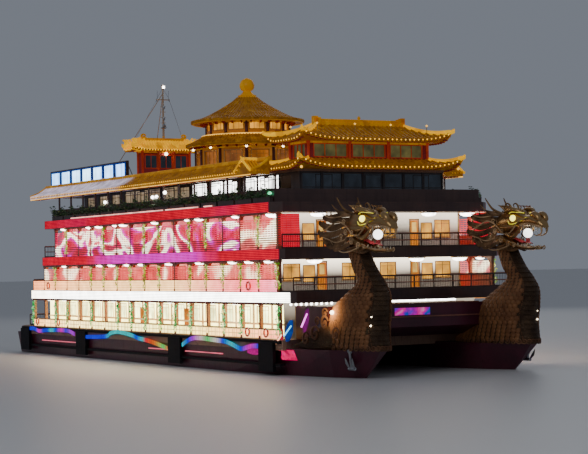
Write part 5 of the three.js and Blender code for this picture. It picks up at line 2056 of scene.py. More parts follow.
    @staticmethod
    def _front() -> None:
        """Frames the front doorways and sets a lit show case beside each."""
        frames, cases = Sketch(), Sketch()
        for level in (FIRST, SECOND):
            x, foot = level.house[1], level.floor
            for side in (-1, 1):
                for y in (side * 4.0, side * 4.86):
                    frames.block((x + 0.02, y, foot + 1.13), (0.06, 0.1, 2.26))
                frames.block((x + 0.02, side * 4.43, foot + 2.28), (0.06, 0.98, 0.1))
                for y in (side * 5.1, side * 6.15):
                    frames.block((x + 0.03, y, foot + 1.35), (0.07, 0.06, 1.3))
                for z in (foot + 0.7, foot + 2.0):
                    frames.block((x + 0.03, side * 5.625, z), (0.07, 1.11, 0.06))
                cases.block((x + 0.012, side * 5.625, foot + 1.35), (0.02, 1.0, 1.26))
        frames.piece("front_door_frames", Finishes.frame, bevel=0.006)
        cases.piece("front_show_cases", Finishes.hall_pane)


@dataclass
class Rails:
    """Balusters, caps and planters of the railings."""

    baluster: float = 0.018
    spacing: float = 0.16

    def build(self) -> None:
        """Dresses the rails, fills them with balusters and plants the third deck's edge."""
        dress(Finishes.iron, "rail_1", "rail_2", "stern_rail_main", "stern_rail_1", "stern_rail_2")
        dress(Finishes.brown, "rail_3", "stern_rail_3", "gallery_3_stbd", "gallery_3_port")
        runs = (
            ("1", 24.35, 6.37, POST_Y), ("2", 22.75, 9.67, POST_Y), ("stern_main", -32.7, 2.74, 9.0),
            ("stern_1", -28.85, 6.37, POST_Y), ("stern_2", -25.7, 9.67, POST_Y),
        )
        for label, x, floor, half in runs:
            count = int(2 * (half - 0.1) / self.spacing)
            first = -(count - 1) * self.spacing / 2
            bar = Sketch().tube([(x, first, floor + 0.1), (x, first, floor + RAIL_HEIGHT - 0.05)], self.baluster, 6)
            repeat(bar, f"balusters_{label}", Finishes.iron, count, (0.0, self.spacing, 0.0), 60.0)
            handrail = [[(x, -half, floor + RAIL_HEIGHT + 0.02), (x, half, floor + RAIL_HEIGHT + 0.02)],
                        [(x + 0.05, -half, floor + 0.55), (x + 0.05, half, floor + 0.55)]]
            bars(handrail, f"handrail_{label}", Finishes.rubbing, 0.045, 10)
        self._planters()
        self._gallery_lamps()

    @staticmethod
    def _planters() -> None:
        """Hangs planters with shrubs outside the third deck's bulwark."""
        box = Sketch().block((19.6, 9.86, 13.47), (2.7, 0.3, 0.34)).block((19.6, 9.86, 13.65), (2.76, 0.36, 0.05))
        repeat(box.mirrored(), "planter_boxes", Finishes.brown, 15, (-BAY, 0, 0))
        chance = random.Random(41)
        spots = Spots()
        for _ in range(5200):
            along = chance.uniform(-24.0, 21.0)
            bush = 0.55 + 0.35 * math.sin(along * 2.6) + 0.2 * math.sin(along * 7.1)
            side = chance.choice((-1, 1))
            turn = chance.uniform(0, math.tau)
            spots.add(
                (along, side * (9.86 + chance.uniform(-0.17, 0.22)), 13.68 + max(0.1, bush) * chance.random() ** 0.7),
                (math.cos(turn), math.sin(turn), chance.uniform(0.2, 1.2)),
                (math.cos(turn + 1), math.sin(turn + 1), 0.2), chance.uniform(0.8, 1.6),
            )
        rim = [(-0.04, 0, 0), (0.04, -0.05, 0.02), (0.05, 0, 0), (0.04, 0.05, 0.02), (0.15, 0, 0.03)]
        leaf = Sketch().add(rim, LEAF_FACES)
        spots.piece(leaf, "planter_shrubs", Finishes.leaf, 0.0)

    @staticmethod
    def _gallery_lamps() -> None:
        """Sets the third deck's lamps: white bowls, one green, and a row under the eaves."""
        white, green, brackets = Sketch(), Sketch(), Sketch()
        for x, z in ((-11.0, 14.6), (1.9, 14.9), (0.2, 14.6), (-0.6, 14.6), (12.0, 14.9)):
            for side in (-1, 1):
                white.ball((x, side * 9.78, z), 0.15, 8)
                brackets.tube([(x, side * 9.66, z - 0.4), (x, side * 9.78, z - 0.15)], 0.03, 6)
        for side in (-1, 1):
            green.ball((20.6, side * 9.8, 13.95), 0.16, 8)
            brackets.tube([(20.6, side * 9.66, 13.6), (20.6, side * 9.8, 13.82)], 0.03, 6)
        white.piece("gallery_lamps", Finishes.white_lamp, smooth=60)
        green.piece("green_lamps", Finishes.green_lamp, smooth=60)
        brackets.piece("lamp_brackets", Finishes.iron, smooth=60)


@dataclass
class SweptRoof:
    """A hipped tile roof whose eaves sweep up to the corners.

    Args:
        name: name of the roof's pieces.
        node: the CAD node that it stands for.
        cx: X of its middle.
        outer: half length and half width at the eaves.
        inner: half length and half width at the top.
        eave: height of the eaves' underside.
        tip: how far the corners sweep up.
        rise: height of the slope.
        thickness: thickness of the eaves.
        open: whether walls pass through it.
        ridge: half length, foot and top of the ridge and the rise of its ornaments, or None.
        beasts: number of ridge beasts on each hip.
        pitch: distance between two tile ribs.
        rib: radius of a rib.
    """

    name: str
    node: str
    cx: float
    outer: Span
    inner: Span
    eave: float
    tip: float
    rise: float
    thickness: float
    open: bool
    ridge: tuple[float, float, float, float] | None = None
    beasts: int = 0
    pitch: float = 0.42
    rib: float = 0.08
    tiles: Finish = Finishes.tile
    steps: int = 24

    def build(self) -> None:
        """Builds the shell, its ribs, eaves, ridges and ornaments."""
        shell = self._shell().piece(f"{self.name}_shell", self.tiles, smooth=35)
        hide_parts(self.node)
        self._ribs()
        self._rafters()
        self._hips()
        if self.ridge is not None:
            self._ridge(*self.ridge)

    def half(self, s: float) -> Span:
        """Returns half the length and width at a share of the slope."""
        return tuple(a + (b - a) * s for a, b in zip(self.outer, self.inner))

    def height(self, t: float, s: float) -> float:
        """Returns the height of the tiles.

        Args:
            t: place along the side, from -1 to 1.
            s: share of the slope.
        """
        return self.eave + self.thickness + self.tip * abs(t) ** 5 * (1 - s) ** 2 + self.rise * s ** 1.35

    def point(self, side: int, along: float, s: float, lift: float = 0.0) -> Point:
        """Returns a point of the roof's surface.

        Args:
            side: 0 in front, 1 to port, 2 aft, 3 to starboard.
            along: distance from the side's middle.
            s: share of the slope.
            lift: height above the tiles.

        Returns:
            The point.
        """
        a, b = self.half(s)
        if side % 2 == 0:
            hand = 1 - side
            return self.cx + hand * a, along, self.height(along / b, s) + lift
        hand = 2 - side
        return self.cx + along, hand * b, self.height(along / a, s) + lift

    def ring(self, a: float, b: float, height: Callable[[float], float]) -> list[Point]:
        """Returns a rectangular loop whose height depends on the place along each side.

        Args:
            a: half its length along X.
            b: half its length along Y.
            height: height at a share of a side, from -1 to 1.

        Returns:
            The points of the loop.
        """
        corners = [(a, -b), (a, b), (-a, b), (-a, -b)]
        made = []
        for (p, q), (r, s) in zip(corners, corners[1:] + corners[:1]):
            for k in range(self.steps):
                t = k / self.steps
                made.append((self.cx + p + (r - p) * t, q + (s - q) * t, height(2 * t - 1)))
        return made

    def _shell(self) -> Sketch:
        """Returns the roof's body.

        Returns:
            The body.
        """
        levels = [k / 10 for k in range(11)]
        rings = [self.ring(*self.half(s), lambda t, s=s: self.height(t, s)) for s in levels]
        under = self.ring(*self.outer, lambda t: self.eave + self.tip * abs(t) ** 5)
        if self.open:
            inside = self.ring(*self.inner, lambda t: self.eave)
            return Sketch().loft([inside, under, *rings], True)
        flat = self.ring(self.outer[0] * 0.7, self.outer[1] * 0.8, lambda t: self.eave)
        return Sketch().loft([flat, under, *rings])

    def _ribs(self) -> None:
        """Lays round tile ribs up the slopes, and an end tile and a drip tile at the foot of each."""
        lines, ends, drips = [], Spots(), Spots()
        for side in range(4):
            wide, top = (self.outer[1], self.inner[1]) if side % 2 == 0 else (self.outer[0], self.inner[0])
            facing = ((1, 0, 0), (0, 1, 0), (-1, 0, 0), (0, -1, 0))[side]
            count = int((wide - 0.12) / self.pitch)
            for k in range(-count, count + 1):
                along = k * self.pitch
                reach = min(1.0, (wide - abs(along)) / (wide - top)) if wide > top else 1.0
                if reach > 0.06:
                    lines.append([self.point(side, along, reach * n / 9 * 0.985, 0.02) for n in range(10)])
                x, y, z = self.point(side, along, 0.0)
                ends.add((x + 0.015 * facing[0], y + 0.015 * facing[1], z - 0.03), facing, (0, 0, 1), 0.62)
                if abs(along + self.pitch / 2) < wide - 0.1:
                    x, y, z = self.point(side, along + self.pitch / 2, 0.0)
                    drips.add((x + 0.01 * facing[0], y + 0.01 * facing[1], z - 0.06), facing, (0, 0, 1))
        bars(lines, f"{self.name}_ribs", self.tiles, self.rib, 6)
        ends.piece(end_tile(), f"{self.name}_end_tiles", Finishes.end_glow, 30.0)
        drips.piece(drip_tile(), f"{self.name}_drip_tiles", Finishes.tile, 30.0)

    def _rafters(self) -> None:
        """Sets rafter ends and an eave board under the tiles."""
        ends = Spots()
        lines = []
        for side in range(4):
            wide = self.outer[1] if side % 2 == 0 else self.outer[0]
            facing = ((1, 0, 0), (0, 1, 0), (-1, 0, 0), (0, -1, 0))[side]
            count = int((wide - 0.3) / 0.4)
            for k in range(-count, count + 1):
                x, y, z = self.point(side, k * 0.4, 0.0)
                ends.add((x - 0.22 * facing[0], y - 0.22 * facing[1], z - self.thickness - 0.045), (0, 0, 1), facing)
            span = [n / 16 * 2 - 1 for n in range(17)]
            line = []
            for t in span:
                x, y, z = self.point(side, t * wide, 0.0)
                line.append((x - 0.06 * facing[0], y - 0.06 * facing[1], z - self.thickness - 0.02))
            lines.append(line)
        rafter = Sketch().block((0, 0, 0), (0.4, 0.1, 0.09))
        ends.piece(rafter, f"{self.name}_rafters", Finishes.crimson, 0.0)
        bars(lines, f"{self.name}_eave_board", Finishes.ridge, 0.035, 6)

    def _hips(self) -> None:
        """Runs a layered ridge down each hip, with small beasts on it and a curled end."""
        ridge, beasts = Sketch(), Spots()
        length = math.hypot(self.outer[0] - self.inner[0], self.outer[1] - self.inner[1])
        for i in (-1, 1):
            for j in (-1, 1):
                way = Vector((i * (self.outer[0] - self.inner[0]), j * (self.outer[1] - self.inner[1]), 0)) / length
                across = Vector((-way.y, way.x, 0))
                rows = []
                for k in range(17):
                    s = 1 - k / 15
                    a, b = self.half(s)
                    lift = self.tip * min(1.0, 1 - s) ** 2 if s > 0 else self.tip + 0.12 * (k - 15)
                    z = self.eave + self.thickness + lift + self.rise * max(0.0, s) ** 1.35
                    rows.append((Vector((self.cx + i * a, j * b, z)), 0.12 + 0.12 * max(0.0, 1 - s) if s > 0 else 0.12))
                for half, low, high in ((1.0, -0.12, 0.07), (0.62, 0.07, 0.16)):
                    rings = []
                    for centre, width in rows:
                        wide = across * width * half
                        rings.append([
                            centre - wide + Vector((0, 0, low)), centre + wide + Vector((0, 0, low)),
                            centre + wide + Vector((0, 0, high)), centre - wide + Vector((0, 0, high)),
                        ])
                    ridge.loft(rings)
                crest = [tuple(centre + Vector((0, 0, 0.16))) for centre, _ in rows]
                ridge.tube(crest, [0.6 * width for _, width in rows], 10)
                for n in range(self.beasts):
                    centre = rows[13 - 2 * n][0]
                    beasts.add((centre.x, centre.y, centre.z + 0.2), (0, 0, 1), tuple(way), 1.9 - 0.1 * n)
        ridge.piece(f"{self.name}_hips", Finishes.hip, smooth=40)
        if self.beasts:
            beasts.piece(ridge_beast(), f"{self.name}_beasts", Finishes.hip, 50.0)

    def _ridge(self, half: float, foot: float, top: float, curl: float) -> None:
        """Builds the ridge with its courses, its end ornaments and the knob in the middle.

        Args:
            half: half its length.
            foot: its lowest height.
            top: its upper edge.
            curl: how far the ends rise above it.
        """
        x = self.cx
        ridge = Sketch()
        courses = ((0.34, foot, top - 0.22), (0.22, top - 0.22, top - 0.08), (0.32, top - 0.08, top - 0.02))
        for width, low, high in courses:
            ridge.box((x - width / 2, x + width / 2), (-half, half), (low, high))
        ridge.tube([(x, -half, top - 0.02), (x, half, top - 0.02)], 0.08, 10)
        for k in range(int(half / 0.42) * 2 + 1):
            y = (k - int(half / 0.42)) * 0.42
            ridge.block((x, y, (foot + top) / 2 + 0.08), (0.37, 0.06, 0.3))
        for hand in (-1, 1):
            if not self.beasts:
                for back, size, high in ((0.3, 0.62, 0.1), (0.16, 0.36, 0.2)):
                    ridge.block((x, hand * (half - back), top - 0.2 + high), (0.46, size, 0.5))
                continue
            spine = smoothed([
                (half - 0.75, top - 0.3), (half - 0.35, top - 0.02), (half + 0.04, top + 0.3 * curl),
                (half + 0.1, top + 0.75 * curl), (half - 0.12, top + curl), (half - 0.3, top + 0.72 * curl),
                (half - 0.17, top + 0.45 * curl),
            ], 4)
            widths = [0.2 - 0.13 * k / (len(spine) - 1) for k in range(len(spine))]
            ridge.tube([(x, hand * y, z) for y, z in spine], widths, 10, 0.8)
            ridge.tube([(x, hand * (half - 0.1), top - 0.35), (x, hand * (half + 0.12), top - 0.1),
                        (x, hand * (half + 0.13), top + 0.05)], [0.16, 0.12, 0.03], 8)
        ridge.lathe([(0, top - 0.02), (0.14, top), (0.09, top + 0.07), (0.15, top + 0.17), (0.1, top + 0.27),
                     (0.03, top + 0.34), (0, top + 0.35)], x, 0.0, 16)
        ridge.piece(f"{self.name}_ridge", Finishes.ridge, smooth=40)


def end_tile() -> Sketch:
    """Returns a round end tile that faces along Z, with a raised rim."""
    return Sketch().lathe([(0, -0.03), (0.095, -0.03), (0.1, 0.03), (0.075, 0.035), (0.07, 0.015), (0.03, 0.015),
                           (0.0, 0.035)], 0, 0, 12)


def drip_tile() -> Sketch:
    """Returns a pointed drip tile that faces along Z and hangs against X.

    Returns:
        The tile.
    """
    front = [(0.06, -0.11, 0.02), (0.0, -0.1, 0.02), (-0.07, -0.045, 0.02), (-0.1, 0.0, 0.02), (-0.07, 0.045, 0.02),
             (0.0, 0.1, 0.02), (0.06, 0.11, 0.02)]
    return Sketch().loft([[(x, y, z - 0.03) for x, y, z in front], front])


def ridge_beast() -> Sketch:
    """Returns a small sitting beast that looks along X.

    Returns:
        The beast.
    """
    body = [(-0.08, 0.0, 0.07), (-0.02, 0.08, 0.075), (0.04, 0.17, 0.055), (0.08, 0.24, 0.05)]
    made = Sketch().tube([(x, 0, z) for x, z, _ in body], [radius for _, _, radius in body], 8)
    made.tube([(0.06, 0, 0.24), (0.12, 0, 0.25), (0.18, 0, 0.22)], [0.055, 0.05, 0.02], 8)
    made.tube([(0.05, 0, 0.12), (0.09, 0, -0.02)], [0.03, 0.025], 6)
    return made.tube([(-0.08, 0, 0.02), (-0.15, 0, 0.1), (-0.13, 0, 0.22)], [0.035, 0.03, 0.01], 6)


@dataclass
class SideRoofs:
    """The long tile roofs over the third deck's galleries, with a small gable near the front.

    Args:
        x: how far they reach aft and forward.
        profile: distance from the middle of the boat and height, from the eave up.
        pitch: distance from one row of tiles to the next.
        gable: X of the small gable's middle.
        width: half the small gable's width at the eave.
    """

    x: Span = (-29.0, 18.15)
    profile: tuple[Span, ...] = ((10.2, 15.8), (9.3, 16.15), (8.42, 16.75))
    pitch: float = 0.42
    gable: float = 16.95
    width: float = 1.2

    def build(self) -> None:
        """Dresses the CAD roofs and lays ribs, end tiles, ridges and lamps on them."""
        dress(Finishes.side_tile, "side_roof_stbd", "side_roof_port")
        slope = smoothed(self.profile, 4)
        eave_y, eave_z = self.profile[0]
        lines, ends, drips = [], Spots(), Spots()
        count = int((self.x[1] - self.x[0] - 0.2) / self.pitch)
        for k in range(count + 1):
            x = self.x[0] + 0.1 + k * self.pitch
            for side in (-1, 1):
                if not 15.9 < x < 18.0:
                    lines.append([(x, side * y, z + 0.03) for y, z in slope])
                rise = max(0.0, 0.9 * (1 - abs(x - self.gable) / self.width))
                ends.add((x, side * (eave_y + 0.005), eave_z + rise), (0, side, 0), (0, 0, 1), 0.6)
                drips.add((x + self.pitch / 2, side * (eave_y + 0.005), 15.74 + rise), (0, side, 0), (0, 0, 1))
        bars(lines, "side_roof_ribs", Finishes.side_tile, 0.08, 6)
        ends.piece(end_tile(), "side_roof_end_tiles", Finishes.end_glow, 30.0)
        drips.piece(drip_tile(), "side_roof_drip_tiles", Finishes.ridge, 30.0)
        self._ridges()
        self._gables()

    def _ridges(self) -> None:
        """Runs a ridge along the top and a row of rafters under the eaves."""
        ridge = Sketch()
        (x0, x1), (y, z) = self.x, self.profile[-1]
        ridge.block(((x0 + x1) / 2, y + 0.02, z + 0.05), (x1 - x0, 0.26, 0.2))
        ridge.tube([(x0, y + 0.02, z + 0.17), (x1, y + 0.02, z + 0.17)], 0.09, 10)
        for end in (x0 + 0.02, x1 - 0.02):
            ridge.tube([(end, a, b + 0.1) for a, b in self.profile[::-1]], 0.1, 8)
        ridge.mirrored().piece("side_roof_ridges", Finishes.ridge, smooth=40)
        rafter = Sketch().block((x0 + 0.2, 9.7, 15.56), (0.09, 0.9, 0.08)).mirrored()
        repeat(rafter, "side_roof_rafters", Finishes.crimson, int((x1 - x0) / 0.45), (0.45, 0, 0))
        boards = [[(x0, side * 10.15, 15.56), (x1, side * 10.15, 15.56)] for side in (-1, 1)]
        bars(boards, "side_roof_eave_tubes", Finishes.amber_lamp, 0.05, 8)

    def _gables(self) -> None:
        """Tiles the small gable over the front of each side."""
        x = self.gable
        gable, ribs = Sketch(), []
        for side in (-1, 1):
            for hand in (-1, 1):
                for k in range(5):
                    y = side * (9.1 + 0.28 * k)
                    ribs.append([(x + hand * 0.05, y, 16.76), (x + hand * 0.6, y, 16.28), (x + hand * 1.28, y, 15.83)])
                y = side * 10.24
                gable.tube([(x, y, 16.8), (x + hand * 1.34, y, 15.86), (x + hand * 1.42, y, 16.0)],
                           [0.1, 0.09, 0.03], 8)
            gable.tube([(x, side * 8.9, 16.84), (x, side * 10.24, 16.86), (x, side * 10.36, 17.05)],
                       [0.12, 0.12, 0.04], 8)
        gable.piece("gable_ridges", Finishes.hip, smooth=40)
        bars(ribs, "gable_ribs", Finishes.ridge, 0.055, 6)


@dataclass
class Pagoda:
    """The round two-storey pagoda amidships.

    Args:
        x: X of its axis.
        lower: radius of the lower storey.
        upper: radius of the upper storey.
        skirt: section of the skirt roof, radius and height.
        cone: section of the cone roof.
        finial: section of the finial.
    """

    x: float = -0.9
    lower: float = 4.75
    upper: float = 3.75
    skirt: tuple[Span, ...] = ((5.62, 19.38), (5.0, 19.65), (4.5, 19.9), (4.15, 20.15))
    cone: tuple[Span, ...] = ((5.12, 21.51), (4.3, 21.73), (3.5, 22.07), (2.4, 22.67), (1.4, 23.29), (0.95, 23.68))
    finial: tuple[Span, ...] = ((0.95, 23.68), (0.72, 23.9), (0.36, 24.28), (0.55, 24.42), (0.68, 24.8), (0.5, 25.26),
                                (0.2, 25.45), (0.0, 25.52))
    ribs: int = 96

    def build(self) -> None:
        """Builds the roofs, the windows of both storeys and the columns."""
        dress(Finishes.lit_timber, "pagoda_lower", "pagoda_upper")
        self._roofs()
        self._storey("pagoda_lower", self.lower, (16.9, 18.7), 1.7, (ROOF_DECK, 19.2), Finishes.lounge_pane)
        self._storey("pagoda_upper", self.upper, (20.6, 21.25), 1.5, (20.17, 21.34), Finishes.amber_pane)
        self._rings()

    def around(self, radius: float, angle: float, z: float) -> Point:
        """Returns a point on a circle about the axis."""
        return self.x + radius * math.cos(angle), radius * math.sin(angle), z

    def _roofs(self) -> None:
        """Turns both roofs and lays their ribs and end tiles."""
        skirt = smoothed(self.skirt, 4)
        shell = Sketch().lathe([(3.5, 19.2), (5.6, 19.2), *skirt, (3.5, 20.15)], self.x, 0.0, 96, True)
        made = shell.piece("skirt_shell", Finishes.tile, smooth=35)
        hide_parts("pagoda_skirt_roof")
        cone = smoothed(self.cone, 5)
        top = Sketch().lathe([(0.0, 21.35), (5.1, 21.35), *cone, (0.0, 23.7)], self.x, 0.0, 96)
        made = top.piece("cone_shell", Finishes.tile, smooth=35)
        finial = Sketch().lathe([(0.0, 23.5), *smoothed(self.finial, 5)], self.x, 0.0, 40)
        finial.hoop((self.x, 0.0, 23.86), 0.78, 0.07, 40, "z")
        made_finial = finial.piece("finial", Finishes.ridge, smooth=50)
        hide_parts("pagoda_cone")
        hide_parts("pagoda_cone")
        lines, ends, drips = [], Spots(), Spots()
        for slope, whole in ((skirt, True), (cone, False)):
            for k in range(self.ribs):
                angle = math.tau * k / self.ribs
                least = 0.0 if whole or k % 4 == 0 else 1.9 if k % 2 == 0 else 3.2
                lines.append([self.around(r, angle, z + 0.02) for r, z in slope if r >= least])
                r, z = slope[0]
                ends.add(self.around(r + 0.01, angle, z - 0.02), level_way(angle), (0, 0, 1))
                angle += math.pi / self.ribs
                drips.add(self.around(r + 0.005, angle, z - 0.08), level_way(angle), (0, 0, 1))
        bars(lines, "pagoda_ribs", Finishes.tile, 0.055, 6)
        ends.piece(end_tile(), "pagoda_end_tiles", Finishes.tile, 30.0)
        drips.piece(drip_tile(), "pagoda_drip_tiles", Finishes.tile, 30.0)

    def _storey(self, label: str, radius: float, sill: Span, width: float, z: Span, glass: Finish) -> None:
        """Fills one storey's windows and sets columns at the corners.

        Args:
            label: name of the storey.
            radius: its outer radius.
            sill: lower and upper edge of the windows.
            width: width of a window.
            z: foot and top of the storey.
            glass: finish of the panes.
        """
        flat = radius * math.cos(math.pi / 12)
        frames, panes, columns = Spots(), Spots(), Spots()
        middle = (sill[0] + sill[1]) / 2
        for k in range(12):
            angle, corner = math.tau * (k + 0.5) / 12, math.tau * k / 12
            frames.add(self.around(flat - 0.04, angle, middle), level_way(angle), (0, 0, 1))
            panes.add(self.around(flat - 0.13, angle, middle), level_way(angle), (0, 0, 1))
            columns.add(self.around(radius - 0.02, corner, z[0]), (0, 0, 1), level_way(corner))
        tall = sill[1] - sill[0]
        frame = Sketch()
        for edge in (-tall / 2, tall / 2):
            frame.block((edge, 0, 0), (0.08, width, 0.14))
        for end in (-width / 2 + 0.04, width / 2 - 0.04):
            frame.block((0, end, 0), (tall, 0.08, 0.14))
        for n in range(1, 3):
            frame.block((0, -width / 2 + n * width / 3, -0.04), (tall, 0.03, 0.04))
        if tall > 1.0:
            frame.block((tall / 2 - 0.35, 0, -0.04), (0.03, width, 0.04))
        frames.piece(frame, f"{label}_frames", Finishes.amber_rail, 0.0)
        panes.piece(Sketch().block((0, 0, 0), (tall, width, 0.02)), f"{label}_panes", glass, 0.0)
        high = z[1] - z[0]
        column = Sketch().lathe([(0.0, 0.0), (0.2, 0.0), (0.2, 0.12), (0.14, 0.2), (0.14, high - 0.3),
                                 (0.2, high - 0.2), (0.2, high - 0.02), (0.0, high - 0.02)], 0, 0, 16)
        columns.piece(column, f"{label}_columns", Finishes.dark_red, 40.0)

    def _rings(self) -> None:
        """Sets the bright ring under the upper storey, its balustrade and the cornices."""
        lamp = Sketch().hoop((self.x, 0.0, 20.17), 4.16, 0.075, 96, "z")
        lamp.piece("pagoda_ring_lamp", Finishes.amber_lamp, smooth=60)
        bowls = Sketch()
        for k in range(9):
            angle = math.tau * (k + 0.25) / 9
            bowls.ball(self.around(5.02, angle, 18.98), 0.11, 6)
        bowls.piece("pagoda_bowl_lamps", Finishes.warm_lamp, smooth=60)
        gold = Sketch()
        for radius, z in ((4.86, 18.95), (4.86, 16.05), (3.86, 21.28), (5.5, 19.2), (5.0, 21.34)):
            gold.hoop((self.x, 0.0, z), radius, 0.06, 96, "z")
        gold.piece("pagoda_cornices", Finishes.ridge, smooth=60)
        blocks = Spots()
        for radius, z, count in ((4.95, 19.05, 36), (4.0, 21.2, 30)):
            for k in range(count):
                angle = math.tau * k / count
                blocks.add(self.around(radius + 0.1, angle, z), (0, 0, 1), level_way(angle))
        bracket = Sketch().block((0, 0, 0.06), (0.5, 0.12, 0.1)).block((-0.08, 0, -0.04), (0.3, 0.12, 0.1))
        blocks.piece(bracket, "pagoda_brackets", Finishes.crimson, 0.0)


@dataclass
class Pavilions:
    """The front and after pavilions with their windows, columns and roofs.

    Args:
        front: X of the front pavilion's middle.
        aft: X of the after pavilion's middle.
    """

    front: float = 18.1
    aft: float = -18.6

    def build(self) -> None:
        """Builds both pavilions."""
        dress(Finishes.crimson, "pavilion_walls", "aft_pavilion_walls")
        for roof in (
            SweptRoof("front_lower", "pavilion_lower_roof", self.front, (3.55, 7.73), (1.4332, 5.6632), 15.9508,
                      0.72, 0.72, 0.16, True),
            SweptRoof("front_upper", "pavilion_upper_roof", self.front, (2.98, 7.04), (0.2, 4.2), 18.2, 0.62,
                      1.25, 0.14, False, (4.31, 19.4, 20.05, 0.35)),
            SweptRoof("aft_upper", "aft_pavilion_roof", self.aft, (1.2, 3.9), (0.15, 2.2), 20.0, 0.35, 0.95, 0.14,
                      False, (2.3, 20.8, 21.3, 0.4), 5, 0.3, 0.062, Finishes.hip),
        ):
            roof.build()
        self._windows("front", self.front, (1.43, 5.66), (16.95, 18.0), (-3.6, 0.0, 3.6), 1.55,
                      Finishes.green_pane, 3)
        self._windows("aft", self.aft, (0.5, 2.6), (18.3, 19.6), (-1.65, 0.0, 1.65), 0.65, Finishes.night_pane, 2)
        self._columns("front", self.front, (1.43, 5.66), (16.7, 18.2), (-5.66, -1.83, 1.83, 5.66))
        self._columns("aft", self.aft, (0.5, 2.6), (ROOF_DECK, 20.0), (-2.6, -0.83, 0.83, 2.6))
        self._lamps()

    @staticmethod
    def _windows(label: str, cx: float, half: Span, sill: Span, places: Row, reach: float, glass: Finish,
                 count: int) -> None:
        """Fills the windows of one pavilion.

        Args:
            label: name of the pavilion.
            cx: X of its middle.
            half: half its length and width.
            sill: lower and upper edge of the windows.
            places: Y of each window's middle.
            reach: half the width of a window.
            glass: finish of the panes.
            count: number of lights in a window.
        """
        frames, panes = Sketch(), Sketch()
        for out in (-1, 1):
            x = cx + out * half[0]
            for y in places:
                for edge in sill:
                    frames.block((x - out * 0.02, y, edge), (0.13, 2 * reach + 0.06, 0.08))
                for k in range(count + 1):
                    thick = 0.08 if k in (0, count) else 0.03
                    frames.block((x - out * 0.03, y - reach + 2 * reach * k / count, sum(sill) / 2),
                                 (0.1, thick, sill[1] - sill[0]))
                panes.block((x - out * 0.08, y, sum(sill) / 2), (0.02, 2 * reach, sill[1] - sill[0]))
            if label == "front":
                y = out * half[1]
                for edge in sill:
                    frames.block((cx, y - out * 0.02, edge), (1.96, 0.13, 0.08))
                for k in range(4):
                    frames.block((cx - 0.95 + 1.9 * k / 3, y - out * 0.03, sum(sill) / 2),
                                 (0.06, 0.1, sill[1] - sill[0]))
                panes.block((cx, y - out * 0.08, sum(sill) / 2), (1.9, 0.02, sill[1] - sill[0]))
        frames.piece(f"{label}_pavilion_frames", Finishes.lit_red, bevel=0.004)
        panes.piece(f"{label}_pavilion_panes", glass)

    @staticmethod
    def _columns(label: str, cx: float, half: Span, z: Span, places: Row) -> None:
        """Sets round columns between the windows and a painted beam over them.

        Args:
            label: name of the pavilion.
            cx: X of its middle.
            half: half its length and width.
            z: foot and top of the columns.
            places: Y of each column.
        """
        columns, beams = Sketch(), Sketch()
        for out in (-1, 1):
            x = cx + out * (half[0] + 0.02)
            for y in places:
                columns.lathe([(0.0, z[0]), (0.17, z[0]), (0.17, z[0] + 0.1), (0.125, z[0] + 0.16),
                               (0.125, z[1] - 0.2), (0.17, z[1] - 0.12), (0.17, z[1] - 0.01), (0.0, z[1] - 0.01)],
                              x, y, 16)
            beams.block((x + out * 0.02, 0.0, z[1] - 0.09), (0.08, 2 * half[1] + 0.1, 0.16))
            beams.block((cx, out * (half[1] + 0.04), z[1] - 0.09), (2 * half[0] + 0.1, 0.08, 0.16))
        columns.piece(f"{label}_pavilion_columns", Finishes.lit_red, smooth=40)
        beams.piece(f"{label}_pavilion_beams", Finishes.ridge, bevel=0.006)

    def _lamps(self) -> None:
        """Sets the small lamps on the front roof and lanterns under its corners."""
        lamps, rods = Sketch(), []
        for y in (-5.2, -1.7, 1.7, 5.2):
            for hand in (-1, 1):
                x = self.front + hand * 2.1
                lamps.ball((x, y, 19.55), 0.09, 6)
                rods.append([(x, y, 18.95), (x, y, 19.5)])
        bars(rods, "roof_lamp_rods", Finishes.brass, 0.03, 6)
        for i, j in ((1, 1), (1, -1), (-1, 1), (-1, -1)):
            lamps.ball((self.front + i * 3.3, j * 7.4, 16.0), 0.12, 6)
        lamps.piece("pavilion_lamps", Finishes.amber_lamp, smooth=60)
        bowls = Sketch().ball((-17.86, -0.1, 19.72), 0.17, 8).ball((18.9, -6.35, 15.6), 0.14, 8)
        bowls.piece("roof_bowl_lamps", Finishes.warm_lamp, smooth=60)


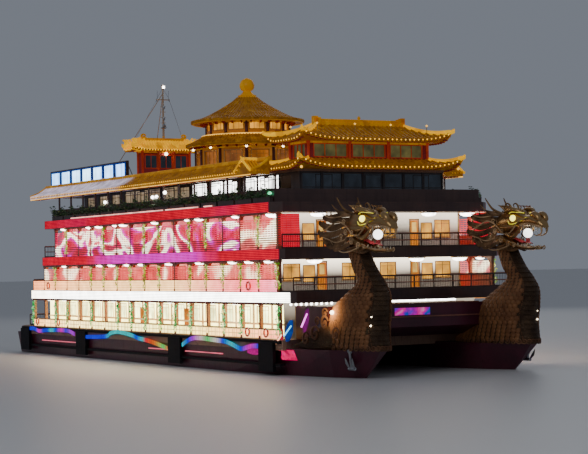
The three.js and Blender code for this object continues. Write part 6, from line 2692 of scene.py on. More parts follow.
@dataclass
class RoofGear:
    """Sign, mast, railings and plant on the roof deck.

    Args:
        sign_x: how far the sign reaches aft and forward.
        sign_z: the sign's lower and upper edge.
        boxes: number of light boxes in the sign.
        mast_x: X of the mast.
        stern: X of the after rail.
        rail_y: distance of the side rails from the middle of the boat.
        rail_z: height of the rails' top bar.
    """

    sign_x: Span = (-28.5, -9.8)
    sign_z: Span = (16.42, 18.38)
    boxes: int = 7
    mast_x: float = -18.6
    stern: float = -28.9
    rail_y: float = 8.1
    rail_z: float = 17.0

    def build(self) -> None:
        """Builds everything on the roof."""
        dress(Finishes.iron, "signboard")
        dress(Finishes.mast, "mast")
        self._sign()
        self._mast()
        self._plant()
        self._rails()

    def _sign(self) -> None:
        """Builds the blank lit sign: a face of light boxes in a steel frame, braced behind."""
        panel, frame = Sketch(), Sketch()
        x0, x1 = self.sign_x
        back = Sketch().box(self.sign_x, (-8.1, -8.062), self.sign_z)
        back.piece("sign_back", Finishes.blue_panel)
        for k in range(self.boxes):
            middle = x0 + (x1 - x0) * (k + 0.5) / self.boxes
            panel.box((middle - 0.95, middle + 0.95), (-8.16, -8.11), (16.62, 18.2))
        depth = (-8.15, -8.04)
        for z in self.sign_z:
            frame.box(self.sign_x, depth, (z - 0.05, z + 0.05))
        for k in range(self.boxes + 1):
            x = x0 + (x1 - x0) * k / self.boxes
            frame.box((x - 0.02, x + 0.02), depth, (16.4, 18.4))
        panel.piece("sign_panels", Finishes.sign, bevel=0.12)
        frame.piece("sign_frame", Finishes.iron, bevel=0.006)
        braces = []
        for k in range(11):
            x = x0 + 0.3 + (x1 - x0 - 0.6) * k / 10
            braces.append([(x, -7.84, 18.2), (x, -6.9, 16.1)])
            braces.append([(x, -7.84, 16.5), (x + 0.9 if k < 10 else x - 0.9, -7.84, 18.2)])
        bars(braces, "sign_braces", Finishes.iron, 0.035, 6)

    def _mast(self) -> None:
        """Rigs the mast: lamps, shrouds, halyards and aerials."""
        x = self.mast_x
        lamps, gear = Sketch(), Sketch()
        for z, made in ((23.2, gear), (24.3, gear), (26.3, lamps)):
            made.lathe([(0, z), (0.1, z), (0.12, z + 0.06), (0.12, z + 0.2), (0.1, z + 0.26), (0, z + 0.26)],
                       x + 0.2, 0.0, 12)
            gear.block((x + 0.1, 0, z - 0.02), (0.3, 0.12, 0.05))
        for side in (-1, 1):
            gear.tube([(x, side * 0.62, 25.22), (x, side * 0.62, 26.1)], 0.022, 6)
            gear.lathe([(0, 25.0), (0.07, 25.02), (0.07, 25.12), (0, 25.15)], x, side * 0.7, 10)
        gear.block((x + 0.1, 0, 22.4), (0.36, 0.5, 0.06))
        gear.lathe([(0, 22.43), (0.16, 22.45), (0.2, 22.6), (0.12, 22.74), (0, 22.78)], x + 0.22, 0, 16)
        lamps.piece("mast_lamp", Finishes.white_lamp, smooth=50)
        gear.piece("mast_gear", Finishes.steel, smooth=40)
        lines = [[(x, side * 0.7, 25.2), (x - 1.2, side * 3.1, 20.3)] for side in (-1, 1)]
        lines += [[(x, side * 0.1, 26.2), (x, side * 0.72, 25.22)] for side in (-1, 1)]
        bars(lines, "mast_lines", Finishes.steel, 0.018, 5)

    @staticmethod
    def _plant() -> None:
        """Sets ventilators and lockers on the roof deck."""
        plant, caps = Sketch(), Sketch()
        for x in (-13.2, -8.4, 7.0, 11.6):
            for y in (-4.6, 4.6):
                caps.lathe([(0, ROOF_DECK), (0.34, ROOF_DECK), (0.34, 16.5), (0.52, 16.56), (0.5, 16.72),
                            (0.2, 16.88), (0, 16.9)], x, y, 20)
        for x in (-24.6, -21.8):
            for y in (-3.4, 3.4):
                plant.block((x, y, 16.42), (1.7, 1.1, 0.9))
                for k in range(6):
                    plant.block((x - 0.6 + 0.24 * k, y - 0.57, 16.45), (0.12, 0.05, 0.6))
                plant.block((x, y, 16.9), (1.84, 1.24, 0.08))
        caps.piece("roof_ventilators", Finishes.white, smooth=40)
        plant.piece("roof_lockers", Finishes.cream, bevel=0.008)

    def _rails(self) -> None:
        """Runs a low rail along the port side, behind the sign and across the stern of the roof deck."""
        stern, y, top = self.stern, self.rail_y, self.rail_z
        rails = [[(-9.2, -y, top), (-7.0, -y, top)], [(stern, y, top), (-9.0, y, top)]]
        rails += [[(stern + k * 1.65, y, ROOF_DECK), (stern + k * 1.65, y, top)] for k in range(13)]
        rails += [[(stern, -6.6, z), (stern, y, z)] for z in (top, 16.5)]
        rails += [[(stern, -6.6 + k * 1.8, ROOF_DECK), (stern, -6.6 + k * 1.8, top)] for k in range(9)]
        bars(rails, "roof_rails", Finishes.iron, 0.035, 8)


@dataclass
class Hulls:
    """Hulls, fenders, light waves and what hangs on them.

    Args:
        wave: runs of the light wave on each side, as X and Z.
        strip: height of the wave.
        lines: X of the ends of the pink rows and their height.
    """

    wave: tuple[tuple[Span, ...], ...] = (
        ((-29.2, 2.5), (-28.0, 2.5), (-26.7, 2.3), (-25.0, 2.4), (-23.4, 2.45), (-20.8, 2.5), (-18.8, 2.45),
         (-17.5, 2.2)),
        ((-15.2, 2.0), (-12.0, 2.08), (-9.8, 2.2), (-8.9, 2.5), (-7.5, 2.66), (-6.0, 2.6), (-4.0, 2.4), (-2.8, 2.2),
         (-1.4, 2.1), (-0.4, 2.0), (1.2, 1.8), (3.1, 1.5)),
        ((6.0, 1.9), (7.7, 2.45), (9.4, 2.55), (11.0, 2.5), (12.4, 2.45), (13.8, 2.4), (15.0, 2.2), (16.4, 1.9),
         (17.3, 2.0), (18.2, 2.15), (19.3, 2.2)),
    )
    strip: float = 0.36
    lines: tuple[Span, ...] = ((-26.6, -17.6), (-1.3, 3.2), (6.0, 12.8))

    def build(self) -> None:
        """Dresses the hulls and builds the lights, fenders, anchors and stern gear."""
        dress(Finishes.hull, "hull_stbd", "hull_port", "fore_deck")
        dress(Finishes.rubber, "fender_rail_stbd", "fender_rail_port")
        dress(Finishes.iron, "bollard_stbd", "bollard_port")
        dress(Finishes.steel, "shaft_stbd", "shaft_port", "rudder_stbd", "rudder_port")
        dress(Finishes.brass, "propeller_stbd", "propeller_port")
        self._waves()
        self._fenders()
        self._anchors()
        self._stern()

    def _waves(self) -> None:
        """Runs the coloured wave and the pink rows along both sides."""
        wave = Sketch()
        for run in self.wave:
            path = smoothed(run, 6)
            for lift, high, out in ((0.0, self.strip / 2, 10.4), (0.0, self.strip / 2 - 0.05, 10.43)):
                wave.loft([
                    [(x, out - 0.04, z + lift - high), (x, out, z + lift - high), (x, out, z + lift + high),
                     (x, out - 0.04, z + lift + high)] for x, z in path
                ])
        wave.mirrored().piece("light_wave", Finishes.wave)
        rows = [[(a, side * 10.09, 1.37), (b, side * 10.09, 1.37)] for a, b in self.lines for side in (-1, 1)]
        bars(rows, "hull_light_rows", Finishes.pink_tube, 0.05, 8)
        glow = Sketch().loft([
            [(x, 10.12, z - 0.5 * h), (x, 10.2, z - 0.5 * h), (x, 10.2, z + 0.5 * h), (x, 10.12, z + 0.5 * h)]
            for x, z, h in ((17.2, 1.7, 0.2), (17.9, 1.75, 0.5), (18.5, 1.75, 0.55), (19.1, 1.7, 0.25))
        ])
        glow.mirrored().piece("hull_magenta_panel", Finishes.magenta_panel)
        rings = []
        for x in (21.75, 22.1, 22.5, 22.9, 23.3, 23.7):
            low, high = ((self.flank(x, z), z) for z in (1.2, 2.0))
            rings.append([(x, low[0] - 0.04, low[1]), (x, low[0] + 0.05, low[1]), (x, high[0] + 0.05, high[1]),
                          (x, high[0] - 0.04, high[1])])
        Sketch().loft(rings).mirrored().piece("bow_side_panel", Finishes.bow_glow)

    @staticmethod
    def flank(x: float, z: float) -> float:
        """Returns how far from the boat's middle line the outer side of a hull stands near its bow.

        Args:
            x: X of the place.
            z: its height above the waterline.

        Returns:
            The distance.
        """
        up = z / 2.1
        stations = ((14.0, 3.1 + 0.2 * up), (22.4 + 0.5 * up, 2.3 + 0.8 * up), (26.8 + up, 1.3 + up))
        (x0, half0), (x1, half1) = stations[0:2] if x < stations[1][0] else stations[1:3]
        return HULL_Y + half0 + (half1 - half0) * (x - x0) / (x1 - x0)

    @staticmethod
    def _fenders() -> None:
        """Ribs the fender blocks and hangs them on chains."""
        ribs, chains = Sketch(), []
        for index in (0.52, 5.9, 12.7, 17.6):
            x = post_x(index)
            for k in range(7):
                ribs.tube([(x - 0.96 + 0.32 * k, 10.42, 0.34), (x - 0.96 + 0.32 * k, 10.42, 2.44)], 0.055, 8)
            for z in (0.5, 2.28):
                ribs.block((x, 10.44, z), (2.3, 0.06, 0.1))
            for hand in (-1, 1):
                for side in (-1, 1):
                    chains.append([(x + hand * 0.8, side * 10.3, 2.5), (x + hand * 0.95, side * 10.24, 2.72)])
        ribs.mirrored().piece("fender_ribs", Finishes.rubber, smooth=50)
        bars(chains, "fender_chains", Finishes.steel, 0.045, 6)

    @staticmethod
    def _anchors() -> None:
        """Hangs an anchor in a hawse pipe at each bow."""
        for name, side in SIDES.items():
            made = Sketch()
            top, foot = Vector((29.35, side * 8.28, 2.0)), Vector((29.2, side * 8.0, 0.75))
            way = (foot - top).normalized()
            made.tube([top, foot], [0.09, 0.12], 8)
            made.tube([foot + Vector((-0.4, 0, 0)), foot + Vector((0.4, 0, 0))], 0.13, 10)
            for hand in (-1, 1):
                root = foot + Vector((hand * 0.33, 0, 0))
                tip = root - way * 0.8 + Vector((hand * 0.16, side * 0.16, 0))
                bend = (root + tip) / 2 + Vector((0, side * 0.06, 0))
                made.blade([root, bend, tip], [0.1, 0.2, 0.02], 0.06, (1, 0, 0))
            made.tube([top, top + Vector((-0.12, -side * 0.3, 0.16))], 0.2, 12)
            made.piece(f"anchor_{name}", Finishes.steel, smooth=40)

    @staticmethod
    def _stern() -> None:
        """Sets ladders and a tyre row on the transom."""
        rungs, tyres = [], Sketch()
        for y in (-3.0, 3.0):
            for side in (-0.25, 0.25):
                rungs.append([(-33.37, y + side, 0.4), (-33.37, y + side, 3.5)])
            for k in range(8):
                rungs.append([(-33.37, y - 0.25, 0.6 + 0.36 * k), (-33.37, y + 0.25, 0.6 + 0.36 * k)])
        bars(rungs, "stern_ladders", Finishes.steel, 0.03, 6)
        for y in (-8.4, -6.8, -5.2, 5.2, 6.8, 8.4):
            tyres.hoop((-33.25, y, 1.5), 0.42, 0.14, 28, "x")
        tyres.piece("stern_tyres", Finishes.rubber, smooth=60)


@dataclass
class ForeDeck:
    """The forecastle between the dragons: bulwark trim, windlass, light strips and colour wash."""

    def build(self) -> None:
        """Builds everything forward of the house."""
        self._bulwark()
        self._windlass()
        self._lights()

    @staticmethod
    def _bulwark() -> None:
        """Caps the bulwark and stiffens it outside and inside."""
        trim = Sketch()
        trim.block((27.3, 0, 5.33), (0.3, 9.6, 0.08))
        for k in range(9):
            trim.block((27.14, -4.4 + 1.1 * k, 4.78), (0.1, 0.06, 0.95))
        trim.block((27.43, 0, 4.32), (0.06, 9.6, 0.1))
        trim.piece("bulwark_trim", Finishes.rubbing, bevel=0.006)
        wash = Sketch()
        rows = []
        for k in range(25):
            y = -3.0 + 3.2 * k / 24
            rows.append([(27.405, y, 4.45), (27.43, y, 4.45), (27.43, y, 5.0), (27.405, y, 5.0)])
        wash.loft(rows)
        wash.piece("bulwark_colour_board", Finishes.bow_board)

    @staticmethod
    def _windlass() -> None:
        """Sets the windlass, its motor, a hatch and chain stoppers on the forecastle."""
        iron, hatch = Sketch(), Sketch()
        for y in (-1.6, 1.6):
            for off in (-0.7, 0.7):
                iron.block((25.0, y + off, 4.75), (0.7, 0.12, 0.9))
            iron.tube([(25.0, y - 1.1, 4.85), (25.0, y + 1.1, 4.85)], 0.12, 12)
            iron.tube([(25.0, y - 0.5, 4.85), (25.0, y + 0.5, 4.85)], 0.32, 20)
            for off in (-1.15, 1.15):
                iron.tube([(25.0, y + off - 0.15, 4.85), (25.0, y + off, 4.85), (25.0, y + off + 0.15, 4.85)],
                          [0.26, 0.17, 0.26], 16)
            iron.block((24.3, y, 4.55), (0.5, 0.6, 0.48))
        hatch.block((25.2, 5.2, 4.42), (1.3, 1.3, 0.22))
        hatch.block((25.2, 5.2, 4.56), (1.42, 1.42, 0.06))
        hatch.block((25.2, -5.2, 4.5), (1.6, 0.9, 0.4))
        iron.piece("windlass", Finishes.iron, bevel=0.006)
        hatch.piece("deck_hatches", Finishes.rubbing, bevel=0.008)

    @staticmethod
    def _lights() -> None:
        """Sets the white strips under the first deck and the coloured tubes abaft the dragons, with a painted pool of
        each tube's light on the hull.
        """
        strips = Sketch()
        for a, b in ((-0.48, 1.0), (1.1, 2.6), (2.68, 4.1), (4.2, 5.54), (-4.6, -3.2), (-3.0, -1.6)):
            strips.box((23.1, 23.3), (a, b), (5.36, 5.52))
        for k in range(9):
            strips.ball((23.2, -9.6 + 0.45 * k, 5.42), 0.1, 6)
        strips.piece("front_light_strips", Finishes.white_lamp, bevel=0.01)
        for label, a, b, finish, board in (
            ("red", (21.85, 2.46), (22.7, 3.13), Finishes.red_tube, Finishes.crimson_panel),
            ("cyan", (23.1, 3.07), (24.2, 3.84), Finishes.cyan_tube, Finishes.blue_panel),
            ("magenta", (25.75, 3.8), (26.6, 4.78), Finishes.magenta_tube, Finishes.purple_panel),
        ):
            lines = [[(a[0], side * 10.2, a[1]), (b[0], side * 10.2, b[1])] for side in (-1, 1)]
            bars(lines, f"{label}_tubes", finish, 0.06, 10)
            # Painted light: a board on the hull, widest in the middle, glowing round the tube.
            rows = []
            for k in range(7):
                t = k / 6
                x, z = a[0] + (b[0] - a[0]) * t, a[1] + (b[1] - a[1]) * t
                high = 0.42 + 0.3 * math.sin(math.pi * t)
                rows.append([(x, 10.02, z - high), (x, 10.08, z - high), (x, 10.08, z + high), (x, 10.02, z + high)])
            Sketch().loft(rows).mirrored().piece(f"{label}_glow_boards", board)


@dataclass
class Dragon:
    """A gilded dragon on one bow.

    Args:
        name: which side it is on.
        rings: its body as rows of Z, middle X, half length and half width.
        skull: the skull as rows of X, middle Z, half height and half width.
        jaw: the lower jaw in the same form.
        swells: bars that model the skull: steps between points, sides, widths and points, each point as X, distance
            from the head's middle and Z.
        curls: gilt bars of the lips and whiskers, and pale bars that paint highlights over the cheek and along two
            locks of the mane: steps between points, first width, loss of width and points.
        antlers: bars of the antlers and the crown curl: first width, loss of width, sides and points.
        locks: root, bend and tip of each lock of the mane and its width.
        scute: height of one scute down the front.
        front: how far the front scutes reach round the body, as an angle.
    """

    name: str
    rings: tuple[tuple[float, ...], ...] = (
        (2.1, 26.9, 5.0, 1.75), (3.8, 27.95, 3.4, 2.0), (5.1, 28.75, 2.8, 1.85), (6.2, 29.75, 1.95, 1.4),
        (7.1, 30.15, 1.05, 0.95), (8.0, 29.4, 0.9, 0.85), (9.3, 28.6, 0.78, 0.75), (10.1, 28.45, 0.7, 0.7),
    )
    skull: tuple[tuple[float, ...], ...] = (
        (27.1, 10.95, 0.35, 0.45), (28.0, 11.15, 0.75, 0.8), (29.2, 11.35, 1.0, 1.0), (30.3, 11.5, 0.86, 0.95),
        (31.2, 11.42, 0.5, 0.68), (32.2, 11.42, 0.46, 0.6), (32.95, 11.22, 0.42, 0.5), (33.35, 11.0, 0.2, 0.3),
    )
    jaw: tuple[tuple[float, ...], ...] = (
        (27.4, 10.3, 0.4, 0.6), (28.6, 10.2, 0.7, 0.8), (29.7, 9.9, 0.55, 0.72), (30.5, 9.55, 0.26, 0.58),
        (31.5, 9.36, 0.17, 0.46), (32.7, 9.36, 0.13, 0.28),
    )
    swells: tuple[tuple[int, int, Row, tuple[Point, ...]], ...] = (
        (4, 10, (0.1, 0.13, 0.16, 0.19, 0.22, 0.22, 0.22, 0.2, 0.19, 0.16, 0.12, 0.08, 0.05),
         ((29.3, 0.75, 12.1), (30.0, 0.9, 12.32), (30.8, 0.82, 12.26), (31.5, 0.5, 11.95))),
        (3, 12, (0.1, 0.18, 0.24, 0.27, 0.27, 0.25, 0.22, 0.18, 0.14, 0.08),
         ((32.0, 0.3, 11.85), (32.6, 0.36, 11.85), (33.0, 0.32, 11.5), (32.75, 0.34, 11.25))),
        (1, 10, (0.2, 0.22, 0.1), ((28.9, 0.85, 11.0), (29.9, 0.9, 10.95), (30.9, 0.68, 11.02))),
        (3, 10, (0.2, 0.2, 0.19, 0.18, 0.17, 0.16, 0.14, 0.12, 0.1, 0.08),
         ((29.6, 0.78, 10.5), (30.2, 0.74, 10.25), (30.7, 0.68, 10.5), (31.2, 0.62, 10.95))),
    )
    curls: tuple[tuple[int, float, float, tuple[Point, ...]], ...] = (
        (3, 0.05, 0.0, ((32.6, 0.28, 9.42), (32.85, 0.26, 9.5), (32.95, 0.24, 9.34), (32.8, 0.22, 9.24))),
        # Painted highlights: the S line over the cheek here and the two lines after it, along locks of the mane.
        (4, 0.055, 0.0, (
            (26.6, 1.85, 10.8), (27.3, 1.75, 11.2), (28.0, 1.5, 11.5), (28.5, 1.28, 11.35), (28.95, 1.14, 10.97),
            (29.35, 1.1, 10.6), (30.0, 1.02, 10.45), (30.5, 0.96, 10.75), (30.9, 0.86, 11.2), (31.3, 0.74, 11.5),
            (31.9, 0.64, 11.62))),
        (4, 0.045, 0.0, ((28.4, 1.05, 11.95), (27.6, 1.45, 11.85), (26.9, 1.6, 11.9), (26.2, 1.65, 12.15))),
        (4, 0.04, 0.0, ((28.6, 1.2, 10.2), (27.9, 1.6, 10.0), (27.2, 1.8, 10.25), (26.6, 1.9, 10.4))),
        (4, 0.09, 0.004, ((33.15, 0.3, 10.95), (33.24, 0.26, 10.7), (33.05, 0.22, 10.4), (32.5, 0.2, 10.28),
                          (32.15, 0.18, 10.42))),
        (6, 0.06, 0.0016, ((29.9, 0.85, 9.6), (29.2, 1.25, 9.3), (28.3, 1.4, 9.3), (27.5, 1.5, 9.75),
                           (27.1, 1.6, 10.2))),
    )
    antlers: tuple[tuple[float, float, int, tuple[Point, ...]], ...] = (
        (0.13, 0.006, 10, ((28.9, 0.45, 12.0), (28.3, 0.6, 12.2), (27.75, 0.75, 12.5), (27.35, 0.85, 12.95),
                           (27.05, 0.9, 13.35))),
        (0.1, 0.0065, 8, ((28.2, 0.63, 12.25), (27.6, 0.85, 12.25), (27.1, 1.0, 12.45), (26.65, 1.1, 12.85))),
        (0.09, 0.004, 8, ((29.7, 0.3, 12.15), (29.6, 0.35, 12.6), (29.25, 0.4, 12.85), (28.95, 0.4, 12.75),
                          (29.05, 0.4, 12.55))),
    )
    locks: tuple[tuple[Point, Point, Point, float], ...] = (
        ((28.9, 0.6, 12.0), (27.7, 1.1, 12.1), (26.3, 1.3, 12.05), 0.17),
        ((28.6, 0.7, 11.7), (27.4, 1.3, 11.65), (26.1, 1.55, 11.85), 0.2),
        ((28.4, 0.8, 11.4), (27.2, 1.45, 11.05), (26.0, 1.7, 11.3), 0.22),
        ((28.3, 0.8, 11.0), (27.2, 1.5, 10.6), (26.1, 1.8, 10.75), 0.22),
        ((28.3, 0.8, 10.6), (27.4, 1.5, 10.1), (26.5, 1.75, 10.2), 0.2),
        ((28.5, 0.8, 10.3), (27.8, 1.4, 9.8), (27.0, 1.6, 9.75), 0.18),
        ((29.0, 0.8, 10.05), (28.3, 1.3, 9.6), (27.6, 1.45, 9.5), 0.15),
    )
    scute: float = 0.36
    front: float = 0.62

    def edge(self, half: float) -> float:
        """Returns how far the front scutes reach round the body from ahead, by the body's half width."""
        return self.front - 0.2 * min(1.0, max(0.0, half - 0.75))

    @property
    def y(self) -> float:
        """Returns the Y of the dragon's middle."""
        return SIDES[self.name] * HULL_Y

    def on(self, hand: int, points: Line) -> list[Point]:
        """Returns points on one side of the head, each given as X, distance from the head's middle and Z."""
        return [(x, self.y + hand * off, z) for x, off, z in points]

    def build(self) -> None:
        """Builds the body, the head and the pearl."""
        self._body()
        self._scales()
        self._trim()
        self._head()
        self._mouth()
        self._eyes()
        self._mane()
        self._horns()
        pearl = Sketch().ball((31.2, self.y, 10.5), 0.36, 16)
        made = pearl.piece(f"pearl_lamp_{self.name}", Finishes.pearl, smooth=60)
        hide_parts(f"pearl_{self.name}")

    def at(self, row: Row, angle: float, grow: float = 0.0) -> Vector:
        """Returns a point of the body.

        Args:
            row: height, middle X, half length and half width there.
            angle: direction from the axis, 0 forward.
            grow: distance outside the surface.
        """
        z, x, a, b = row
        return Vector((x + (a + grow) * math.cos(angle), self.y + (b + grow) * math.sin(angle), z))

    def spot(self, z: float) -> tuple[float, ...]:
        """Returns the body's row at a height.

        Args:
            z: the height.

        Returns:
            The row.
        """
        rows = smoothed(self.rings, 16)
        for low, high in zip(rows, rows[1:]):
            if low[0] <= z <= high[0]:
                t = (z - low[0]) / max(high[0] - low[0], 1e-6)
                return tuple(a + (b - a) * t for a, b in zip(low, high))
        return rows[-1]

    def _body(self) -> None:
        """Builds the body with overlapping scutes down its front."""
        rings = []
        for row in smoothed(self.rings, 16):
            step = ((row[0] - 2.1) / self.scute) % 1.0
            ring = []
            for k in range(56):
                angle = math.tau * k / 56
                off = abs((angle + math.pi) % math.tau - math.pi)
                lift = 0.11 * (1 - step) if off < self.edge(row[3]) else 0.0
                ring.append(tuple(self.at(row, angle, lift)))
            rings.append(ring)
        body = Sketch().loft(rings)
        side = SIDES[self.name]
        tail = smoothed((
            (24.0, 1.0, 2.2, 2.4, 9.5), (25.0, 2.3, 2.1, 2.9, 9.25), (26.4, 2.85, 2.1, 3.7, 9.05),
            (28.0, 3.2, 2.1, 4.6, 8.2),
        ), 6)
        rings = []
        for x, _, low, high, y in tail:
            middle, half = (low + high) / 2, (high - low) / 2
            rings.append([
                (x, side * y + side * 0.42 * math.cos(math.tau * k / 20), middle + half * math.sin(math.tau * k / 20))
                for k in range(20)
            ])
        body.loft(rings)
        made = body.piece(f"dragon_skin_{self.name}", Finishes.skin, smooth=38)
        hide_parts(f"dragon_body_{self.name}")

    def _scales(self) -> None:
        """Lays overlapping scales over the body's sides and a row of beads along the scutes."""
        spots, beads = Spots(), Spots()
        z, odd = 2.5, False
        while z < 9.6:
            row, above, below = self.spot(z), self.spot(z + 0.05), self.spot(z - 0.05)
            around = math.pi * (row[2] + row[3])
            size = 0.8 + 0.5 * min(1.0, row[2] / 3.0)
            count = int(around / (0.3 * size))
            for k in range(count):
                angle = math.tau * (k + (0.5 if odd else 0.0)) / count
                off = abs((angle + math.pi) % math.tau - math.pi)
                if off < self.edge(row[3]) + 0.1 or off > math.pi - 0.16:
                    continue
                place = self.at(row, angle, 0.01)
                along = self.at(row, angle + 0.02) - self.at(row, angle - 0.02)
                up = self.at(above, angle) - self.at(below, angle)
                out = along.cross(up).normalized()
                spots.add(place, (out + 0.12 * up.normalized()).normalized(), -up.normalized(), size)
            for hand in (-1, 1):
                for n in range(2):
                    spot = self.spot(z + 0.12 * n)
                    beads.add(self.at(spot, hand * (self.edge(spot[3]) + 0.03), 0.04), (0, 0, 1), (1, 0, 0))
            z += 0.24 * size
            odd = not odd
        spots.piece(dragon_scale(), f"dragon_scales_{self.name}", Finishes.scale, 40.0)
        beads.piece(Sketch().ball((0, 0, 0), 0.055, 5), f"dragon_beads_{self.name}", Finishes.relief, 60.0)

    def _trim(self) -> None:
        """Runs the pale ridge down the back, the waves at the foot and the clouds on the flank."""
        ridge = Sketch()
        path = [tuple(self.at(self.spot(9.9 - 0.2 * k), math.pi, 0.02)) for k in range(36)]
        widths = [0.13 + 0.1 * min(1.0, k / 20) for k in range(len(path))]
        ridge.tube(path, widths, 12, 1.0)
        ridge.piece(f"dragon_spine_{self.name}", Finishes.gilt, smooth=60)
        curls, clouds, lamps = Spots(), Sketch(), Sketch()
        row = self.spot(2.25)
        for k in range(44):
            angle = math.tau * k / 44
            out = Vector((math.cos(angle) / row[2], math.sin(angle) / row[3], 0)).normalized()
            place = self.at(row, angle, 0.05)
            curls.add((place.x, place.y, 2.28), tuple(out), tuple(out.cross(Vector((0, 0, 1)))), 0.8)
        curls.piece(volute(0.28, 0.055), f"dragon_waves_{self.name}", Finishes.relief, 50.0)
        side = SIDES[self.name]
        for x, y, z, size in (
            (25.4, 9.62, 2.9, 0.55), (26.5, 9.45, 3.3, 0.6), (27.3, 9.1, 4.1, 0.55), (27.1, 8.95, 4.8, 0.4),
            (28.6, 8.95, 3.3, 0.5), (26.4, 9.2, 4.2, 0.36), (28.4, 8.8, 4.0, 0.36),
        ):
            clouds.merge(volute(size, 0.15 * size), (x, side * y, z), side)
        clouds.piece(f"dragon_clouds_{self.name}", Finishes.relief, smooth=50)
        lamps.ball((27.9, side * 8.82, 4.86), 0.16, 8)
        for x, y, z in ((31.15, 7.55, 3.9), (31.2, 7.5, 4.55)):
            lamps.ball((x, side * y, z), 0.07, 6)
        lamps.piece(f"dragon_spot_lamps_{self.name}", Finishes.warm_lamp, smooth=60)

    def _head(self) -> None:
        """Builds the skull with its brows, snout and nose."""
        head, rings = Sketch(), []
        skull = smoothed(self.skull, 7)
        for x, z, h, w in skull:
            ring = []
            for k in range(28):
                c, s = math.cos(math.tau * k / 28), math.sin(math.tau * k / 28)
                flat = 0.82 if s < 0 else 1.0
                ring.append((x, self.y + w * math.copysign(abs(c) ** 0.85, c),
                             z + flat * h * math.copysign(abs(s) ** 0.9, s)))
            rings.append(ring)
        head.loft(rings)
        for hand in (-1, 1):
            for parts, sides, widths, points in self.swells:
                head.tube(smoothed(self.on(hand, points), parts), widths, sides)
            for k in range(4):
                root, tip = (29.4 + 0.4 * k, 0.78, 12.3 - 0.02 * k * k), (28.8 + 0.36 * k, 1.0, 12.75 - 0.06 * k)
                bend = ((root[0] + tip[0]) / 2 + 0.1, 0.95, 12.6)
                head.blade(self.on(hand, (root, bend, tip)), [0.07, 0.08, 0.01], 0.03, (0, 0, 1))
        for k in range(9):
            x = 30.0 + 0.27 * k
            row = next(r for r in skull if r[0] >= x)
            head.ball((x, self.y, row[1] + row[2] + 0.01), 0.1, 5, 0.8)
        made = head.piece(f"dragon_skull_{self.name}", Finishes.bronze, smooth=50)
        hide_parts(f"dragon_head_{self.name}")

    def _mouth(self) -> None:
        """Builds the jaw, lips, teeth, tongue and the curl that hangs from the upper lip."""
        jaw, gilt, teeth, tongue = Sketch(), Sketch(), Sketch(), Sketch()
        rows = smoothed(self.jaw, 7)
        turns = [(math.cos(math.tau * k / 20), math.sin(math.tau * k / 20)) for k in range(20)]
        jaw.loft([
            [(x, self.y + w * c, z + h * (0.35 if s > 0 else 1.0) * s) for c, s in turns] for x, z, h, w in rows
        ])
        upper = [row for row in smoothed(self.skull, 7) if 31.0 < row[0] < 33.2]
        for hand in (-1, 1):
            gilt.tube(self.on(hand, [(x, w * 0.93, z - 0.55 * h) for x, z, h, w in upper]), 0.085, 8)
            gilt.tube(self.on(hand, [(x, w * 0.96, z + 0.05) for x, z, _, w in rows if x > 29.9]), 0.05, 8)
            # Some of the curls are pale lines that paint highlights over the cheek and along the mane.
            for parts, width, fall, points in self.curls:
                line = smoothed(self.on(hand, points), parts)
                gilt.tube(line, [width - fall * k for k in range(len(line))], 8)
            for k, (x, z, h, w) in enumerate(upper[::2]):
                long = 0.5 if k in (1, 7) else 0.24
                root = (x, self.y + hand * w * 0.82, z - 0.62 * h)
                teeth.tube([root, (x + 0.03, root[1], root[2] - long)], [0.07, 0.012], 6)
            for k, (x, z, h, w) in enumerate([row for row in rows if row[0] > 30.4][::3]):
                long = 0.46 if k == 5 else 0.2
                root = (x, self.y + hand * w * 0.78, z + 0.05)
                teeth.tube([root, (x + 0.02, root[1], root[2] + long)], [0.065, 0.012], 6)
        middle = ((29.2, 10.2), (30.0, 10.05), (30.7, 9.8), (31.2, 9.82), (31.7, 9.7))
        tongue.blade(smoothed([(x, self.y, z) for x, z in middle], 4), [0.38 - 0.016 * k for k in range(17)], 0.07,
                     (0, 1, 0))
        tongue.block((31.2, self.y, 9.94), (0.26, 0.2, 0.3))
        jaw.piece(f"dragon_jaw_{self.name}", Finishes.bronze, smooth=50)
        gilt.piece(f"dragon_lips_{self.name}", Finishes.pale_gilt, smooth=60)
        teeth.piece(f"dragon_teeth_{self.name}", Finishes.ivory, smooth=50)
        tongue.piece(f"dragon_tongue_{self.name}", Finishes.crimson, smooth=50)

    def _eyes(self) -> None:
        """Sets lit eyes and lit lines above and below them."""
        eyes, rims = Sketch(), Sketch()
        for hand in (-1, 1):
            eyes.ball(self.on(hand, ((30.5, 0.86, 11.66),))[0], 0.25, 10)
            under = ((30.0, 0.96, 11.5), (30.2, 1.0, 11.24), (30.7, 0.94, 11.22), (31.2, 0.76, 11.42),
                     (31.8, 0.6, 11.68))
            over = ((30.1, 0.92, 12.02), (30.5, 0.98, 12.12), (31.1, 0.84, 12.1), (31.6, 0.62, 12.02))
            for line, width in ((under, 0.032), (over, 0.026)):
                rims.tube(smoothed(self.on(hand, line), 4), width, 8)
        eyes.piece(f"dragon_eyes_{self.name}", Finishes.eye, smooth=60)
        rims.piece(f"dragon_eye_rims_{self.name}", Finishes.eye_rim, smooth=60)

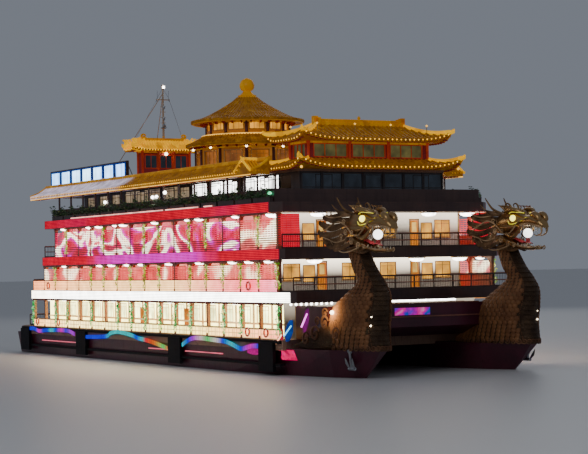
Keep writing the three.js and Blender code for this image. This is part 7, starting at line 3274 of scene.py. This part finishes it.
    def _mane(self) -> None:
        """Builds the swept mane, the beard, the cheek curls and the crest."""
        chance = random.Random(7)
        leaves, curls = Sketch(), Sketch()
        for hand in (-1, 1):
            for root, bend, tip, width in self.locks:
                for n, share in enumerate((1.0, 0.8, 0.62)):
                    spread, lift = chance.uniform(-0.16, 0.16), chance.uniform(-0.14, 0.14)
                    end = tuple(b + (t - b) * share for b, t in zip(bend, tip))
                    curl = (end[0] - 0.1, end[1], end[2] + (0.3 if n % 2 == 0 else -0.2))
                    line = [(x, off + spread * a, z + lift * b) for (x, off, z), a, b in (
                        (root, 0.0, 0.0), (bend, 0.7, 1.0), (end, 1.0, 1.2), (curl, 1.0, 1.2))]
                    path = smoothed(self.on(hand, line), 5)
                    full, last = width * (1.0 if n == 0 else 0.62), len(path) - 1
                    widths = [full * math.sin(math.pi * (0.16 + 0.84 * k / last)) ** 0.8 + 0.008
                              for k in range(last + 1)]
                    leaves.blade(path, widths, 0.05, (0.1, 0.25, 1.0))
            for x, off, z in ((30.2, 0.4, 9.55), (29.7, 0.55, 9.6), (29.2, 0.65, 9.7), (30.7, 0.3, 9.45)):
                steps = ((0.0, 0.0, 0.0), (-0.5, 0.25, -0.2), (-1.1, 0.4, -0.2), (-1.4, 0.35, -0.02))
                path = smoothed(self.on(hand, [(x + a, off + b, z + c) for a, b, c in steps]), 4)
                widths = [0.1 * math.sin(math.pi * (0.18 + 0.82 * k / 12)) + 0.008 for k in range(13)]
                leaves.blade(path, widths, 0.07, (0.0, 0.3, 1.0))
            for x, off, z, size in (
                (27.9, 1.12, 10.35, 0.28), (28.6, 1.14, 10.7, 0.24), (29.2, 1.02, 10.05, 0.3), (28.5, 1.08, 9.8, 0.24),
                (27.6, 1.1, 11.0, 0.24), (28.3, 1.1, 11.45, 0.24), (29.9, 0.9, 9.72, 0.26), (29.4, 1.12, 10.65, 0.2),
                (30.4, 0.7, 9.6, 0.2),
            ):
                curls.merge(volute(size, 0.17 * size), (x, self.y + hand * off, z), hand)
            ear = smoothed(self.on(hand, ((28.9, 0.85, 11.9), (28.3, 1.25, 12.1), (27.7, 1.45, 12.4))), 4)
            leaves.blade(ear, [0.04, 0.09, 0.14, 0.17, 0.18, 0.15, 0.11, 0.07, 0.01], 0.05, (0, 0.2, 1))
        for k in range(9):
            x, z = 29.6 - 0.2 * k, 12.2 - 0.06 * k - 0.01 * k * k
            path = [(x, self.y, z - 0.1), (x - 0.3, self.y, z + 0.25), (x - 0.7, self.y, z + 0.5)]
            leaves.blade(path, [0.1, 0.09, 0.01], 0.04, (1, 0, 0.3))
        leaves.piece(f"dragon_mane_{self.name}", Finishes.mane, smooth=45)
        curls.piece(f"dragon_curls_{self.name}", Finishes.pale_gilt, smooth=55)

    def _horns(self) -> None:
        """Builds the branched antlers and the crown curls."""
        horns = Sketch()
        for hand in (-1, 1):
            for width, fall, sides, points in self.antlers:
                line = smoothed(self.on(hand, points), 4)
                horns.tube(line, [width - fall * k for k in range(len(line))], sides)
            main = smoothed(self.on(hand, self.antlers[0][3]), 4)
            for k in range(3, 15):
                horns.tube([tuple(Vector(main[k]) * 0.98 + Vector(main[k + 1]) * 0.02),
                            tuple(Vector(main[k]) * 0.7 + Vector(main[k + 1]) * 0.3)], 0.142 - 0.006 * k, 10)
        horns.piece(f"dragon_horns_{self.name}", Finishes.gilt, smooth=50)


def dragon_scale() -> Sketch:
    """Returns a pointed scale that lies along X and faces Z.

    Returns:
        The scale.
    """
    rim = [(-0.12, 0.0), (-0.08, 0.12), (0.04, 0.165), (0.15, 0.12), (0.24, 0.0), (0.15, -0.12), (0.04, -0.165),
           (-0.08, -0.12)]
    points = [(x, y, 0.012) for x, y in rim] + [(x * 0.75, y * 0.75, 0.04) for x, y in rim] + [(0.12, 0, 0.055)]
    faces = [(k, (k + 1) % 8, 8 + (k + 1) % 8, 8 + k) for k in range(8)]
    faces += [(8 + k, 8 + (k + 1) % 8, 16) for k in range(8)] + [tuple(range(7, -1, -1))]
    return Sketch().add(points, faces)


def volute(size: float, radius: float) -> Sketch:
    """Returns a spiral that lies across Z, with a ball in its eye.

    Args:
        size: its outer radius.
        radius: the radius of its bar at the outer end.

    Returns:
        The spiral.
    """
    path, widths = [], []
    for k in range(27):
        turn = 0.3 + 2.9 * math.pi * k / 26
        reach = size * (1.0 - 0.86 * k / 26)
        path.append((reach * math.cos(turn), reach * math.sin(turn), 0.5 * radius))
        widths.append(radius * (0.45 + 0.75 * math.sin(math.pi * min(1.0, 0.12 + k / 26))))
    return Sketch().tube(path, widths, 8).ball((0, 0, 0.6 * radius), 0.2 * size, 6)


def build_all() -> None:
    """Builds every part of the boat in order."""
    Decks().build()
    Hulls().build()
    ForeDeck().build()
    Houses().build()
    Colonnades().build()
    Rails().build()
    SideRoofs().build()
    Pavilions().build()
    Pagoda().build()
    RoofGear().build()
    for name in SIDES:
        Dragon(name).build()


def main() -> None:
    """Builds the boat around the frame."""
    global TREES
    logging.basicConfig(level=logging.INFO, format="%(name)s: %(message)s")
    FRAME.update(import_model())
    TREES = Trees()
    Studio().build()
    build_all()
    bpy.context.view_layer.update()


if __name__ == "__main__":
    main()
